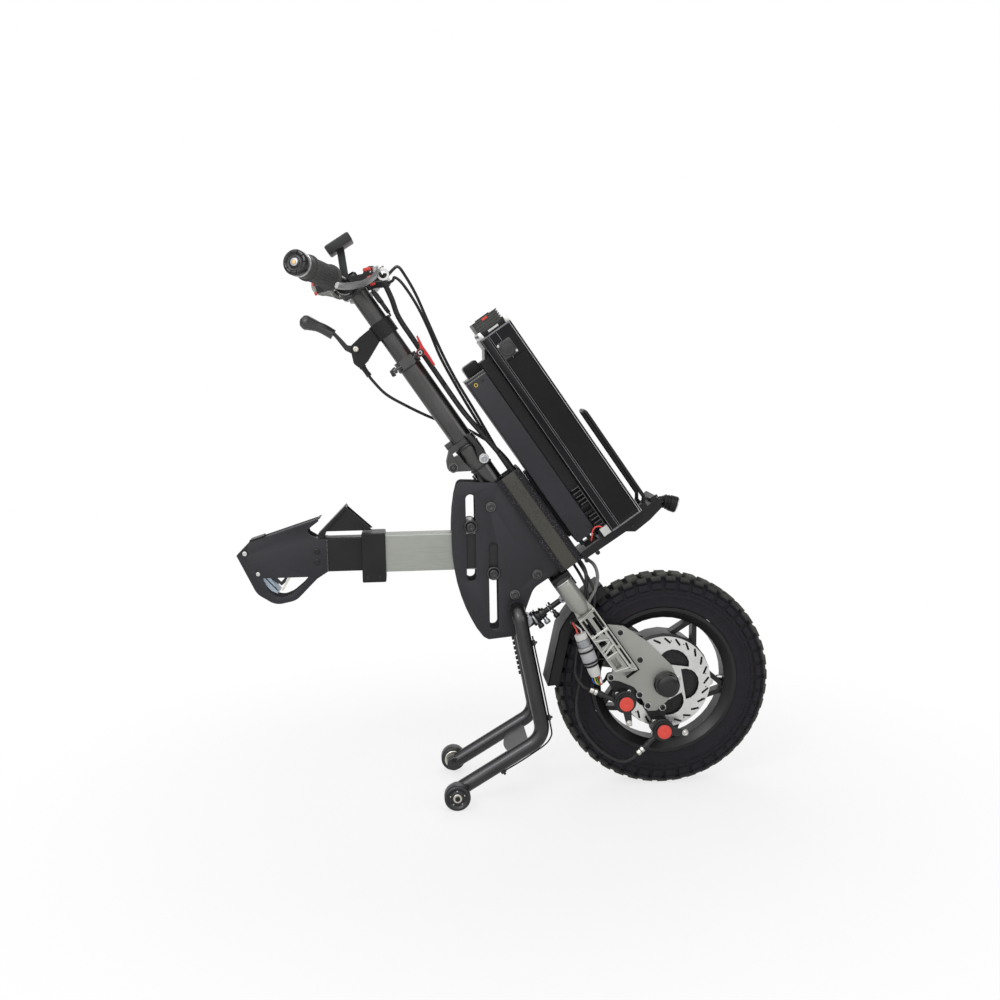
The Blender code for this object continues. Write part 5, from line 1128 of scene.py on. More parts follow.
class UNIT_OT_controller(bpy.types.Operator):
    """Builds the controller's folded case, its end box, status light and cooling comb"""

    bl_idname = "unit.controller"
    bl_label = "Controller"

    def execute(self, context):
        top, end, low, high, half = -0.162, 0.168, 0.058, 0.0965, 0.04
        case = slab("controller_case", rounded([
            (low, -half, 0.004), (high, -half, 0.003), (high, half, 0.003), (low, half, 0.004)], 5),
            top, end, endwise)
        foot = brick("controller_foot", (0.02, 0.0526, -0.0085), (0.158, low + 0.002, 0.0085), tilt)
        fused(case, foot)
        fitted(case, "controller", "frame", "controller", edge=0.0012, segments=2)
        cap = slab("controller_end", rounded([
            (top + 0.001, low + 0.009, 0), (top + 0.001, high - 0.002, 0),
            (top - 0.0215, high - 0.002, 0.004), (top - 0.0215, low + 0.009, 0.006)], 5), -0.03, 0.03, tilt)
        fitted(cap, "case", "frame", edge=0.0022, segments=3)
        # The two lips are pale: a painted highlight standing for the light on the case's rounded top end.
        for k, t in enumerate((top - 0.0006, top + 0.0046)):
            lip = slab(f"controller_lip_{k}", rounded([
                (low - 0.0006, -half - 0.0005, 0.004), (high + 0.0002, -half - 0.0005, 0.003),
                (high + 0.0002, half + 0.0005, 0.003), (low - 0.0006, half + 0.0005, 0.004)], 5),
                t, t + 0.0022, endwise)
            fitted(lip, "bright_lip", "frame", edge=0.0006, segments=2)
        face = -half
        ring = turned("status_ring", [(0, 0.0022), (0, 0.0034), (0.0008, 0.0032), (0.0008, 0.0022)],
                      tilt(-0.148, 0.0705, face + 0.0003), -ACROSS, 28, ring=True)
        fitted(ring, "yellow", "frame")
        light = turned("status_light", [(0, 0), (0, 0.0022), (0.0004, 0.0018), (0.0005, 0)],
                       tilt(-0.148, 0.0705, face + 0.0003), -ACROSS, 24)
        fitted(light, "glass", "frame")
        for k, (t, n) in enumerate(((-0.149, 0.084), (0.156, 0.064), (0.156, 0.0905))):
            for way in (-1, 1):
                head = screw(f"case_screw_{k}_{'near' if way < 0 else 'far'}",
                             tilt(t, n, way * (half - 0.0002)), ACROSS * way, 0.0026, 0.0012)
                fitted(head, "oxide", "frame", slot="plate_black")
        wedge = slab("rail_wedge", [
            (-0.188, 0.116), (-0.162, 0.0985), (-0.152, 0.0985), (-0.174, 0.116)], -0.035, 0.035, tilt)
        fitted(wedge, "case", "frame", edge=0.0004)
        self.comb()
        return {"FINISHED"}

    def comb(self):
        """Bright-edged fins in two groups at the lower end of the dock."""
        for way, name in SIDES:
            fins = []
            for start, count in ((0.0885, 5), (0.142, 5)):
                for k in range(count):
                    t = start + 0.0072 * k
                    fins.append(brick(
                        "fin", (t, 0.099, way * 0.0345), (t + 0.0016, 0.1142, way * 0.0432), tilt))
            rail = brick("fin_rail", (0.086, 0.1128, way * 0.035), (0.176, 0.1142, way * 0.0438), tilt)
            comb = joined(f"cooling_comb_{name}", fins + [rail])
            fitted(comb, "fin", "frame", edge=0.0003)
        plug = slab("dock_plug", oblong(0.17, 0.101, 0.185, 0.116, 0.001), -0.0465, -0.037, tilt)
        fitted(plug, "pale_plastic", "frame", slot="satin_black", edge=0.0007, segments=2)
        leads = (("red", "red_cap", 0.1035), ("black", "cable", 0.1075))
        for name, look, n in leads:
            lead = swept(f"dock_lead_{name}", flowing([
                tilt(0.1705, n + 0.003, -0.044), tilt(0.166, n + 0.001, -0.044),
                tilt(0.163, n - 0.006, -0.043), tilt(0.1665, n - 0.014, -0.0415),
                tilt(0.174, n - 0.02, -0.04), tilt(0.18, n - 0.024, -0.034)], 6), 0.0013, 8)
            fitted(lead, look, "frame", slot="cable_black")
        for k, n in enumerate((0.065, 0.08, 0.093)):
            gland = turned(f"dock_gland_{k}", [
                (0, 0), (0, 0.005), (0.004, 0.005), (0.0045, 0.004), (0.012, 0.0034), (0.012, 0)],
                tilt(0.1675, n, -0.022), DOWN, 24)
            fitted(gland, "oxide", "frame", slot="satin_black", edge=0.0003)


class UNIT_OT_wrap(bpy.types.Operator):
    """Sews the padded cover: an olive panel between woven edging bands"""

    bl_idname = "unit.wrap"
    bl_label = "Head Cover"

    start, end = 0.0055, 0.197
    low, front, out, corner = 0.006, 0.0522, 0.0332, 0.0085

    def execute(self, context):
        length = self.path_length()
        body = self.sheet("head_cover", 0.0, length, 0.0, 0.0044)
        worn(body, "leather", "frame", "head_wrap")
        side = self.front - self.low - self.corner
        turn = self.corner * math.pi / 2
        spans = (("rear_near", 0.0, 0.0088), ("front_near", side - 0.004, side + turn * 0.62),
                 ("front_far", length - side - turn * 0.62, length - side + 0.004),
                 ("rear_far", length - 0.0088, length))
        for name, s0, s1 in spans:
            band = self.sheet(f"edging_{name}", s0, s1, 0.0009, 0.0012)
            worn(band, "edging", "frame")
            for k, s in enumerate((s0 + 0.0009, s1 - 0.0009)):
                self.seam(f"edging_{name}_seam_{k}", s)
        return {"FINISHED"}

    def path_length(self):
        side = self.front - self.low - self.corner
        return 2 * side + math.pi * self.corner + 2 * (self.out - self.corner)

    def section(self, s):
        """Where the cover's outline is, s along it from the near rear edge, and its outward way."""
        side = self.front - self.low - self.corner
        turn = math.pi / 2 * self.corner
        if s > self.path_length() / 2:
            n, y, wn, wy = self.section(self.path_length() - s)
            return n, -y, wn, -wy
        if s < side:
            return self.low + s, -self.out, 0.0, -1.0
        if s < side + turn:
            a = (s - side) / self.corner
            return (self.front - self.corner + self.corner * math.sin(a),
                    -self.out + self.corner - self.corner * math.cos(a), math.sin(a), -math.cos(a))
        return self.front, -self.out + self.corner + (s - side - turn), 1.0, 0.0

    def swell(self, s, u):
        """How far the padding stands proud, s across and u along the cover, from 0 to 1."""
        side = self.front - self.low - self.corner
        share = min(s, self.path_length() - s)
        across = 0.0
        if 0.0088 < share < side - 0.004:
            across = math.sin(math.pi * (share - 0.0088) / (side - 0.0128)) ** 0.7
        return 0.001 * across * min(1.0, 14 * u, 14 * (1 - u))

    def point(self, s, u, lift):
        n, y, wn, wy = self.section(s)
        crown = 0.0016 * (max(math.sin(math.pi * min(max(u, 0.0), 1.0)), 0.0) ** 0.5 - 1)
        rise = crown + self.swell(s, u) + lift
        return tilt(self.start + (self.end - self.start) * u, n + wn * rise, y + wy * rise)

    def sheet(self, name, s0, s1, lift, thick):
        columns = max(int((s1 - s0) / 0.0011), 6)
        rows = 90
        mesh = bmesh.new()
        grid = [[mesh.verts.new(self.point(s0 + (s1 - s0) * i / columns, j / rows, lift))
                 for i in range(columns + 1)] for j in range(rows + 1)]
        for first, second in zip(grid, grid[1:]):
            for i in range(columns):
                mesh.faces.new((first[i], first[i + 1], second[i + 1], second[i]))
        data = bpy.data.meshes.new(name)
        mesh.to_mesh(data)
        mesh.free()
        obj = bpy.data.objects.new(name, data)
        bpy.context.collection.objects.link(obj)
        face = obj.data.polygons[columns * (rows // 2) + columns // 2]
        middle = tilt(0.1, 0.0, 0.0)
        if face.normal.dot(face.center - middle) < 0:
            alone(obj)
            bpy.ops.object.mode_set(mode="EDIT")
            bpy.ops.mesh.select_all(action="SELECT")
            bpy.ops.mesh.flip_normals()
            bpy.ops.object.mode_set(mode="OBJECT")
        modified(obj, "SOLIDIFY", thickness=thick, offset=-1)
        return softened(obj, 0, smooth=60)

    def seam(self, name, s):
        """A row of stitches along the edge of a band."""
        stitches = []
        count = 52
        for k in range(count):
            a, b = (k + 0.18) / count, (k + 0.82) / count
            points = [self.point(s, a, 0.0006), self.point(s, a * 0.8 + b * 0.2, 0.0013),
                      self.point(s, a * 0.2 + b * 0.8, 0.0013), self.point(s, b, 0.0006)]
            stitches.append(swept("stitch", points, 0.00026, 4))
        worn(joined(name, stitches), "thread", "frame")


class UNIT_OT_cables(bpy.types.Operator):
    """Lays the wire sleeve and the three brake cables along their routes, split at the joints"""

    bl_idname = "unit.cables"
    bl_label = "Cables"

    lanes = {"harness": (0.0392, -0.015), "near": (0.0352, 0.0122), "far": (0.0352, 0.0178),
             "hand": (0.0432, 0.015)}
    stops = {"upper": ((0.181, 0.164), (0.132, 0.188)), "lower": ((0.252, 0.105), (0.214, 0.07))}
    stop_y = 0.0625
    gap = 0.0003
    upper = (
        ("bars", "stem", -0.335, -0.255), ("stem", "fork", -0.11, -0.045), ("fork", "frame", -0.03, 0.03))
    lower = (("frame", "fork", 0.178, 0.236),)

    def execute(self, context):
        self.lay("harness", self.harness(), 0.009, "sleeve", self.upper, 0.005)
        self.lay("brake_cable_near", self.near(), 0.005, "cable_braid", self.upper + self.lower, 0.0024)
        self.lay("brake_cable_far", self.far(), 0.005, "cable_braid", self.upper + self.lower, 0.0024)
        self.lay("hand_cable", self.hand(), 0.005, "cable_braid", self.upper, 0.0024)
        return {"FINISHED"}

    def harness(self):
        n, y = self.lanes["harness"]
        face = -0.008 + 0.024 + self.gap
        return [
            tilt(-0.3985, face, -0.012), tilt(-0.399, face + 0.008, -0.012),
            tilt(-0.404, face + 0.018, -0.0118), tilt(-0.4, 0.043, -0.01), tilt(-0.382, 0.0455, -0.008),
            tilt(-0.346, 0.04, -0.005), tilt(-0.314, 0.0315, -0.002), tilt(-0.268, 0.03, 0.0),
            tilt(-0.201, 0.029, 0.0), tilt(-0.128, 0.0285, -0.004), tilt(-0.076, 0.033, -0.01),
            tilt(-0.038, 0.037, -0.0145), tilt(0.002, n, y), tilt(0.05, n, y), tilt(0.1, n, y),]

    def near(self):
        n, y = self.lanes["near"]
        x, z = PERCH
        return self.stopped([
            (x, -0.07, z - 0.006), (x + 0.008, -0.07, z - 0.006), (x + 0.019, -0.056, z + 0.006),
            (x + 0.026, -0.035, z + 0.012), tilt(-0.368, 0.08, -0.006), tilt(-0.33, 0.0775, 0.01),
            tilt(-0.28, 0.068, 0.022), tilt(-0.22, 0.0565, 0.025), tilt(-0.17, 0.05, 0.024),
            tilt(-0.11, 0.0455, 0.02), tilt(-0.05, 0.04, 0.015), tilt(0.0, 0.0362, y), tilt(0.06, n, y),
            tilt(0.14, n, y), tilt(0.19, n, y), tilt(0.205, 0.0325, 0.003), tilt(0.219, 0.031, -0.017),
            tilt(0.235, 0.028, -0.033), tilt(0.25, 0.0225, -0.039), tilt(0.264, 0.012, -0.0416),
            tilt(0.278, -0.002, -0.042), tilt(0.294, -0.02, -0.042), (0.117, -0.0425, 0.26),
            (0.112, -0.045, 0.23), (0.1108, -0.053, 0.21),], *self.stops["upper"])

    def far(self):
        n, y = self.lanes["far"]
        x, z = PERCH
        return self.stopped([
            (x, 0.07, z - 0.006), (x + 0.008, 0.07, z - 0.006), (x + 0.016, 0.06, z - 0.003),
            (x + 0.02, 0.045, z + 0.001), tilt(-0.356, 0.07, 0.034), tilt(-0.315, 0.069, 0.032),
            tilt(-0.27, 0.062, 0.031), tilt(-0.22, 0.051, 0.031), tilt(-0.17, 0.045, 0.03),
            tilt(-0.11, 0.04, 0.0265), tilt(-0.05, 0.0365, 0.0205), tilt(0.0, 0.0355, y), tilt(0.06, n, y),
            tilt(0.14, n, y), tilt(0.176, n, y), tilt(0.192, 0.0395, 0.0162), tilt(0.206, 0.0415, 0.006),
            tilt(0.222, 0.04, -0.018), tilt(0.242, 0.037, -0.0375), tilt(0.26, 0.03, -0.0418),
            tilt(0.28, 0.013, -0.042), tilt(0.294, -0.001, -0.042), tilt(0.31, -0.019, -0.042),
            (0.126, -0.043, 0.24), (0.12, -0.044, 0.2), (0.113, -0.048, 0.17), (0.112, -0.056, 0.142),
            (0.123, -0.063, 0.113), (0.144, -0.066, 0.086), (0.17, -0.065, 0.066), (0.19, -0.063, 0.058),],
            *self.stops["lower"])

    def hand(self):
        n, y = self.lanes["hand"]
        t, behind = -0.288 + 0.024 + self.gap, -0.0655
        return [
            tilt(t, behind, 0), tilt(t + 0.011, behind, 0), tilt(-0.221, -0.0605, 0.003),
            tilt(-0.187, -0.045, 0.012), tilt(-0.15, -0.025, 0.024), tilt(-0.12, -0.005, 0.031),
            tilt(-0.095, 0.015, 0.033), tilt(-0.06, 0.032, 0.0305), tilt(-0.035, 0.04, 0.0275),
            tilt(-0.012, 0.0435, 0.0205), tilt(0.008, 0.0434, 0.0155), tilt(0.06, n, y), tilt(0.12, n, y),]

    def stopped(self, points, start, end):
        """A cable's last two points, square to the adjuster that runs from start to end."""
        way = (Vector(end) - Vector(start)).normalized()
        seat, lead = Vector(end) + way * self.gap, Vector(end) + way * 0.011
        return points + [(lead.x, -self.stop_y, lead.y), (seat.x, -self.stop_y, seat.y)]

    def lay(self, name, points, diameter, look, crossings, pitch):
        """Cuts the route at points that lie wholly on one body, then sweeps each length."""
        route = flowing(points, 6)
        runs = distances(route)
        down = [(p - HEAD).dot(DOWN) for p in route]
        cuts = [0]
        for (_, _, _, end), (_, _, start, _) in zip(crossings, crossings[1:]):
            middle = (end + start) / 2
            cuts.append(next(i for i in range(cuts[-1] + 3, len(route)) if down[i] > middle))
        cuts.append(len(route) - 1)
        for k, (first, last) in enumerate(zip(cuts, cuts[1:])):
            a, b, start, end = crossings[k]
            piece = self.sleeve(f"{name}_{a}_{b}", route, runs, first, last, diameter / 2)
            piece.data.materials.append(FINISHES[look])
            tilt(start, 0, 0)
            tilt(end, 0, 0)
            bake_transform(piece)
            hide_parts(name)

    def sleeve(self, name, route, runs, first, last, radius, sides=12):
        """A tube that carries its own run and round, for a woven finish that follows it."""
        mesh = bmesh.new()
        run = mesh.loops.layers.float.new("run")
        around = mesh.loops.layers.float.new("round")
        way = (route[1] - route[0]).normalized()
        across = way.orthogonal().normalized()
        rings = []
        for i, point in enumerate(route):
            ahead = (route[min(i + 1, len(route) - 1)] - route[max(i - 1, 0)]).normalized()
            across = way.rotation_difference(ahead) @ across
            across = (across - ahead * across.dot(ahead)).normalized()
            way = ahead
            if first <= i <= last:
                beside = way.cross(across)
                turns = [2 * math.pi * k / sides for k in range(sides)]
                rings.append([mesh.verts.new(point + (across * math.cos(a) + beside * math.sin(a)) * radius)
                              for a in turns])
        for i, (one, two) in enumerate(zip(rings, rings[1:])):
            for k in range(sides):
                j = (k + 1) % sides
                face = mesh.faces.new((one[k], one[j], two[j], two[k]))
                face.smooth = True
                marks = ((i, k), (i, k + 1), (i + 1, k + 1), (i + 1, k))
                for loop, (r, c) in zip(face.loops, marks):
                    loop[run] = runs[first + r]
                    loop[around] = c / sides
        mesh.faces.new(reversed(rings[0]))
        mesh.faces.new(rings[-1])
        data = bpy.data.meshes.new(name)
        mesh.to_mesh(data)
        mesh.free()
        obj = bpy.data.objects.new(name, data)
        bpy.context.collection.objects.link(obj)
        return obj


class UNIT_OT_wheel(bpy.types.Operator):
    """Adds the drilled brake disc, hub covers, valve and axle caps"""

    bl_idname = "unit.wheel"
    bl_label = "Wheel and Disc"

    disc_face, disc_thick = -0.0375, 0.002

    def execute(self, context):
        self.disc()
        for way, name in SIDES:
            self.cap(way, name)
            self.cover(way, name)
        self.valve()
        return {"FINISHED"}

    def polar(self, a, b, c):
        """Degrees round the axle, distance from it, and Y."""
        angle = math.radians(a)
        return WHEEL + Vector((b * math.cos(angle), c, b * math.sin(angle)))

    def disc(self):
        y0, y1 = self.disc_face, self.disc_face + self.disc_thick
        disc = slab("brake_disc", [(2.5 * k, 0.08) for k in range(144)], y0, y1, self.polar)
        hole = slab("cut_middle", [(7.5 * k, 0.018) for k in range(48)], y0 - 0.01, y1 + 0.01, self.polar)
        cut(disc, hole)
        window = slab("cut_window", rounded([
            (37.6, 0.0354, 0), (31, 0.043, 0), (22.8, 0.0505, 0), (15, 0.055, 0), (6, 0.0585, 0),
            (-4, 0.06, 0), (-14, 0.0598, 0), (-24, 0.058, 0), (-33, 0.0545, 0), (-41.2, 0.049, 0)]),
            y0 - 0.01, y1 + 0.01, self.polar)
        cut(disc, repeated(window, 5, 2 * math.pi, WHEEL, ACROSS))
        way = math.radians(37)
        middle = WHEEL + Vector((0.0728, 0, 0))
        along, beside = Vector((math.sin(way), 0, math.cos(way))), Vector((math.cos(way), 0, -math.sin(way)))

        def on_slot(a, b, c):
            return middle + along * a + beside * b + ACROSS * c
        slot = slab(
            "cut_slot", oblong(-0.0074, -0.0018, 0.0074, 0.0018, 0.0017, 3), y0 - 0.01, y1 + 0.01, on_slot)
        cut(disc, repeated(slot, 25, 2 * math.pi, WHEEL, ACROSS))
        dot = slab("cut_dot", circle(-0.0094, 0.006, 0.0012, 10), y0 - 0.01, y1 + 0.01, on_slot)
        cut(disc, repeated(dot, 20, 2 * math.pi, WHEEL, ACROSS))
        fitted(disc, "disc", "wheel", "rotor", edge=0.0002)
        for k in range(6):
            head = screw(
                f"disc_bolt_{k}", self.polar(60 * k + 12, 0.0235, y0 - 0.0002), -ACROSS, 0.0044, 0.0028)
            fitted(head, "steel", "wheel")

    def cap(self, way, name):
        base = WHEEL + ACROSS * way * 0.0472
        cap = turned(f"axle_cap_{name}", [
            (0, 0), (0, 0.0218), (0.0018, 0.0222), (0.004, 0.0222), (0.005, 0.0212), (0.0056, 0.0206),
            (0.018, 0.02), (0.0212, 0.0186), (0.0232, 0.015), (0.0238, 0.008), (0.0239, 0)],
            base, ACROSS * way, 56)
        fitted(cap, "cap_gloss", "fork", smooth=30)

    def cover(self, way, name):
        face = 0.0281
        ring = turned(f"hub_cover_{name}", [
            (0, 0.03), (0, 0.075), (0.0014, 0.0742), (0.0022, 0.07), (0.0022, 0.056), (0.001, 0.0545),
            (0.001, 0.04), (0.0022, 0.0385), (0.0022, 0.031)], WHEEL + ACROSS * way * face, ACROSS * way,
            96, ring=True)
        fitted(ring, "rim", "wheel", smooth=30)
        for k in range(8):
            head = screw(f"hub_screw_{name}_{k}", self.polar(45 * k + 20, 0.0475, way * (face + 0.0008)),
                         ACROSS * way, 0.0034, 0.0018)
            fitted(head, "oxide", "wheel")

    def valve(self):
        nut = turned("valve_nut", [(0, 0), (0, 0.0056), (0.0012, 0.0056), (0.0017, 0.0048), (0.0017, 0)],
                     self.polar(-4, 0.0815, -0.0284), -ACROSS, 28)
        fitted(nut, "steel", "wheel", edge=0.0004, segments=2)
        out = (self.polar(-3, 1, 0) - WHEEL).normalized()
        stem = turned("valve", [
            (0, 0), (0, 0.0024), (0.007, 0.0024), (0.0072, 0.003), (0.014, 0.003), (0.015, 0.004),
            (0.019, 0.0042), (0.024, 0.005), (0.024, 0)], WHEEL + out * 0.0868, out, 28)
        fitted(stem, "steel", "wheel", smooth=30)


class UNIT_OT_fork(bpy.types.Operator):
    """Adds the raised rims and screws of the fork, its collars, the motor plug and the motor lead"""

    bl_idname = "unit.fork"
    bl_label = "Fork and Motor Lead"

    leg_y, leg_thick, leg_half = 0.0545, 0.015, 0.0172

    def execute(self, context):
        for way, name in SIDES:
            self.rims(way, name)
            self.screws(way, name)
            self.collars(way, name)
        self.connector()
        self.leads()
        return {"FINISHED"}

    def frame_of(self, outline, width):
        """An outline and the same one drawn in by a width."""
        middle = Vector((
            sum(a for a, _ in outline) / len(outline), sum(b for _, b in outline) / len(outline)))
        result = []
        count = len(outline)
        for i, point in enumerate(outline):
            here = Vector(point)
            before, after = Vector(outline[i - 1]), Vector(outline[(i + 1) % count])
            a, b = (here - before).normalized(), (after - here).normalized()
            na, nb = Vector((-a.y, a.x)), Vector((-b.y, b.x))
            if na.dot(middle - here) < 0:
                na, nb = -na, -nb
            bisect = (na + nb).normalized()
            result.append(tuple(here + bisect * (width / max(bisect.dot(na), 0.35))))
        return result

    def rims(self, way, name):
        face = way * (self.leg_y + self.leg_thick / 2)
        out = way * 0.0011
        half = self.leg_half
        panels = [
            [(0.276, -half), (0.27, half), (0.313, half), (0.313, -half)],
            [(0.313, -half), (0.313, half - 0.008), (0.342, half - 0.008), (0.35, -half)],
            [(0.35, -half), (0.342, half - 0.008), (0.393, half - 0.008), (0.384, -half)],
            [(0.313, half - 0.008), (0.313, half), (0.404, half), (0.396, half - 0.008)],
        ]
        bars = []
        for panel in panels:
            bar = slab("rim_bar", panel, face - way * 0.0004, face + out, tilt)
            hollow = slab("cut_bar", self.frame_of(panel, 0.0017), face - way * 0.01, face + way * 0.01, tilt)
            bars.append(cut(bar, hollow))
        webs = [[(0.3185, -0.0155), (0.33, 0.007), (0.3325, 0.007), (0.321, -0.0155)],
                [(0.333, 0.007), (0.342, -0.0155), (0.3445, -0.0155), (0.3355, 0.007)],
                [(0.356, -0.0155), (0.356, 0.006), (0.358, 0.006), (0.358, -0.0155)]]
        for web in webs:
            bars.append(slab("rim_web", web, face - way * 0.0004, face + way * 0.0006, tilt))
        rims = joined(f"leg_rims_{name}", bars)
        fitted(rims, "bright_rim", "fork", edge=0.0003)
        # Near-black pads in the leg's pockets: painted shade where the pockets would lie in shadow.
        pits = []
        for t0, t1, n0, n1 in (
                (0.279, 0.308, -0.014, -0.0095), (0.279, 0.308, -0.007, -0.0025),
                (0.276, 0.308, 0.0102, 0.0145), (0.3175, 0.348, 0.0115, 0.0148),
                (0.354, 0.388, 0.0115, 0.0148)):
            pits.append(slab(
                "pit", oblong(t0, n0, t1, n1, 0.0008, 2), face - way * 0.0004, face + way * 0.00025, tilt))
        worn(joined(f"leg_shade_pits_{name}", pits), "pit", "fork")
        # A near-black strip along the leg's front: painted shade in the gap there.
        line = slab(f"leg_gap_shade_{name}", [
            (0.296, half + 0.0001), (0.296, half + 0.0016), (0.4065, half + 0.0026),
            (0.4065, -half + 0.011), (0.405, -half + 0.011), (0.405, half + 0.0001)], face - way * 0.012,
            face - way * 0.0018, tilt)
        worn(line, "pit", "fork")

    def screws(self, way, name):
        face = way * 0.0467
        for k, (x, z, size) in enumerate((
                (0.189, 0.28, 0.0047), (0.223, 0.231, 0.005), (0.1725, 0.2025, 0.0042),
                (0.2225, 0.169, 0.0042))):
            foot = Vector((x, face - way * 0.0002, z))
            ring = turned(f"dropout_washer_{name}_{k}", [
                (0, size * 0.9), (0, size + 0.001), (0.0006, size + 0.0008), (0.0006, size * 0.9)], foot,
                ACROSS * way, 28, ring=True)
            fitted(ring, "steel", "fork")
            head = screw(f"dropout_screw_{name}_{k}", foot, ACROSS * way, size, 0.003, 0.5)
            fitted(head, "oxide", "fork", edge=0.0002)

    def collars(self, way, name):
        y = way * self.leg_y
        for k, (t, radius, long, look) in enumerate((
                (0.2036, 0.0172, 0.0018, "steel"), (0.206, 0.0166, 0.0014, "steel"),
                (0.269, 0.0166, 0.0016, "grey_barrel"))):
            ring = turned(f"leg_collar_{name}_{k}", [
                (0, 0.01), (0, radius - 0.0004), (0.0004, radius), (long - 0.0004, radius),
                (long, radius - 0.0004), (long, 0.01)], tilt(t, -0.001, y), DOWN, 48, ring=True)
            fitted(ring, look, "fork", slot="steel", smooth=30)

    def connector(self):
        """The motor plug: grey shell, silver band and pale ends, strapped to the near leg."""
        start, end = Vector((0.1165, -0.0665, 0.286)), Vector((0.143, -0.0665, 0.212))
        way = (end - start).normalized()
        length = (end - start).length
        parts = (
            ("motor_plug_cap", "pale_plastic", [(0, 0), (0, 0.0094), (0.001, 0.0104), (0.01, 0.0104),
                                                (0.0112, 0.0094), (0.0112, 0)]),
            ("motor_plug_band", "steel_dull", [(0.0115, 0), (0.0115, 0.0114), (0.023, 0.0114),
                                               (0.0238, 0.0106), (0.0238, 0)]),
            ("motor_plug_shell", "plug_grey", [(0.0242, 0), (0.0242, 0.0112), (0.0256, 0.0126),
                                               (0.033, 0.0126), (0.0338, 0.0122), (0.0352, 0.0122),
                                               (0.036, 0.0126), (0.0545, 0.0126), (0.056, 0.0118),
                                               (0.056, 0)]),
            ("motor_plug_ring", "oxide", [(0.0562, 0), (0.0562, 0.0108), (0.06, 0.0108), (0.06, 0)]),
            ("motor_plug_tail", "pale_plastic", [(0.0603, 0), (0.0603, 0.0104), (0.072, 0.01),
                                                 (length, 0.008), (length, 0)]),
        )
        for name, look, profile in parts:
            piece = turned(name, profile, start, way, 40)
            fitted(piece, look, "fork", slot="satin_black", edge=0.0003)
        for k, at in enumerate((0.03, 0.0505)):
            middle = start + way * at
            band = turned(f"plug_strap_{k}", [
                (0, 0.0126), (0, 0.0136), (0.003, 0.0136), (0.003, 0.0126)], middle, way, 40, ring=True)
            level = (HEAD.z - middle.z) / math.cos(HEAD_ANGLE) - 0.012
            foot = tilt(level, -0.0168, -0.06)
            tie = swept("tie", [middle + (foot - middle).normalized() * 0.0128, foot], 0.0014, 8)
            fitted(joined(f"plug_strap_{k}", [band, tie]), "cable", "fork")
        tail = end
        looks = ("blue", "yellow", "green", "red_cap", "pale_plastic")
        for k, look in enumerate(looks):
            spread = (k - 2) * 0.0026
            wire = swept(f"motor_wire_{k}", flowing([
                tail + Vector((spread, 0.0005 * k, 0.0015)),
                tail + way * 0.006 + Vector((spread * 1.5, 0, 0)),
                Vector((0.1475 + spread * 1.2, -0.064, 0.1985)),
                Vector((0.153 + spread * 0.3, -0.058, 0.1935)),
                Vector((0.159, -0.0515 + spread * 0.1, 0.1965))], 6), 0.0011, 8)
            fitted(wire, look, "fork", slot="cable_black")
        for k in range(3):
            lead = (k - 1) * 0.0032
            wire = swept(f"plug_lead_{k}", flowing([
                start + Vector((lead, 0, -0.002)), start + Vector((lead * 1.2 - 0.002, 0.001, 0.006)),
                Vector((0.1095 + lead * 0.5, -0.059, 0.2975)), Vector((0.106, -0.05 + lead * 0.2, 0.301))],
                6), 0.0013, 8)
            fitted(wire, ("red_cap", "cable", "pale_plastic")[k], "fork", slot="cable_black")
        sheath = swept("motor_sheath", flowing([
            (0.158, -0.052, 0.196), (0.1625, -0.048, 0.199), (0.1655, -0.0448, 0.203),
            (0.17, -0.0438, 0.208)], 8), 0.0026, 14)
        fitted(sheath, "cable", "fork")

    def leads(self):
        """The braided lead and the metal hose between the cover and the fork."""
        lay = UNIT_OT_cables
        braid_route = [
            tilt(0.17, 0.04, -0.005), tilt(0.19, 0.0405, -0.0055), tilt(0.206, 0.044, -0.01),
            tilt(0.224, 0.04, -0.022), tilt(0.244, 0.025, -0.031), tilt(0.262, 0.006, -0.0352),
            tilt(0.276, -0.012, -0.0356), Vector((0.1095, -0.0372, 0.301)), Vector((0.105, -0.045, 0.3015)),
            Vector((0.1062, -0.051, 0.301))]
        hose_route = [
            tilt(0.17, 0.044, 0.002), tilt(0.192, 0.0465, 0.001), tilt(0.208, 0.056, -0.006),
            tilt(0.222, 0.06, -0.018), tilt(0.238, 0.053, -0.032), tilt(0.252, 0.036, -0.0408),
            tilt(0.26, 0.02, -0.042), tilt(0.264, 0.011, -0.0455)]
        for name, points, radius, look in (
                ("motor_lead", braid_route, 0.0034, "braided_lead"),
                ("crown_hose", hose_route, 0.003, "braided_steel")):
            route = flowing(points, 8)
            piece = lay.sleeve(lay, name, route, distances(route), 0, len(route) - 1, radius)
            piece.data.materials.append(FINISHES[look])
            tilt(0.178, 0, 0)
            tilt(0.236, 0, 0)
            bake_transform(piece)


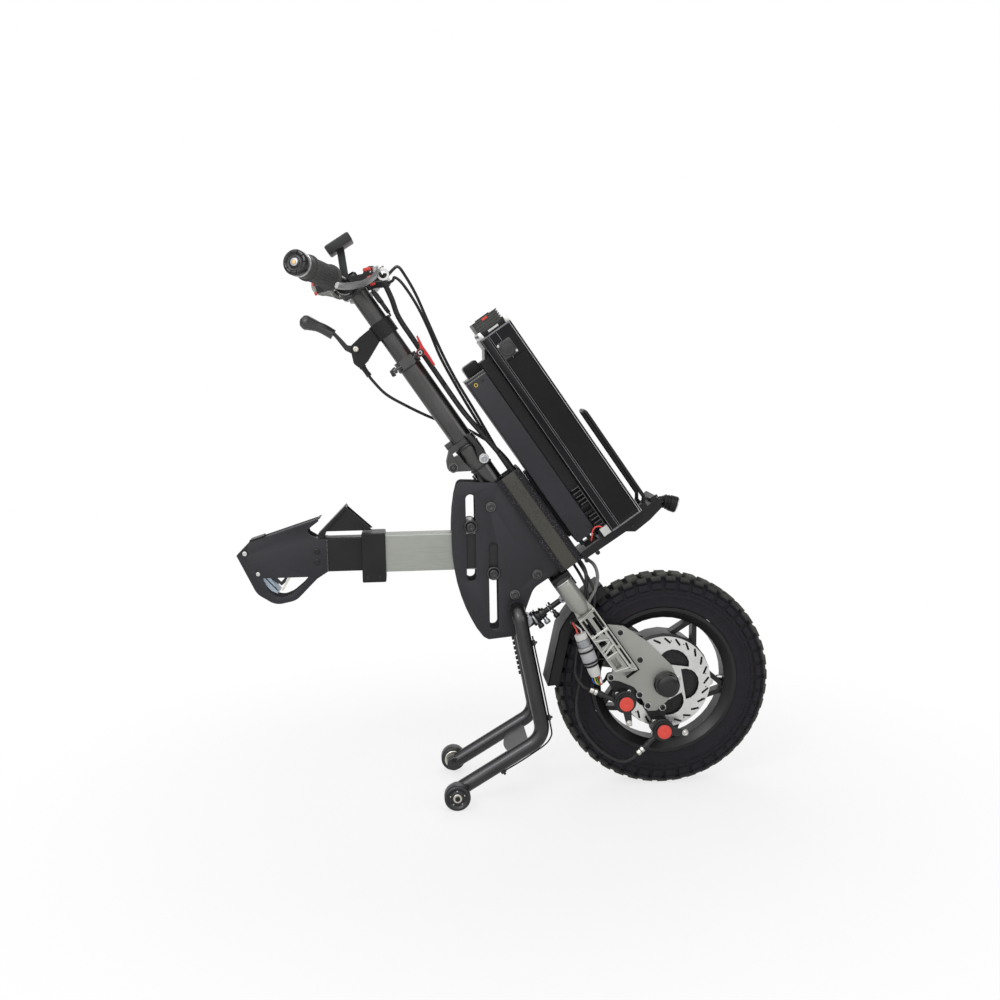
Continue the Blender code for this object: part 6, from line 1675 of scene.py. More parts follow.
class UNIT_OT_brakes(bpy.types.Operator):
    """Adds red caps, bolts, adjusters and cable clamps to the calipers"""

    bl_idname = "unit.brakes"
    bl_label = "Brakes"

    calipers = {
        "upper": ((0.193, 0.164), ((0.172, 0.202), (0.222, 0.17)), (0.199, 0.124),
                  ((0.181, 0.164), (0.132, 0.188))),
        "lower": ((0.258, 0.113), ((0.236, 0.15), (0.262, 0.146)), (0.3, 0.108),
                  ((0.252, 0.105), (0.214, 0.07))),
    }

    def execute(self, context):
        for name, (centre, ears, tip, stop) in self.calipers.items():
            self.cap(name, centre)
            self.fittings(name, centre, ears, tip, stop)
        return {"FINISHED"}

    def cap(self, name, centre):
        x, z = centre
        cap = turned(f"brake_cap_{name}", [
            (0, 0), (0, 0.0121), (0.0012, 0.0123), (0.002, 0.0119), (0.0023, 0.011), (0.0021, 0.0104),
            (0.0024, 0.0096), (0.0024, 0.003), (0.0018, 0.0024), (0.0018, 0)], (x, -0.0799, z), -ACROSS, 44)
        fitted(cap, "red_cap", "fork", edge=0.0001)
        ring = turned(f"brake_ring_{name}", [
            (0, 0.0158), (0, 0.0186), (0.001, 0.019), (0.0052, 0.019), (0.006, 0.0184), (0.006, 0.0158)],
            (x, -0.0652, z), -ACROSS, 44, ring=True)
        fitted(ring, "cast", "fork", edge=0.0002)

    def fittings(self, name, centre, ears, tip, stop):
        for k, (x, z) in enumerate(ears):
            head = screw(f"ear_bolt_{name}_{k}", (x, -0.0478, z), -ACROSS, 0.0046, 0.004, 0.5)
            fitted(head, "oxide", "fork", edge=0.0002)
            ring = turned(
                f"ear_washer_{name}_{k}", [(0, 0.004), (0, 0.0062), (0.0008, 0.006), (0.0008, 0.004)],
                (x, -0.0472, z), -ACROSS, 28, ring=True)
            fitted(ring, "steel", "fork")
        (sx, sz), (ex, ez) = stop
        start, end = Vector((sx, -0.0625, sz)), Vector((ex, -0.0625, ez))
        way = (end - start).normalized()
        length = (end - start).length
        for k, (at, long, radius, look) in enumerate((
                (length - 0.015, 0.0055, 0.0058, "steel"), (length - 0.0085, 0.007, 0.0052, "zinc"),
                (length - 0.026, 0.006, 0.0054, "cast"))):
            nut = turned(f"cable_nut_{name}_{k}", [
                (0, 0.0035), (0, radius - 0.0005), (0.0006, radius), (long - 0.0006, radius),
                (long, radius - 0.0005), (long, 0.0035)], start + way * at, way, 12, ring=True)
            fitted(nut, look, "fork", slot="steel", edge=0.0002, smooth=20)
        x, z = centre
        out = (Vector((tip[0], 0, tip[1])) - Vector((x, 0, z))).normalized()
        body = "pull_arm_" + name
        at = Vector((tip[0], -0.0752, tip[1])) - out * 0.005
        bolt = screw(f"pull_clamp_{name}", at, -ACROSS, 0.004, 0.0034, 0.5)
        fitted(bolt, "steel", body, edge=0.0002)
        jaw = turned(f"pull_washer_{name}", [(0, 0.003), (0, 0.0056), (0.001, 0.0054), (0.001, 0.003)],
                     at + ACROSS * 0.0002, -ACROSS, 24, ring=True)
        fitted(jaw, "zinc", body)
        beside = Vector((-out.z, 0, out.x))
        for k, lift in enumerate((-0.0105, 0.0105)):
            foot = Vector((x, -0.056, z)) - out * 0.014 + beside * lift
            lug = screw(f"body_bolt_{name}_{k}", foot, -ACROSS, 0.0036, 0.004, 0.5)
            fitted(lug, "steel", "fork", edge=0.0002)


class UNIT_OT_dock(bpy.types.Operator):
    """Builds the side plates with their bolts and sliders, and the fittings of the hook and collar"""

    bl_idname = "unit.dock"
    bl_label = "Side Plates and Dock"

    inner, outer = 0.021, 0.027
    slots = ((-0.062, 0.373, 0.522), (-0.0245, 0.288, 0.44))
    bolts = (("plate_bolt_upper", -0.0276, 0.5), ("plate_bolt_front", 0.05, 0.382),
             ("plate_bolt_lower", 0.011, 0.348))

    def execute(self, context):
        for way, name in SIDES:
            self.plate(way, name)
            slider = brick(f"slider_{name}", (-0.0815, 0.395, way * 0.0203), (-0.013, 0.454, way * 0.0208))
            worn(slider, "slider", "arm")
        for node, x, z in self.bolts:
            self.bolt(node, x, z)
        for node, x, z in (("slot_bolt_upper", -0.062, 0.467), ("slot_bolt_lower", -0.0245, 0.386)):
            self.slot_bolt(node, x, z)
        self.hook()
        self.catch()
        for way, name in SIDES:
            for k, (x, z) in enumerate(((-0.237, 0.384), (-0.216, 0.385))):
                head = screw(f"collar_screw_{name}_{k}", (x, way * 0.0263, z), ACROSS * way, 0.0032, 0.0016)
                fitted(head, "oxide", "arm")
        return {"FINISHED"}

    def plate(self, way, name):
        top, foot, heel = tilt(0.008, 0.038, 0), tilt(0.192, 0.038, 0), tilt(0.192, 0.006, 0)
        outline = rounded([
            (-0.0825, 0.5435, 0.01), (-0.012, 0.5405, 0.002), (top.x, top.z, 0.004),
            (foot.x, foot.z, 0.004), (heel.x, heel.z, 0.004), (0.043, 0.358, 0.03), (0.0125, 0.276, 0.006),
            (-0.035, 0.2715, 0.006), (-0.044, 0.2765, 0.01), (-0.0557, 0.2925, 0.03), (-0.065, 0.31, 0.06),
            (-0.0732, 0.3276, 0.06), (-0.0808, 0.349, 0.06), (-0.0872, 0.372, 0.06),
            (-0.0918, 0.3996, 0.08), (-0.094, 0.4198, 0.08), (-0.0948, 0.445, 0.08), (-0.0943, 0.469, 0.08),
            (-0.0925, 0.495, 0.08), (-0.0888, 0.52, 0.04)], 10)
        y0, y1 = sorted((way * self.inner, way * self.outer))
        plate = slab(f"side_cheek_{name}", outline, y0, y1)
        cutters = [slab("cut_stand", circle(0.014, 0.324, 0.0093, 32), y0 - 0.01, y1 + 0.01)]
        for x, low, high in self.slots:
            cutters.append(slab(
                "cut_slot", oblong(x - 0.008, low, x + 0.008, high, 0.0079, 8), y0 - 0.01, y1 + 0.01))
        for _, x, z in self.bolts:
            cutters.append(slab("cut_bolt", circle(x, z, 0.0043, 24), y0 - 0.01, y1 + 0.01))
        cut(plate, *cutters)
        fitted(plate, "plate", "frame", f"side_plate_{name}", edge=0.0007, segments=2)

    def bolt(self, node, x, z):
        parts = []
        middle = turned("sleeve", [(-0.0205, 0.0041), (-0.0205, 0.0062), (0.0205, 0.0062), (0.0205, 0.0041)],
                        (x, 0, z), ACROSS, 32, ring=True)
        parts.append(middle)
        parts.append(rod("shank", (x, -0.0272, z), (x, 0.0272, z), 0.004, 24))
        for way in (-1, 1):
            parts.append(screw("head", (x, way * 0.0273, z), ACROSS * way, 0.007, 0.0044, 0.5, 32))
        fitted(joined(node + "_fitted", parts), "bolt_black", "frame", node, edge=0.0003, segments=2)
        for way, name in SIDES:
            ring = turned(
                f"{node}_ring_{name}", [(0, 0.0071), (0, 0.0082), (0.0004, 0.008), (0.0004, 0.0071)],
                (x, way * 0.0271, z), ACROSS * way, 32, ring=True)
            fitted(ring, "grey_barrel", "frame")

    def slot_bolt(self, node, x, z):
        parts = [slab("slide", circle(x, z, 0.0074, 48), -0.0272, -0.0206),
                 slab("slide", circle(x, z, 0.0074, 48), 0.0206, 0.0272),
                 rod("shank", (x, -0.0272, z), (x, 0.0272, z), 0.005, 24)]
        for way in (-1, 1):
            parts.append(turned("washer", [
                (0, 0), (0, 0.0112), (0.0006, 0.0115), (0.0018, 0.0115), (0.0024, 0.0108), (0.0026, 0.0098),
                (0.002, 0.0086), (0.002, 0)], (x, way * 0.0273, z), ACROSS * way, 48))
            parts.append(screw("head", (x, way * 0.0292, z), ACROSS * way, 0.0072, 0.005, 0.46, 36))
        fitted(joined(node + "_fitted", parts), "bolt_black", "arm", node, edge=0.0003, segments=2)

    def hook(self):
        self.cheeks()
        face = 0.0207
        for way, name in SIDES:
            for k, (x, z, size, look) in enumerate((
                    (-0.3215, 0.432, 0.005, "oxide"), (-0.3215, 0.414, 0.005, "oxide"),
                    (-0.4205, 0.396, 0.0036, "steel"))):
                head = screw(f"hook_screw_{name}_{k}", (x, way * face, z), ACROSS * way, size, 0.002)
                fitted(head, look, "hook", slot="steel", edge=0.0002)
            beads = []
            for k in range(18):
                z = 0.397 + 0.0031 * k
                x = -0.3048 + 0.0003 * math.sin(2.3 * k)
                beads.append(turned("bead", [(0, 0), (0.0002, 0.0013), (0.0009, 0.0011), (0.0013, 0)],
                                    (x, way * 0.0176, z), ACROSS * way, 8))
            fitted(joined(f"hook_weld_{name}", beads), "grey_barrel", "hook", slot="plate_black")
        fold = slab("hook_fold", [
            (-0.4338, 0.4493), (-0.4335, 0.453), (-0.41, 0.4602), (-0.41, 0.457)], -0.015, 0.015)
        fitted(fold, "oxide", "hook", slot="plate_black", edge=0.0004)
        lip = slab("hook_lip", [
            (-0.32, 0.4852), (-0.319, 0.4872), (-0.315, 0.4888), (-0.314, 0.488), (-0.3178, 0.4856)],
            -0.019, 0.019)
        fitted(lip, "oxide", "hook", slot="plate_black", edge=0.0002)

    def cheeks(self):
        """Two cheeks joined by a folded top, open below, with a window in each cheek."""
        low, high = 0.396, 0.453
        outline = rounded([
            (-0.4555, 0.4285, 0.002), (-0.4345, 0.4495, 0.002), (-0.318, 0.4865, 0), (-0.3172, 0.4828, 0),
            (-0.3365, 0.4685, 0.003), (-0.3345, 0.462, 0), (-0.3205, high, 0), (-0.305, high, 0),
            (-0.305, low, 0), (-0.3225, 0.385, 0.01), (-0.3585, 0.349, 0.03), (-0.393, 0.342, 0.03),
            (-0.424, 0.362, 0.03)], 8)
        window = rounded([
            (-0.4145, 0.3885, 0), (-0.3345, 0.3885, 0), (-0.348, 0.374, 0.02), (-0.365, 0.36, 0.03),
            (-0.38, 0.354, 0.02), (-0.392, 0.3555, 0.02), (-0.403, 0.364, 0.03)], 6)
        cutters = [slab("cut_window", window, -0.05, 0.05),
                   slab("cut_pin", circle(-0.441, 0.4315, 0.0043, 32), -0.05, 0.05)]
        parts = []
        for way in (-1, 1):
            cheek = slab("cheek", outline, *sorted((way * 0.0176, way * 0.0206)))
            parts.append(cut(cheek, *[copied(piece, "cut") for piece in cutters]))
        for piece in cutters:
            bpy.data.objects.remove(piece)
        parts.append(slab("top", [
            (-0.432, 0.449), (-0.32, 0.4848), (-0.3209, 0.4816), (-0.433, 0.4455)], -0.0196, 0.0196))
        fitted(joined("hook_cheeks", parts), "plate", "hook", "hook_shell", edge=0.0005, segments=2)

    def catch(self):
        """The sprung catch: pin, folded zinc plate and the dark fork behind the window."""
        x, z = -0.441, 0.4315
        pin = turned("catch_pin", [
            (-0.023, 0), (-0.023, 0.0036), (-0.0226, 0.004), (0.0226, 0.004), (0.023, 0.0036), (0.023, 0)],
            (x, 0, z), ACROSS, 28)
        head = screw("head", (x, -0.0228, z), -ACROSS, 0.004, 0.0012)
        fitted(joined("catch_pin", [pin, head]), "steel", "catch", "latch", edge=0.0002)
        cheek = slab("catch_cheek", [
            (x - 0.009, z - 0.002), (x - 0.002, z + 0.0085), (x + 0.0062, z + 0.0075),
            (x + 0.01, z - 0.006), (-0.412, 0.39), (-0.4, 0.388), (-0.388, 0.365), (-0.3895, 0.361),
            (-0.4, 0.366), (-0.4155, 0.384), (x + 0.001, z - 0.0095)], -0.0168, -0.015)
        other = copied(cheek, "catch_cheek_far", shift=(0, 0.0318, 0))
        back = slab("catch_back", [
            (-0.412, 0.39), (-0.41, 0.3905), (-0.3862, 0.365), (-0.388, 0.3632)], -0.0168, 0.0168)
        spine = slab("catch_spine", [
            (x + 0.004, z - 0.004), (x + 0.006, z - 0.003), (-0.4104, 0.3905), (-0.412, 0.3898)],
            -0.016, 0.016)
        fitted(joined("catch_plate", [cheek, other, back, spine]), "blue_zinc", "catch", edge=0.0002)
        fork = slab("catch_fork", [
            (-0.401, 0.396), (-0.39, 0.38), (-0.383, 0.374), (-0.377, 0.379), (-0.368, 0.396),
            (-0.372, 0.397), (-0.379, 0.385), (-0.384, 0.38), (-0.389, 0.385), (-0.395, 0.397)],
            -0.014, -0.008)
        fitted(fork, "end_black", "catch", edge=0.0003)
        stay = slab("catch_stay", [
            (-0.368, 0.393), (-0.364, 0.394), (-0.38, 0.366), (-0.384, 0.3655)], -0.015, -0.006)
        fitted(stay, "zinc", "catch", edge=0.0003)


class UNIT_OT_stand(bpy.types.Operator):
    """Builds the bent legs, the foot plate, the dished rollers and the release rod with its clamps"""

    bl_idname = "unit.stand"
    bl_label = "Stand"

    pin_x, pin_z = 0.014, 0.324
    axle_x, axle_z = -0.097, 0.022
    pivot = Vector((pin_x, 0.0282, pin_z))
    knee = Vector((0.053, 0.07, 0.1105))
    foot = Vector((axle_x, 0.07, axle_z))
    radius = 0.0127

    def execute(self, context):
        for way, name in SIDES:
            self.leg(way, name)
            self.roller(way, name)
        self.plate()
        self.rod()
        return {"FINISHED"}

    def sided(self, point, way):
        return Vector((point[0], point[1] * way, point[2]))

    def at_axle(self, y, way):
        """On the rollers' axle, y out from the middle plane on one side."""
        return self.sided((self.axle_x, y, self.axle_z), way)

    def leg(self, way, name):
        lower = (self.knee - self.foot).normalized()
        route = bent([(self.sided(point, way), radius) for point, radius in (
            (self.pivot, 0), (Vector((self.pin_x, 0.0535, self.pin_z)), 0.019), (self.knee, 0.034),
            (self.foot + lower * 0.008, 0))], 16)
        leg = swept("leg", route, self.radius, 32)
        bar = rod("bar", (self.pin_x, 0, self.pin_z), (self.pin_x, way * 0.0342, self.pin_z), 0.009, 32)
        boss = turned("boss", [
            (0, 0), (0, 0.0112), (0.0008, 0.012), (0.024, 0.012), (0.0248, 0.0112), (0.0248, 0)],
            self.at_axle(0.058, way), ACROSS * way, 32)
        stub = rod("stub", self.at_axle(0.08, way), self.at_axle(0.106, way), 0.005, 24)
        piece = joined(f"stand_leg_{name}", [leg, bar, boss, stub])
        nodes = ("stand_frame",) if way < 0 else ()
        fitted(piece, "stand", "stand", *nodes, edge=0.0003, smooth=40)
        ring = turned(f"leg_ring_{name}", [
            (0, 0.0126), (0, 0.015), (0.0008, 0.0154), (0.002, 0.015), (0.002, 0.0126)],
            (self.pin_x, way * 0.0284, self.pin_z), ACROSS * way, 40, ring=True)
        fitted(ring, "slider", "stand")

    def roller(self, way, name):
        letter = "n" if way < 0 else "f"
        base = self.at_axle(0.096, way)
        body = turned(f"roller_tread_{name}", [
            (-0.012, 0.006), (-0.012, 0.018), (-0.0108, 0.0208), (-0.0085, 0.022), (0.0085, 0.022),
            (0.0108, 0.0208), (0.012, 0.0186), (0.0116, 0.0166), (0.01, 0.0152), (0.009, 0.0135),
            (0.0096, 0.011), (0.0104, 0.0104), (0.0104, 0.006)], base, ACROSS * way, 48, ring=True)
        fitted(
            body, "roller", f"roller_{letter}", "roller_near" if way < 0 else "roller_far", edge=0.0002,
            smooth=40)
        for k in range(5):
            angle = math.radians(72 * k + 20)
            at = base + ACROSS * way * 0.0088 + Vector((math.cos(angle), 0, math.sin(angle))) * 0.0124
            pit = turned(f"roller_stud_{name}_{k}", [(0, 0), (0, 0.0014), (0.0008, 0.0011), (0.001, 0)], at,
                         ACROSS * way, 12)
            fitted(pit, "zinc", f"roller_{letter}")
        head = turned(
            f"roller_washer_{name}", [(0, 0), (0, 0.0072), (0.0006, 0.0076), (0.0012, 0.007), (0.0012, 0)],
            base + ACROSS * way * 0.0106, ACROSS * way, 32)
        fitted(head, "zinc", "stand")
        bolt = screw(f"roller_bolt_{name}", base + ACROSS * way * 0.0116, ACROSS * way, 0.0044, 0.002, 0.5)
        fitted(bolt, "oxide", "stand")
        cover = turned(
            f"roller_shield_{name}", [(0, 0), (0, 0.015), (0.0006, 0.0158), (0.0012, 0.015), (0.0012, 0)],
            self.at_axle(0.0825, way), ACROSS * way, 40)
        fitted(cover, "zinc", "stand")

    def plate(self):
        lower = (self.knee - self.foot).normalized()
        half = 0.062
        level = self.knee.z - self.knee.x * lower.z / lower.x

        def sloped(a, b, c):
            return Vector((a * lower.x - c * lower.z, b, level + a * lower.z + c * lower.x))
        edge = [(0.004 - 0.016 * (1 - (b / half) ** 2), b) for b in (half * k / 16 for k in range(-16, 17))]
        plate = slab("stand_plate", [(0.033, half), (0.033, -half)] + edge, -0.0015, 0.0015, sloped)
        fitted(plate, "stand", "stand", edge=0.0004)

    def rod(self):
        """The thin rod down the front of the near leg, held by small clamps."""
        y = -self.knee.y
        pin = Vector((self.pin_x, 0, self.pin_z))
        upper = (self.knee - Vector((self.pin_x, self.knee.y, self.pin_z))).normalized()
        ahead = Vector((-upper.z, 0, upper.x))
        lower = (self.foot - self.knee).normalized()
        below = Vector((-lower.z, 0, lower.x))
        stand_off = self.radius + 0.0022
        knee = Vector((self.knee.x, 0, self.knee.z))
        a = pin + upper * 0.045 + ahead * stand_off
        b = knee - upper * 0.03 + ahead * stand_off
        c = knee + (ahead + below).normalized() * (stand_off - 0.004)
        d = knee + lower * 0.036 + below * stand_off
        e = knee + lower * 0.09 + below * stand_off
        points = [p + ACROSS * (y + shift) for p, shift in ((a, 0.012), (b, 0.002), (c, 0), (d, 0), (e, 0))]
        route = flowing(points, 8)
        wire = swept("release_rod", route, 0.0014, 10)
        fitted(wire, "oxide", "stand")
        for k, (at, tangent, side) in enumerate((
                (points[0] + upper * 0.012, upper, ahead), (points[1], upper, ahead),
                (points[4], lower, below))):
            jaw = turned(
                "jaw", [(0, 0), (0, 0.003), (0.009, 0.003), (0.009, 0)], at - tangent * 0.0045, tangent, 12)
            ear = rod("ear", at + side * 0.001, at + side * 0.0058, 0.0022, 12)
            tongue = rod("tongue", at - side * 0.005, at, 0.0024, 12)
            fitted(joined(f"rod_clamp_{k}", [jaw, ear, tongue]), "end_black", "stand", edge=0.0003)
        strip = []
        for k in range(11):
            at = pin + upper * (0.04 + 0.0095 * k) - ahead * (self.radius + 0.0006)
            at.y = 0.056 + 0.001 * k
            strip.append(turned("tooth", [(0, 0), (0, 0.0024), (0.006, 0.0024), (0.006, 0)], at, upper, 8))
        fitted(joined("leg_strip", strip), "end_black", "stand", edge=0.0003)


class UNIT_OT_bars(bpy.types.Operator):
    """Builds the grips, display, lever fittings, switch pod and the parking lever's handle"""

    bl_idname = "unit.bars"
    bl_label = "Bars and Controls"

    sweep = Vector((BAR.x, 0.069, BAR.z))
    tip = Vector((BAR.x - 0.0655, 0.236, BAR.z + 0.0225))

    def execute(self, context):
        self.near_grip()
        self.far_grip()
        self.display()
        for way, name in SIDES:
            self.perch(way, name)
        self.pod()
        self.parking()
        self.connectors()
        return {"FINISHED"}

    def axis(self, way):
        start = self.sweep.lerp(self.tip, 0.305)
        end = self.tip
        start, end = Vector((start.x, way * start.y, start.z)), Vector((end.x, way * end.y, end.z))
        return start, (end - start).normalized(), (end - start).length

    def ribs(self, name, start, end, way, lift, count):
        """Fine ribs along a grip, each at its lift from the grip's axis."""
        return joined(name, [rod("rib", start + out * lift, end + out * lift, 0.0009, 6)
                             for out in round_about(way, count)])

    def near_grip(self):
        start, way, length = self.axis(-1)
        bore = 0.0118
        sleeve = turned("throttle_sleeve", [
            (0.006, bore), (0.006, 0.0198), (0.0068, 0.0205), (0.0112, 0.0205), (0.012, 0.019),
            (0.013, 0.0175), (length - 0.046, 0.0175), (length - 0.0452, 0.02), (length - 0.0425, 0.02),
            (length - 0.0418, 0.0176), (length - 0.02, 0.0176), (length - 0.02, bore)],
            start, way, 64, ring=True)
        fitted(sleeve, "grip", "twist_grip", "throttle", edge=0.0003)
        ribs = self.ribs("throttle_ribs", start + way * 0.015, start + way * (length - 0.048), way,
                         0.0172, 30)
        fitted(ribs, "grip", "twist_grip")
        for k, (at, long, size, look) in enumerate((
                (0.0196, 0.0022, 0.0184, "steel"), (0.0172, 0.0012, 0.017, "oxide"),
                (0.0158, 0.002, 0.0186, "steel"))):
            ring = turned(f"throttle_ring_{k}", [
                (0, bore), (0, size - 0.0004), (0.0004, size), (long - 0.0004, size), (long, size - 0.0004),
                (long, bore)], start + way * (length - at), way, 64, ring=True)
            fitted(ring, look, "twist_grip", slot="steel")
        cap = turned("throttle_cap", [
            (-0.0136, 0), (-0.0136, 0.0186), (-0.0128, 0.019), (-0.003, 0.019), (-0.0008, 0.0178),
            (-0.0002, 0.015), (-0.001, 0.0128), (-0.0024, 0.0118), (-0.0024, 0.0084), (-0.0008, 0.0076),
            (-0.0008, 0)], start + way * length, way, 64)
        cut(cap, *[rod("cut_slot", start + way * (length - 0.0012) + out * 0.0124,
                       start + way * (length - 0.0006) + out * 0.0196, 0.0012, 8)
                   for out in round_about(way, 10)])
        fitted(cap, "end_black", "twist_grip", slot="grip_grey", edge=0.0002)
        for name, size, high, look in (
                ("throttle_hub", 0.0058, 0.0006, "steel_dull"),
                ("throttle_screw", 0.0034, 0.0012, "brass")):
            hub = turned(name, [(-0.001, 0), (-0.001, size), (high * 0.6, size), (high, size * 0.8),
                                (high, 0)], start + way * length - way * 0.0002, way, 32)
            fitted(hub, look, "twist_grip", slot="steel")

    def far_grip(self):
        start, way, length = self.axis(1)
        bore = 0.0118
        sleeve = turned("far_sleeve", [
            (0.006, bore), (0.006, 0.018), (0.0066, 0.0185), (0.0108, 0.0185), (0.0114, 0.017),
            (0.0124, 0.0164), (length - 0.02, 0.0164), (length - 0.0192, 0.0184), (length - 0.003, 0.0186),
            (length - 0.0006, 0.0172), (length - 0.0002, 0.015), (length - 0.0008, 0.006),
            (length - 0.0008, 0)], start, way, 64)
        fitted(sleeve, "grip_silver", "bars", "grip_far", edge=0.0002)
        ribs = self.ribs("far_ribs", start + way * 0.014, start + way * (length - 0.022), way, 0.016, 28)
        fitted(ribs, "grip", "bars")

    def display(self):
        parts = [turned("band", [(-0.0065, 0.0115), (-0.0065, 0.0146), (-0.006, 0.015), (0.006, 0.015),
                                 (0.0065, 0.0146), (0.0065, 0.0115)], (BAR.x, -0.03, BAR.z), ACROSS, 40,
                        ring=True)]
        parts.append(slab("post", rounded([
            (BAR.x - 0.0105, BAR.z + 0.012, 0.001), (BAR.x + 0.0015, BAR.z + 0.0135, 0.001),
            (BAR.x - 0.005, BAR.z + 0.064, 0.001), (BAR.x - 0.0165, BAR.z + 0.06, 0.001)], 3),
            -0.0352, -0.0248))
        tip = math.radians(32)

        def leaning(a, b, c):
            return Vector((BAR.x - 0.0125 + a * math.cos(tip) - b * math.sin(tip), c,
                           BAR.z + 0.068 + a * math.sin(tip) + b * math.cos(tip)))
        case = slab("case", rounded([
            (-0.0225, -0.0075, 0.003), (0.0225, -0.0075, 0.003), (0.0225, 0.0065, 0.002),
            (-0.0225, 0.0065, 0.002)], 4), -0.06, 0.002, leaning)
        parts.append(case)
        fitted(joined("display_unit", parts), "display", "bars", "display", edge=0.0007, segments=2)
        bezel = slab("display_bezel", oblong(-0.0205, -0.0582, 0.0205, 0.0002, 0.002, 3),
                     0.0062, 0.0072, lambda a, b, c: leaning(a, c, b))
        fitted(bezel, "grey_barrel", "bars", edge=0.0002)
        glass = slab("display_glass", oblong(-0.019, -0.0566, 0.019, -0.0014, 0.001, 3),
                     0.0068, 0.0076, lambda a, b, c: leaning(a, c, b))
        fitted(glass, "screen", "bars")
        for k, x in enumerate((-0.01, 0.01)):
            head = screw(
                f"display_clamp_{k}", (BAR.x + x * 1.2, -0.03, BAR.z + 0.015), (0, 0, 1), 0.0026, 0.0022)
            fitted(head, "zinc", "bars")

    def perch(self, way, name):
        x, z = PERCH
        y = way * 0.074
        lever = "brake_near" if way < 0 else "brake_far"
        cap = turned(f"lever_cap_{name}", [
            (0, 0), (0, 0.0046), (0.0006, 0.005), (0.0022, 0.0044), (0.0026, 0)],
            (x - 0.0003, y, z + 0.008), (0, 0, 1), 32)
        fitted(cap, "steel", lever)
        ring = turned(f"lever_ring_{name}", [
            (0, 0.0062), (0, 0.0096), (0.002, 0.01), (0.0044, 0.0096), (0.0044, 0.0062)],
            (x + 0.003, y + way * 0.0074, z - 0.004), ACROSS * way, 40, ring=True)
        fitted(ring, "steel", "bars", edge=0.0002)
        for k, (dx, dz, long) in enumerate(((-0.03, 0.001, 0.015), (-0.024, -0.012, 0.011))):
            trim = slab(f"lever_trim_{name}_{k}", rounded([
                (x + dx, z + dz, 0.0015), (x + dx + long, z + dz + 0.003, 0.0015),
                (x + dx + long - 0.002, z + dz + 0.0075, 0.0015),
                (x + dx + 0.002, z + dz + 0.0052, 0.0015)], 3), y - 0.0086, y + 0.0086)
            fitted(trim, "red_cap", "bars", edge=0.0006, segments=2)
        for k, dz in enumerate((-0.0058, 0.0058)):
            head = screw(
                f"perch_screw_{name}_{k}", (BAR.x - 0.0185, y, BAR.z + dz), (-1, 0, 0), 0.0026, 0.0024)
            fitted(head, "steel", "bars")
        nut = turned(f"lever_nut_{name}", [
            (0, 0.002), (0, 0.0052), (0.0006, 0.0056), (0.0054, 0.0056), (0.006, 0.0052), (0.006, 0.002)],
            (x + 0.003, y, z - 0.007), (1, 0, 0.15), 12, ring=True)
        fitted(nut, "end_black", "bars", edge=0.0002, smooth=20)

    def pod(self):
        """The switch pod with its red keys, clamped beside the near lever."""
        pod = turned("switch_pod", [
            (0, 0), (0, 0.0085), (0.001, 0.0098), (0.015, 0.0102), (0.02, 0.009), (0.0212, 0.007),
            (0.0212, 0)], (-0.301, -0.108, 0.862), Vector((0.9, 0.08, 0.26)), 40)
        fitted(pod, "display", "bars", edge=0.0003)
        stalk = swept("switch_stalk", flowing([
            (-0.283, -0.106, 0.868), (-0.274, -0.096, 0.876), (-0.266, -0.086, 0.885)], 6), 0.0042, 14)
        fitted(stalk, "end_black", "bars", slot="satin_black")
        for k, (at, size) in enumerate((
                ((-0.3022, -0.108, 0.868), 0.003), ((-0.299, -0.108, 0.8535), 0.0028))):
            key = turned(f"switch_key_{k}", [
                (0, 0), (0, size), (0.003, size), (0.0038, size * 0.7), (0.0038, 0)], at,
                Vector((-0.9, -0.08, -0.26)), 20)
            fitted(key, "red_cap", "bars")

    def parking(self):
        pivot = Vector((-0.246, 0, 0.768))
        ring = turned("ring", [(-0.0038, 0.0037), (-0.0038, 0.0085), (0.0038, 0.0085), (0.0038, 0.0037)],
                      pivot, ACROSS, 36, ring=True)
        arm = slab("arm", rounded([
            (-0.24, 0.762, 0.002), (-0.252, 0.76, 0.003), (-0.264, 0.766, 0.005),
            (-0.279, 0.786, 0.003), (-0.285, 0.793, 0.001), (-0.281, 0.7975, 0.001),
            (-0.27, 0.786, 0.004), (-0.26, 0.7745, 0.006), (-0.25, 0.7735, 0.003)], 4), -0.0024, 0.0024)
        cut(arm, rod("cut_ring", pivot - ACROSS * 0.01, pivot + ACROSS * 0.01, 0.0062, 24))
        fitted(
            joined("parking_arm", [ring, arm]), "end_black", "park_lever", "hand_lever", slot="satin_black",
            edge=0.0003)
        route = flowing([
            (-0.3375, 0, 0.816), (-0.3362, 0, 0.8157), (-0.334, 0, 0.815), (-0.33, 0, 0.814),
            (-0.323, 0, 0.8118), (-0.313, 0, 0.8082), (-0.302, 0, 0.8036), (-0.292, 0, 0.798),
            (-0.283, 0, 0.7925)], 5)
        ball, gone, radii = 0.0126, 0.0, []
        for k, point in enumerate(route):
            gone += (point - route[max(k - 1, 0)]).length
            if gone < ball:
                radii.append(max(math.sqrt(max(ball ** 2 - (ball - gone) ** 2, 0)), 0.0012))
            else:
                radii.append(ball - 0.0038 * min((gone - ball) / 0.018, 1) ** 0.8)
        handle = swept("parking_handle", route, radii, 32)
        fitted(handle, "knob_grey", "park_lever", slot="satin_black", smooth=60)
        for way, name in SIDES:
            boss = turned(f"parking_boss_{name}", [
                (0, 0), (0, 0.0066), (0.0014, 0.0066), (0.002, 0.0058), (0.002, 0)],
                pivot + ACROSS * way * 0.0081, ACROSS * way, 32)
            fitted(boss, "end_black", "bars", slot="satin_black", edge=0.0002)
            head = screw(
                f"parking_bolt_{name}", pivot + ACROSS * way * 0.01, ACROSS * way, 0.0046, 0.0022, 0.5)
            fitted(head, "zinc", "bars", edge=0.0002)
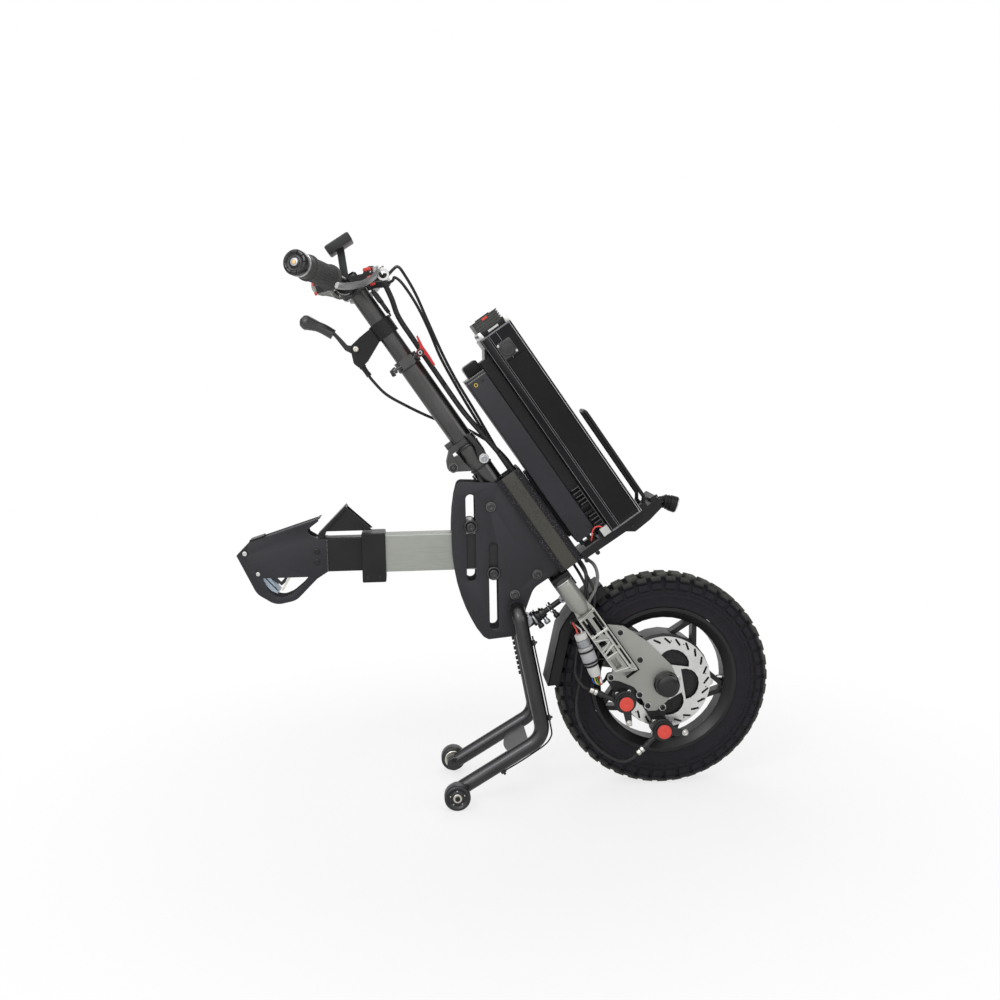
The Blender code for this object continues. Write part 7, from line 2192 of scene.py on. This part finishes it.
        start = tilt(-0.2625, -0.0655, 0)
        nut = turned("parking_nut", [(-0.0046, 0.0016), (-0.0046, 0.005), (0.001, 0.005), (0.001, 0.0016)],
                     start, DOWN, 6, ring=True)
        fitted(nut, "end_black", "bars", edge=0.0002, smooth=20)

    def connectors(self):
        """Plugs of the display and throttle leads, tied along the front of the mast."""
        for k, (t0, t1, n, y, size, look) in enumerate((
                (-0.372, -0.35, 0.0215, -0.01, 0.0042, "end_black"),
                (-0.348, -0.332, 0.0222, -0.01, 0.0036, "slider"),
                (-0.366, -0.346, 0.0225, 0.001, 0.004, "end_black"),
                (-0.344, -0.328, 0.0225, 0.001, 0.0034, "end_black"))):
            plug = turned(f"lead_plug_{k}", [
                (0, 0), (0, size * 0.8), (0.0012, size), (abs(t1 - t0) - 0.0012, size),
                (abs(t1 - t0), size * 0.75), (abs(t1 - t0), 0)], tilt(t0, n, y), DOWN, 16)
            fitted(plug, look, "bars", slot="satin_black", edge=0.0002)
        for k, y in enumerate((-0.01, 0.001)):
            lead = swept(f"bar_lead_{k}", flowing([
                Vector((BAR.x + 0.01, y * 1.6 - 0.012, BAR.z + 0.004)), tilt(-0.386, 0.017, y - 0.004),
                tilt(-0.372, 0.0215, y), tilt(-0.33, 0.0224, y), tilt(-0.322, 0.0216, y - 0.001)], 6),
                0.0016, 8)
            fitted(lead, "cable", "bars")


class UNIT_OT_stem(bpy.types.Operator):
    """Adds the fold's bolts and catch, the stem's bands, and the height clamp's knob and lever"""

    bl_idname = "unit.stem"
    bl_label = "Stem"

    def execute(self, context):
        for way, name in SIDES:
            base = tilt(-0.056, -0.04, way * 0.0167)
            head = screw(f"fold_bolt_{name}", base, ACROSS * way, 0.0066, 0.0032, 0.45)
            fitted(head, "end_black", "fork", edge=0.0003)
            ring = turned(f"fold_washer_{name}", [(0, 0.006), (0, 0.0078), (0.0008, 0.0076), (0.0008, 0.006)],
                          base, ACROSS * way, 32, ring=True)
            fitted(ring, "grey_barrel", "fork")
        self.catch()
        for k, (t, size, body, look) in enumerate((
                (-0.0735, 0.0222, "fork", "cast"), (-0.0785, 0.0218, "stem", "cast"),
                (-0.031, 0.0204, "fork", "cast"), (-0.24, 0.0219, "stem", "cast"))):
            band = turned(f"stem_band_{k}", [
                (0, 0.0188), (0, size - 0.0006), (0.0006, size), (0.0026, size), (0.0032, size - 0.0006),
                (0.0032, 0.0188)], tilt(t, 0, 0), DOWN, 48, ring=True)
            fitted(band, look, body, slot="stem_grey")
        knob = slab("clamp_knob", rounded([
            (-0.2485, -0.033, 0.002), (-0.2375, -0.0345, 0.002), (-0.2365, -0.0275, 0.001),
            (-0.2495, -0.027, 0.001)], 3), -0.0285, -0.0185, tilt)
        fitted(knob, "end_black", "stem", slot="satin_black", edge=0.001, segments=2)
        foot = tilt(-0.2445, 0.0262, -0.0235 - 0.0077)
        head = turned("lever_pin", [
            (0, 0), (0, 0.006), (0.0008, 0.0064), (0.0016, 0.0058), (0.0016, 0)], foot, -ACROSS, 32)
        fitted(head, "end_black", "height_lever", edge=0.0002)
        ring = turned("lever_mark", [(0, 0.0022), (0, 0.0036), (0.0004, 0.0034), (0.0004, 0.0022)],
                      foot - ACROSS * 0.0015, -ACROSS, 32, ring=True)
        fitted(ring, "steel", "height_lever")
        seat = turned("lever_seat", [
            (0, 0.0028), (0, 0.0062), (0.003, 0.0068), (0.0046, 0.0062), (0.0046, 0.0028)],
            tilt(-0.2445, 0.0142, -0.0235), AHEAD, 32, ring=True)
        fitted(seat, "end_black", "stem", slot="satin_black", edge=0.0002)
        return {"FINISHED"}

    def catch(self):
        """The fold catch: a black cast blade on a stud with a bright bolt."""
        t, n = -0.04, 0.0115
        blade = slab("fold_catch", rounded([
            (t + 0.008, n - 0.0045, 0.004), (t + 0.008, n + 0.0045, 0.004), (t - 0.008, n + 0.0078, 0.004),
            (t - 0.044, n + 0.0052, 0.003), (t - 0.0508, n + 0.0005, 0.002), (t - 0.047, n - 0.0042, 0.002),
            (t - 0.025, n - 0.0015, 0.004), (t - 0.006, n - 0.0078, 0.004)], 5), -0.0275, -0.0222, tilt)
        cut(blade, rod("cut_eye", tilt(t, n, -0.04), tilt(t, n, -0.01), 0.004, 24))
        fitted(blade, "end_black", "stem_catch", "fold_latch", edge=0.0008, segments=2)
        ring = turned("catch_ring", [
            (0, 0.004), (0, 0.0082), (0.001, 0.0084), (0.0016, 0.0078), (0.0016, 0.004)],
            tilt(t, n, -0.0276), -ACROSS, 40, ring=True)
        fitted(ring, "steel", "stem_catch")
        head = screw("catch_bolt", tilt(t, n, -0.0284), -ACROSS, 0.0056, 0.0032, 0.5)
        fitted(head, "steel_dull", "fork", edge=0.0003)
        lug = screw("base_bolt", tilt(-0.0205, -0.0196, -0.006), -AHEAD, 0.0042, 0.0036, 0.5)
        fitted(lug, "end_black", "fork", edge=0.0002)


class UNIT_OT_front(bpy.types.Operator):
    """Builds the mudguard, the headlamp and the damper's fittings, and adds the tray's bolts"""

    bl_idname = "unit.front"
    bl_label = "Mudguard, Lamp and Damper"

    def execute(self, context):
        self.mudguard()
        self.lamp()
        self.damper()
        for way, name in SIDES:
            for k, (x, z) in enumerate(((0.134, 0.405), (0.153, 0.418), (0.214, 0.461))):
                head = screw(f"tray_bolt_{name}_{k}", (x, way * 0.0339, z), ACROSS * way, 0.004, 0.003)
                fitted(head, "end_black", "frame", edge=0.0002)
        return {"FINISHED"}

    def mudguard(self):
        skin, skirt, outer, half = 0.0022, 0.0195, 0.2065, 0.037

        def arc(radius, first, last, steps):
            return [(WHEEL.x + radius * math.cos(math.radians(first + (last - first) * k / steps)),
                     WHEEL.z + radius * math.sin(math.radians(first + (last - first) * k / steps)))
                    for k in range(steps + 1)]
        end_out, end_in = (0.064, 0.188), (0.0832, 0.1895)
        rim = arc(outer, 122, 152, 14) + [end_out]
        inner = arc(outer - skin, 122, 152, 14) + [(0.0662, 0.188)]
        low = arc(outer - skirt, 122, 152, 14) + [end_in]
        top = slab("guard_skin", rim + list(reversed(inner)), -half, half)
        sides = [slab("guard_skirt", rim + list(reversed(low)), *sorted((way * half, way * (half - 0.0022))))
                 for way in (-1, 1)]
        lug = brick("guard_lug", (0.225, -0.012, -0.013), (0.24, 0.012, 0.013), tilt)
        piece = joined("guard", [top, *sides, lug])
        fitted(piece, "moulded", "fork", "mudguard", slot="satin_black", edge=0.0004, smooth=28)

    def lamp(self):
        pivot = tilt(0.196, 0.217, 0)
        ahead = (tilt(0.996, 0.817, 0) - pivot).normalized()
        shell = turned("lamp_shell", [
            (0, 0), (0, 0.0045), (0.009, 0.0104), (0.01, 0.0122), (0.0125, 0.0122), (0.0128, 0.0112),
            (0.0148, 0.0112), (0.0151, 0.0128), (0.0176, 0.0128), (0.0179, 0.0118), (0.0199, 0.0118),
            (0.0202, 0.0138), (0.029, 0.0142), (0.0318, 0.0142), (0.0325, 0.0134), (0.0325, 0.0122),
            (0.0306, 0.0118), (0.0306, 0)], pivot, ahead, 56)
        boss = rod("boss", pivot - ACROSS * 0.012, pivot + ACROSS * 0.012, 0.0042, 28)
        fitted(
            joined("lamp_body", [shell, boss]), "moulded", "lamp", "headlamp", slot="satin_black",
            edge=0.0002)
        ring = turned("lamp_bezel", [
            (0, 0.012), (0, 0.0141), (0.0018, 0.0141), (0.0026, 0.0132), (0.0026, 0.012)],
            pivot + ahead * 0.0312, ahead, 56, ring=True)
        fitted(ring, "steel", "lamp")
        lens = turned("lamp_lens", [
            (0, 0), (0, 0.0119), (0.001, 0.0116), (0.0022, 0.0088), (0.0028, 0.005), (0.003, 0)],
            pivot + ahead * 0.0307, ahead, 48)
        fitted(lens, "lens", "lamp", smooth=60)
        for way, name in SIDES:
            head = screw(f"lamp_bolt_{name}", pivot + ACROSS * way * 0.0151, ACROSS * way, 0.0046, 0.0028)
            fitted(head, "end_black", "frame", edge=0.0002)

    def damper(self):
        """Rings, clamps and claws on the damper's body, and the clevis on the fork."""
        def band(name, n0, n1, size, look, body="frame"):
            piece = turned(name, [
                (0, 0.005), (0, size - 0.0005), (0.0005, size), (n1 - n0 - 0.0005, size),
                (n1 - n0, size - 0.0005), (n1 - n0, 0.005)], tilt(0.242, n0, 0), AHEAD, 36, ring=True)
            fitted(piece, look, body, slot="satin_black")
        band("damper_collar", -0.079, -0.0755, 0.0142, "steel_dull")
        band("damper_ring_a", -0.0725, -0.0705, 0.0146, "end_black")
        band("damper_ring_b", -0.064, -0.06, 0.0112, "end_black")
        band("damper_ring_c", -0.048, -0.0466, 0.0092, "steel_dull")
        band("damper_ring_d", -0.044, -0.0405, 0.0098, "end_black")
        for k, (n, look) in enumerate((
                (-0.075, "end_black"), (-0.062, "steel_dull"), (-0.0425, "end_black"))):
            knob = turned(f"damper_knob_{k}", [
                (0, 0), (0, 0.0038), (0.006, 0.0038), (0.0066, 0.0054), (0.012, 0.0054), (0.0126, 0.0046),
                (0.0126, 0)], tilt(0.249, n, -0.004), (DOWN - ACROSS * 0.5).normalized(), 20)
            fitted(knob, look, "frame", slot="satin_black", edge=0.0003)
        claw = slab("damper_claw", rounded([
            (0.0285, 0.293, 0.001), (0.037, 0.288, 0.002), (0.0425, 0.296, 0.002), (0.04, 0.306, 0.002),
            (0.034, 0.309, 0.002), (0.029, 0.304, 0.001)], 3), -0.015, 0.015)
        fitted(claw, "steel_dull", "frame", edge=0.0008, segments=2)
        eye = turned("damper_eye", [(0, 0), (0, 0.004), (0.007, 0.004), (0.007, 0)],
                     tilt(0.242, -0.0228, 0), AHEAD, 24)
        fork_side = turned("fork_eye", [
            (-0.009, 0.0022), (-0.009, 0.0052), (0.009, 0.0052), (0.009, 0.0022)], tilt(0.242, -0.019, 0),
            ACROSS, 28, ring=True)
        fitted(joined("damper_clevis", [eye, fork_side]), "steel_dull", "fork", edge=0.0002)


class UNIT_PT_looks(bpy.types.Panel):
    """The steps of dressing the drive unit"""

    bl_label = "Drive Unit"
    bl_idname = "UNIT_PT_looks"
    bl_space_type = "VIEW_3D"
    bl_region_type = "UI"
    bl_category = "Drive Unit"

    def draw(self, context):
        for group in (context.scene.unit_colours, context.scene.unit_sizes):
            for key in group.__annotations__:
                self.layout.prop(group, key)
        for step in STEPS:
            self.layout.operator(step.bl_idname)


STEPS = (
    UNIT_OT_stage,
    UNIT_OT_finishes,
    UNIT_OT_tyre,
    UNIT_OT_battery,
    UNIT_OT_controller,
    UNIT_OT_wrap,
    UNIT_OT_cables,
    UNIT_OT_wheel,
    UNIT_OT_fork,
    UNIT_OT_brakes,
    UNIT_OT_dock,
    UNIT_OT_stand,
    UNIT_OT_bars,
    UNIT_OT_stem,
    UNIT_OT_front,
)
GROUPS = (UnitColours, UnitSizes)


def register():
    for kind in GROUPS + STEPS + (UNIT_PT_looks,):
        bpy.utils.register_class(kind)
    bpy.types.Scene.unit_colours = bpy.props.PointerProperty(type=UnitColours)
    bpy.types.Scene.unit_sizes = bpy.props.PointerProperty(type=UnitSizes)


def unregister():
    del bpy.types.Scene.unit_sizes
    del bpy.types.Scene.unit_colours
    for kind in reversed(GROUPS + STEPS + (UNIT_PT_looks,)):
        bpy.utils.unregister_class(kind)


def main():
    register()
    for step in STEPS:
        group, name = step.bl_idname.split(".")
        getattr(getattr(bpy.ops, group), name)()
    alone()


if __name__ == "__main__":
    main()
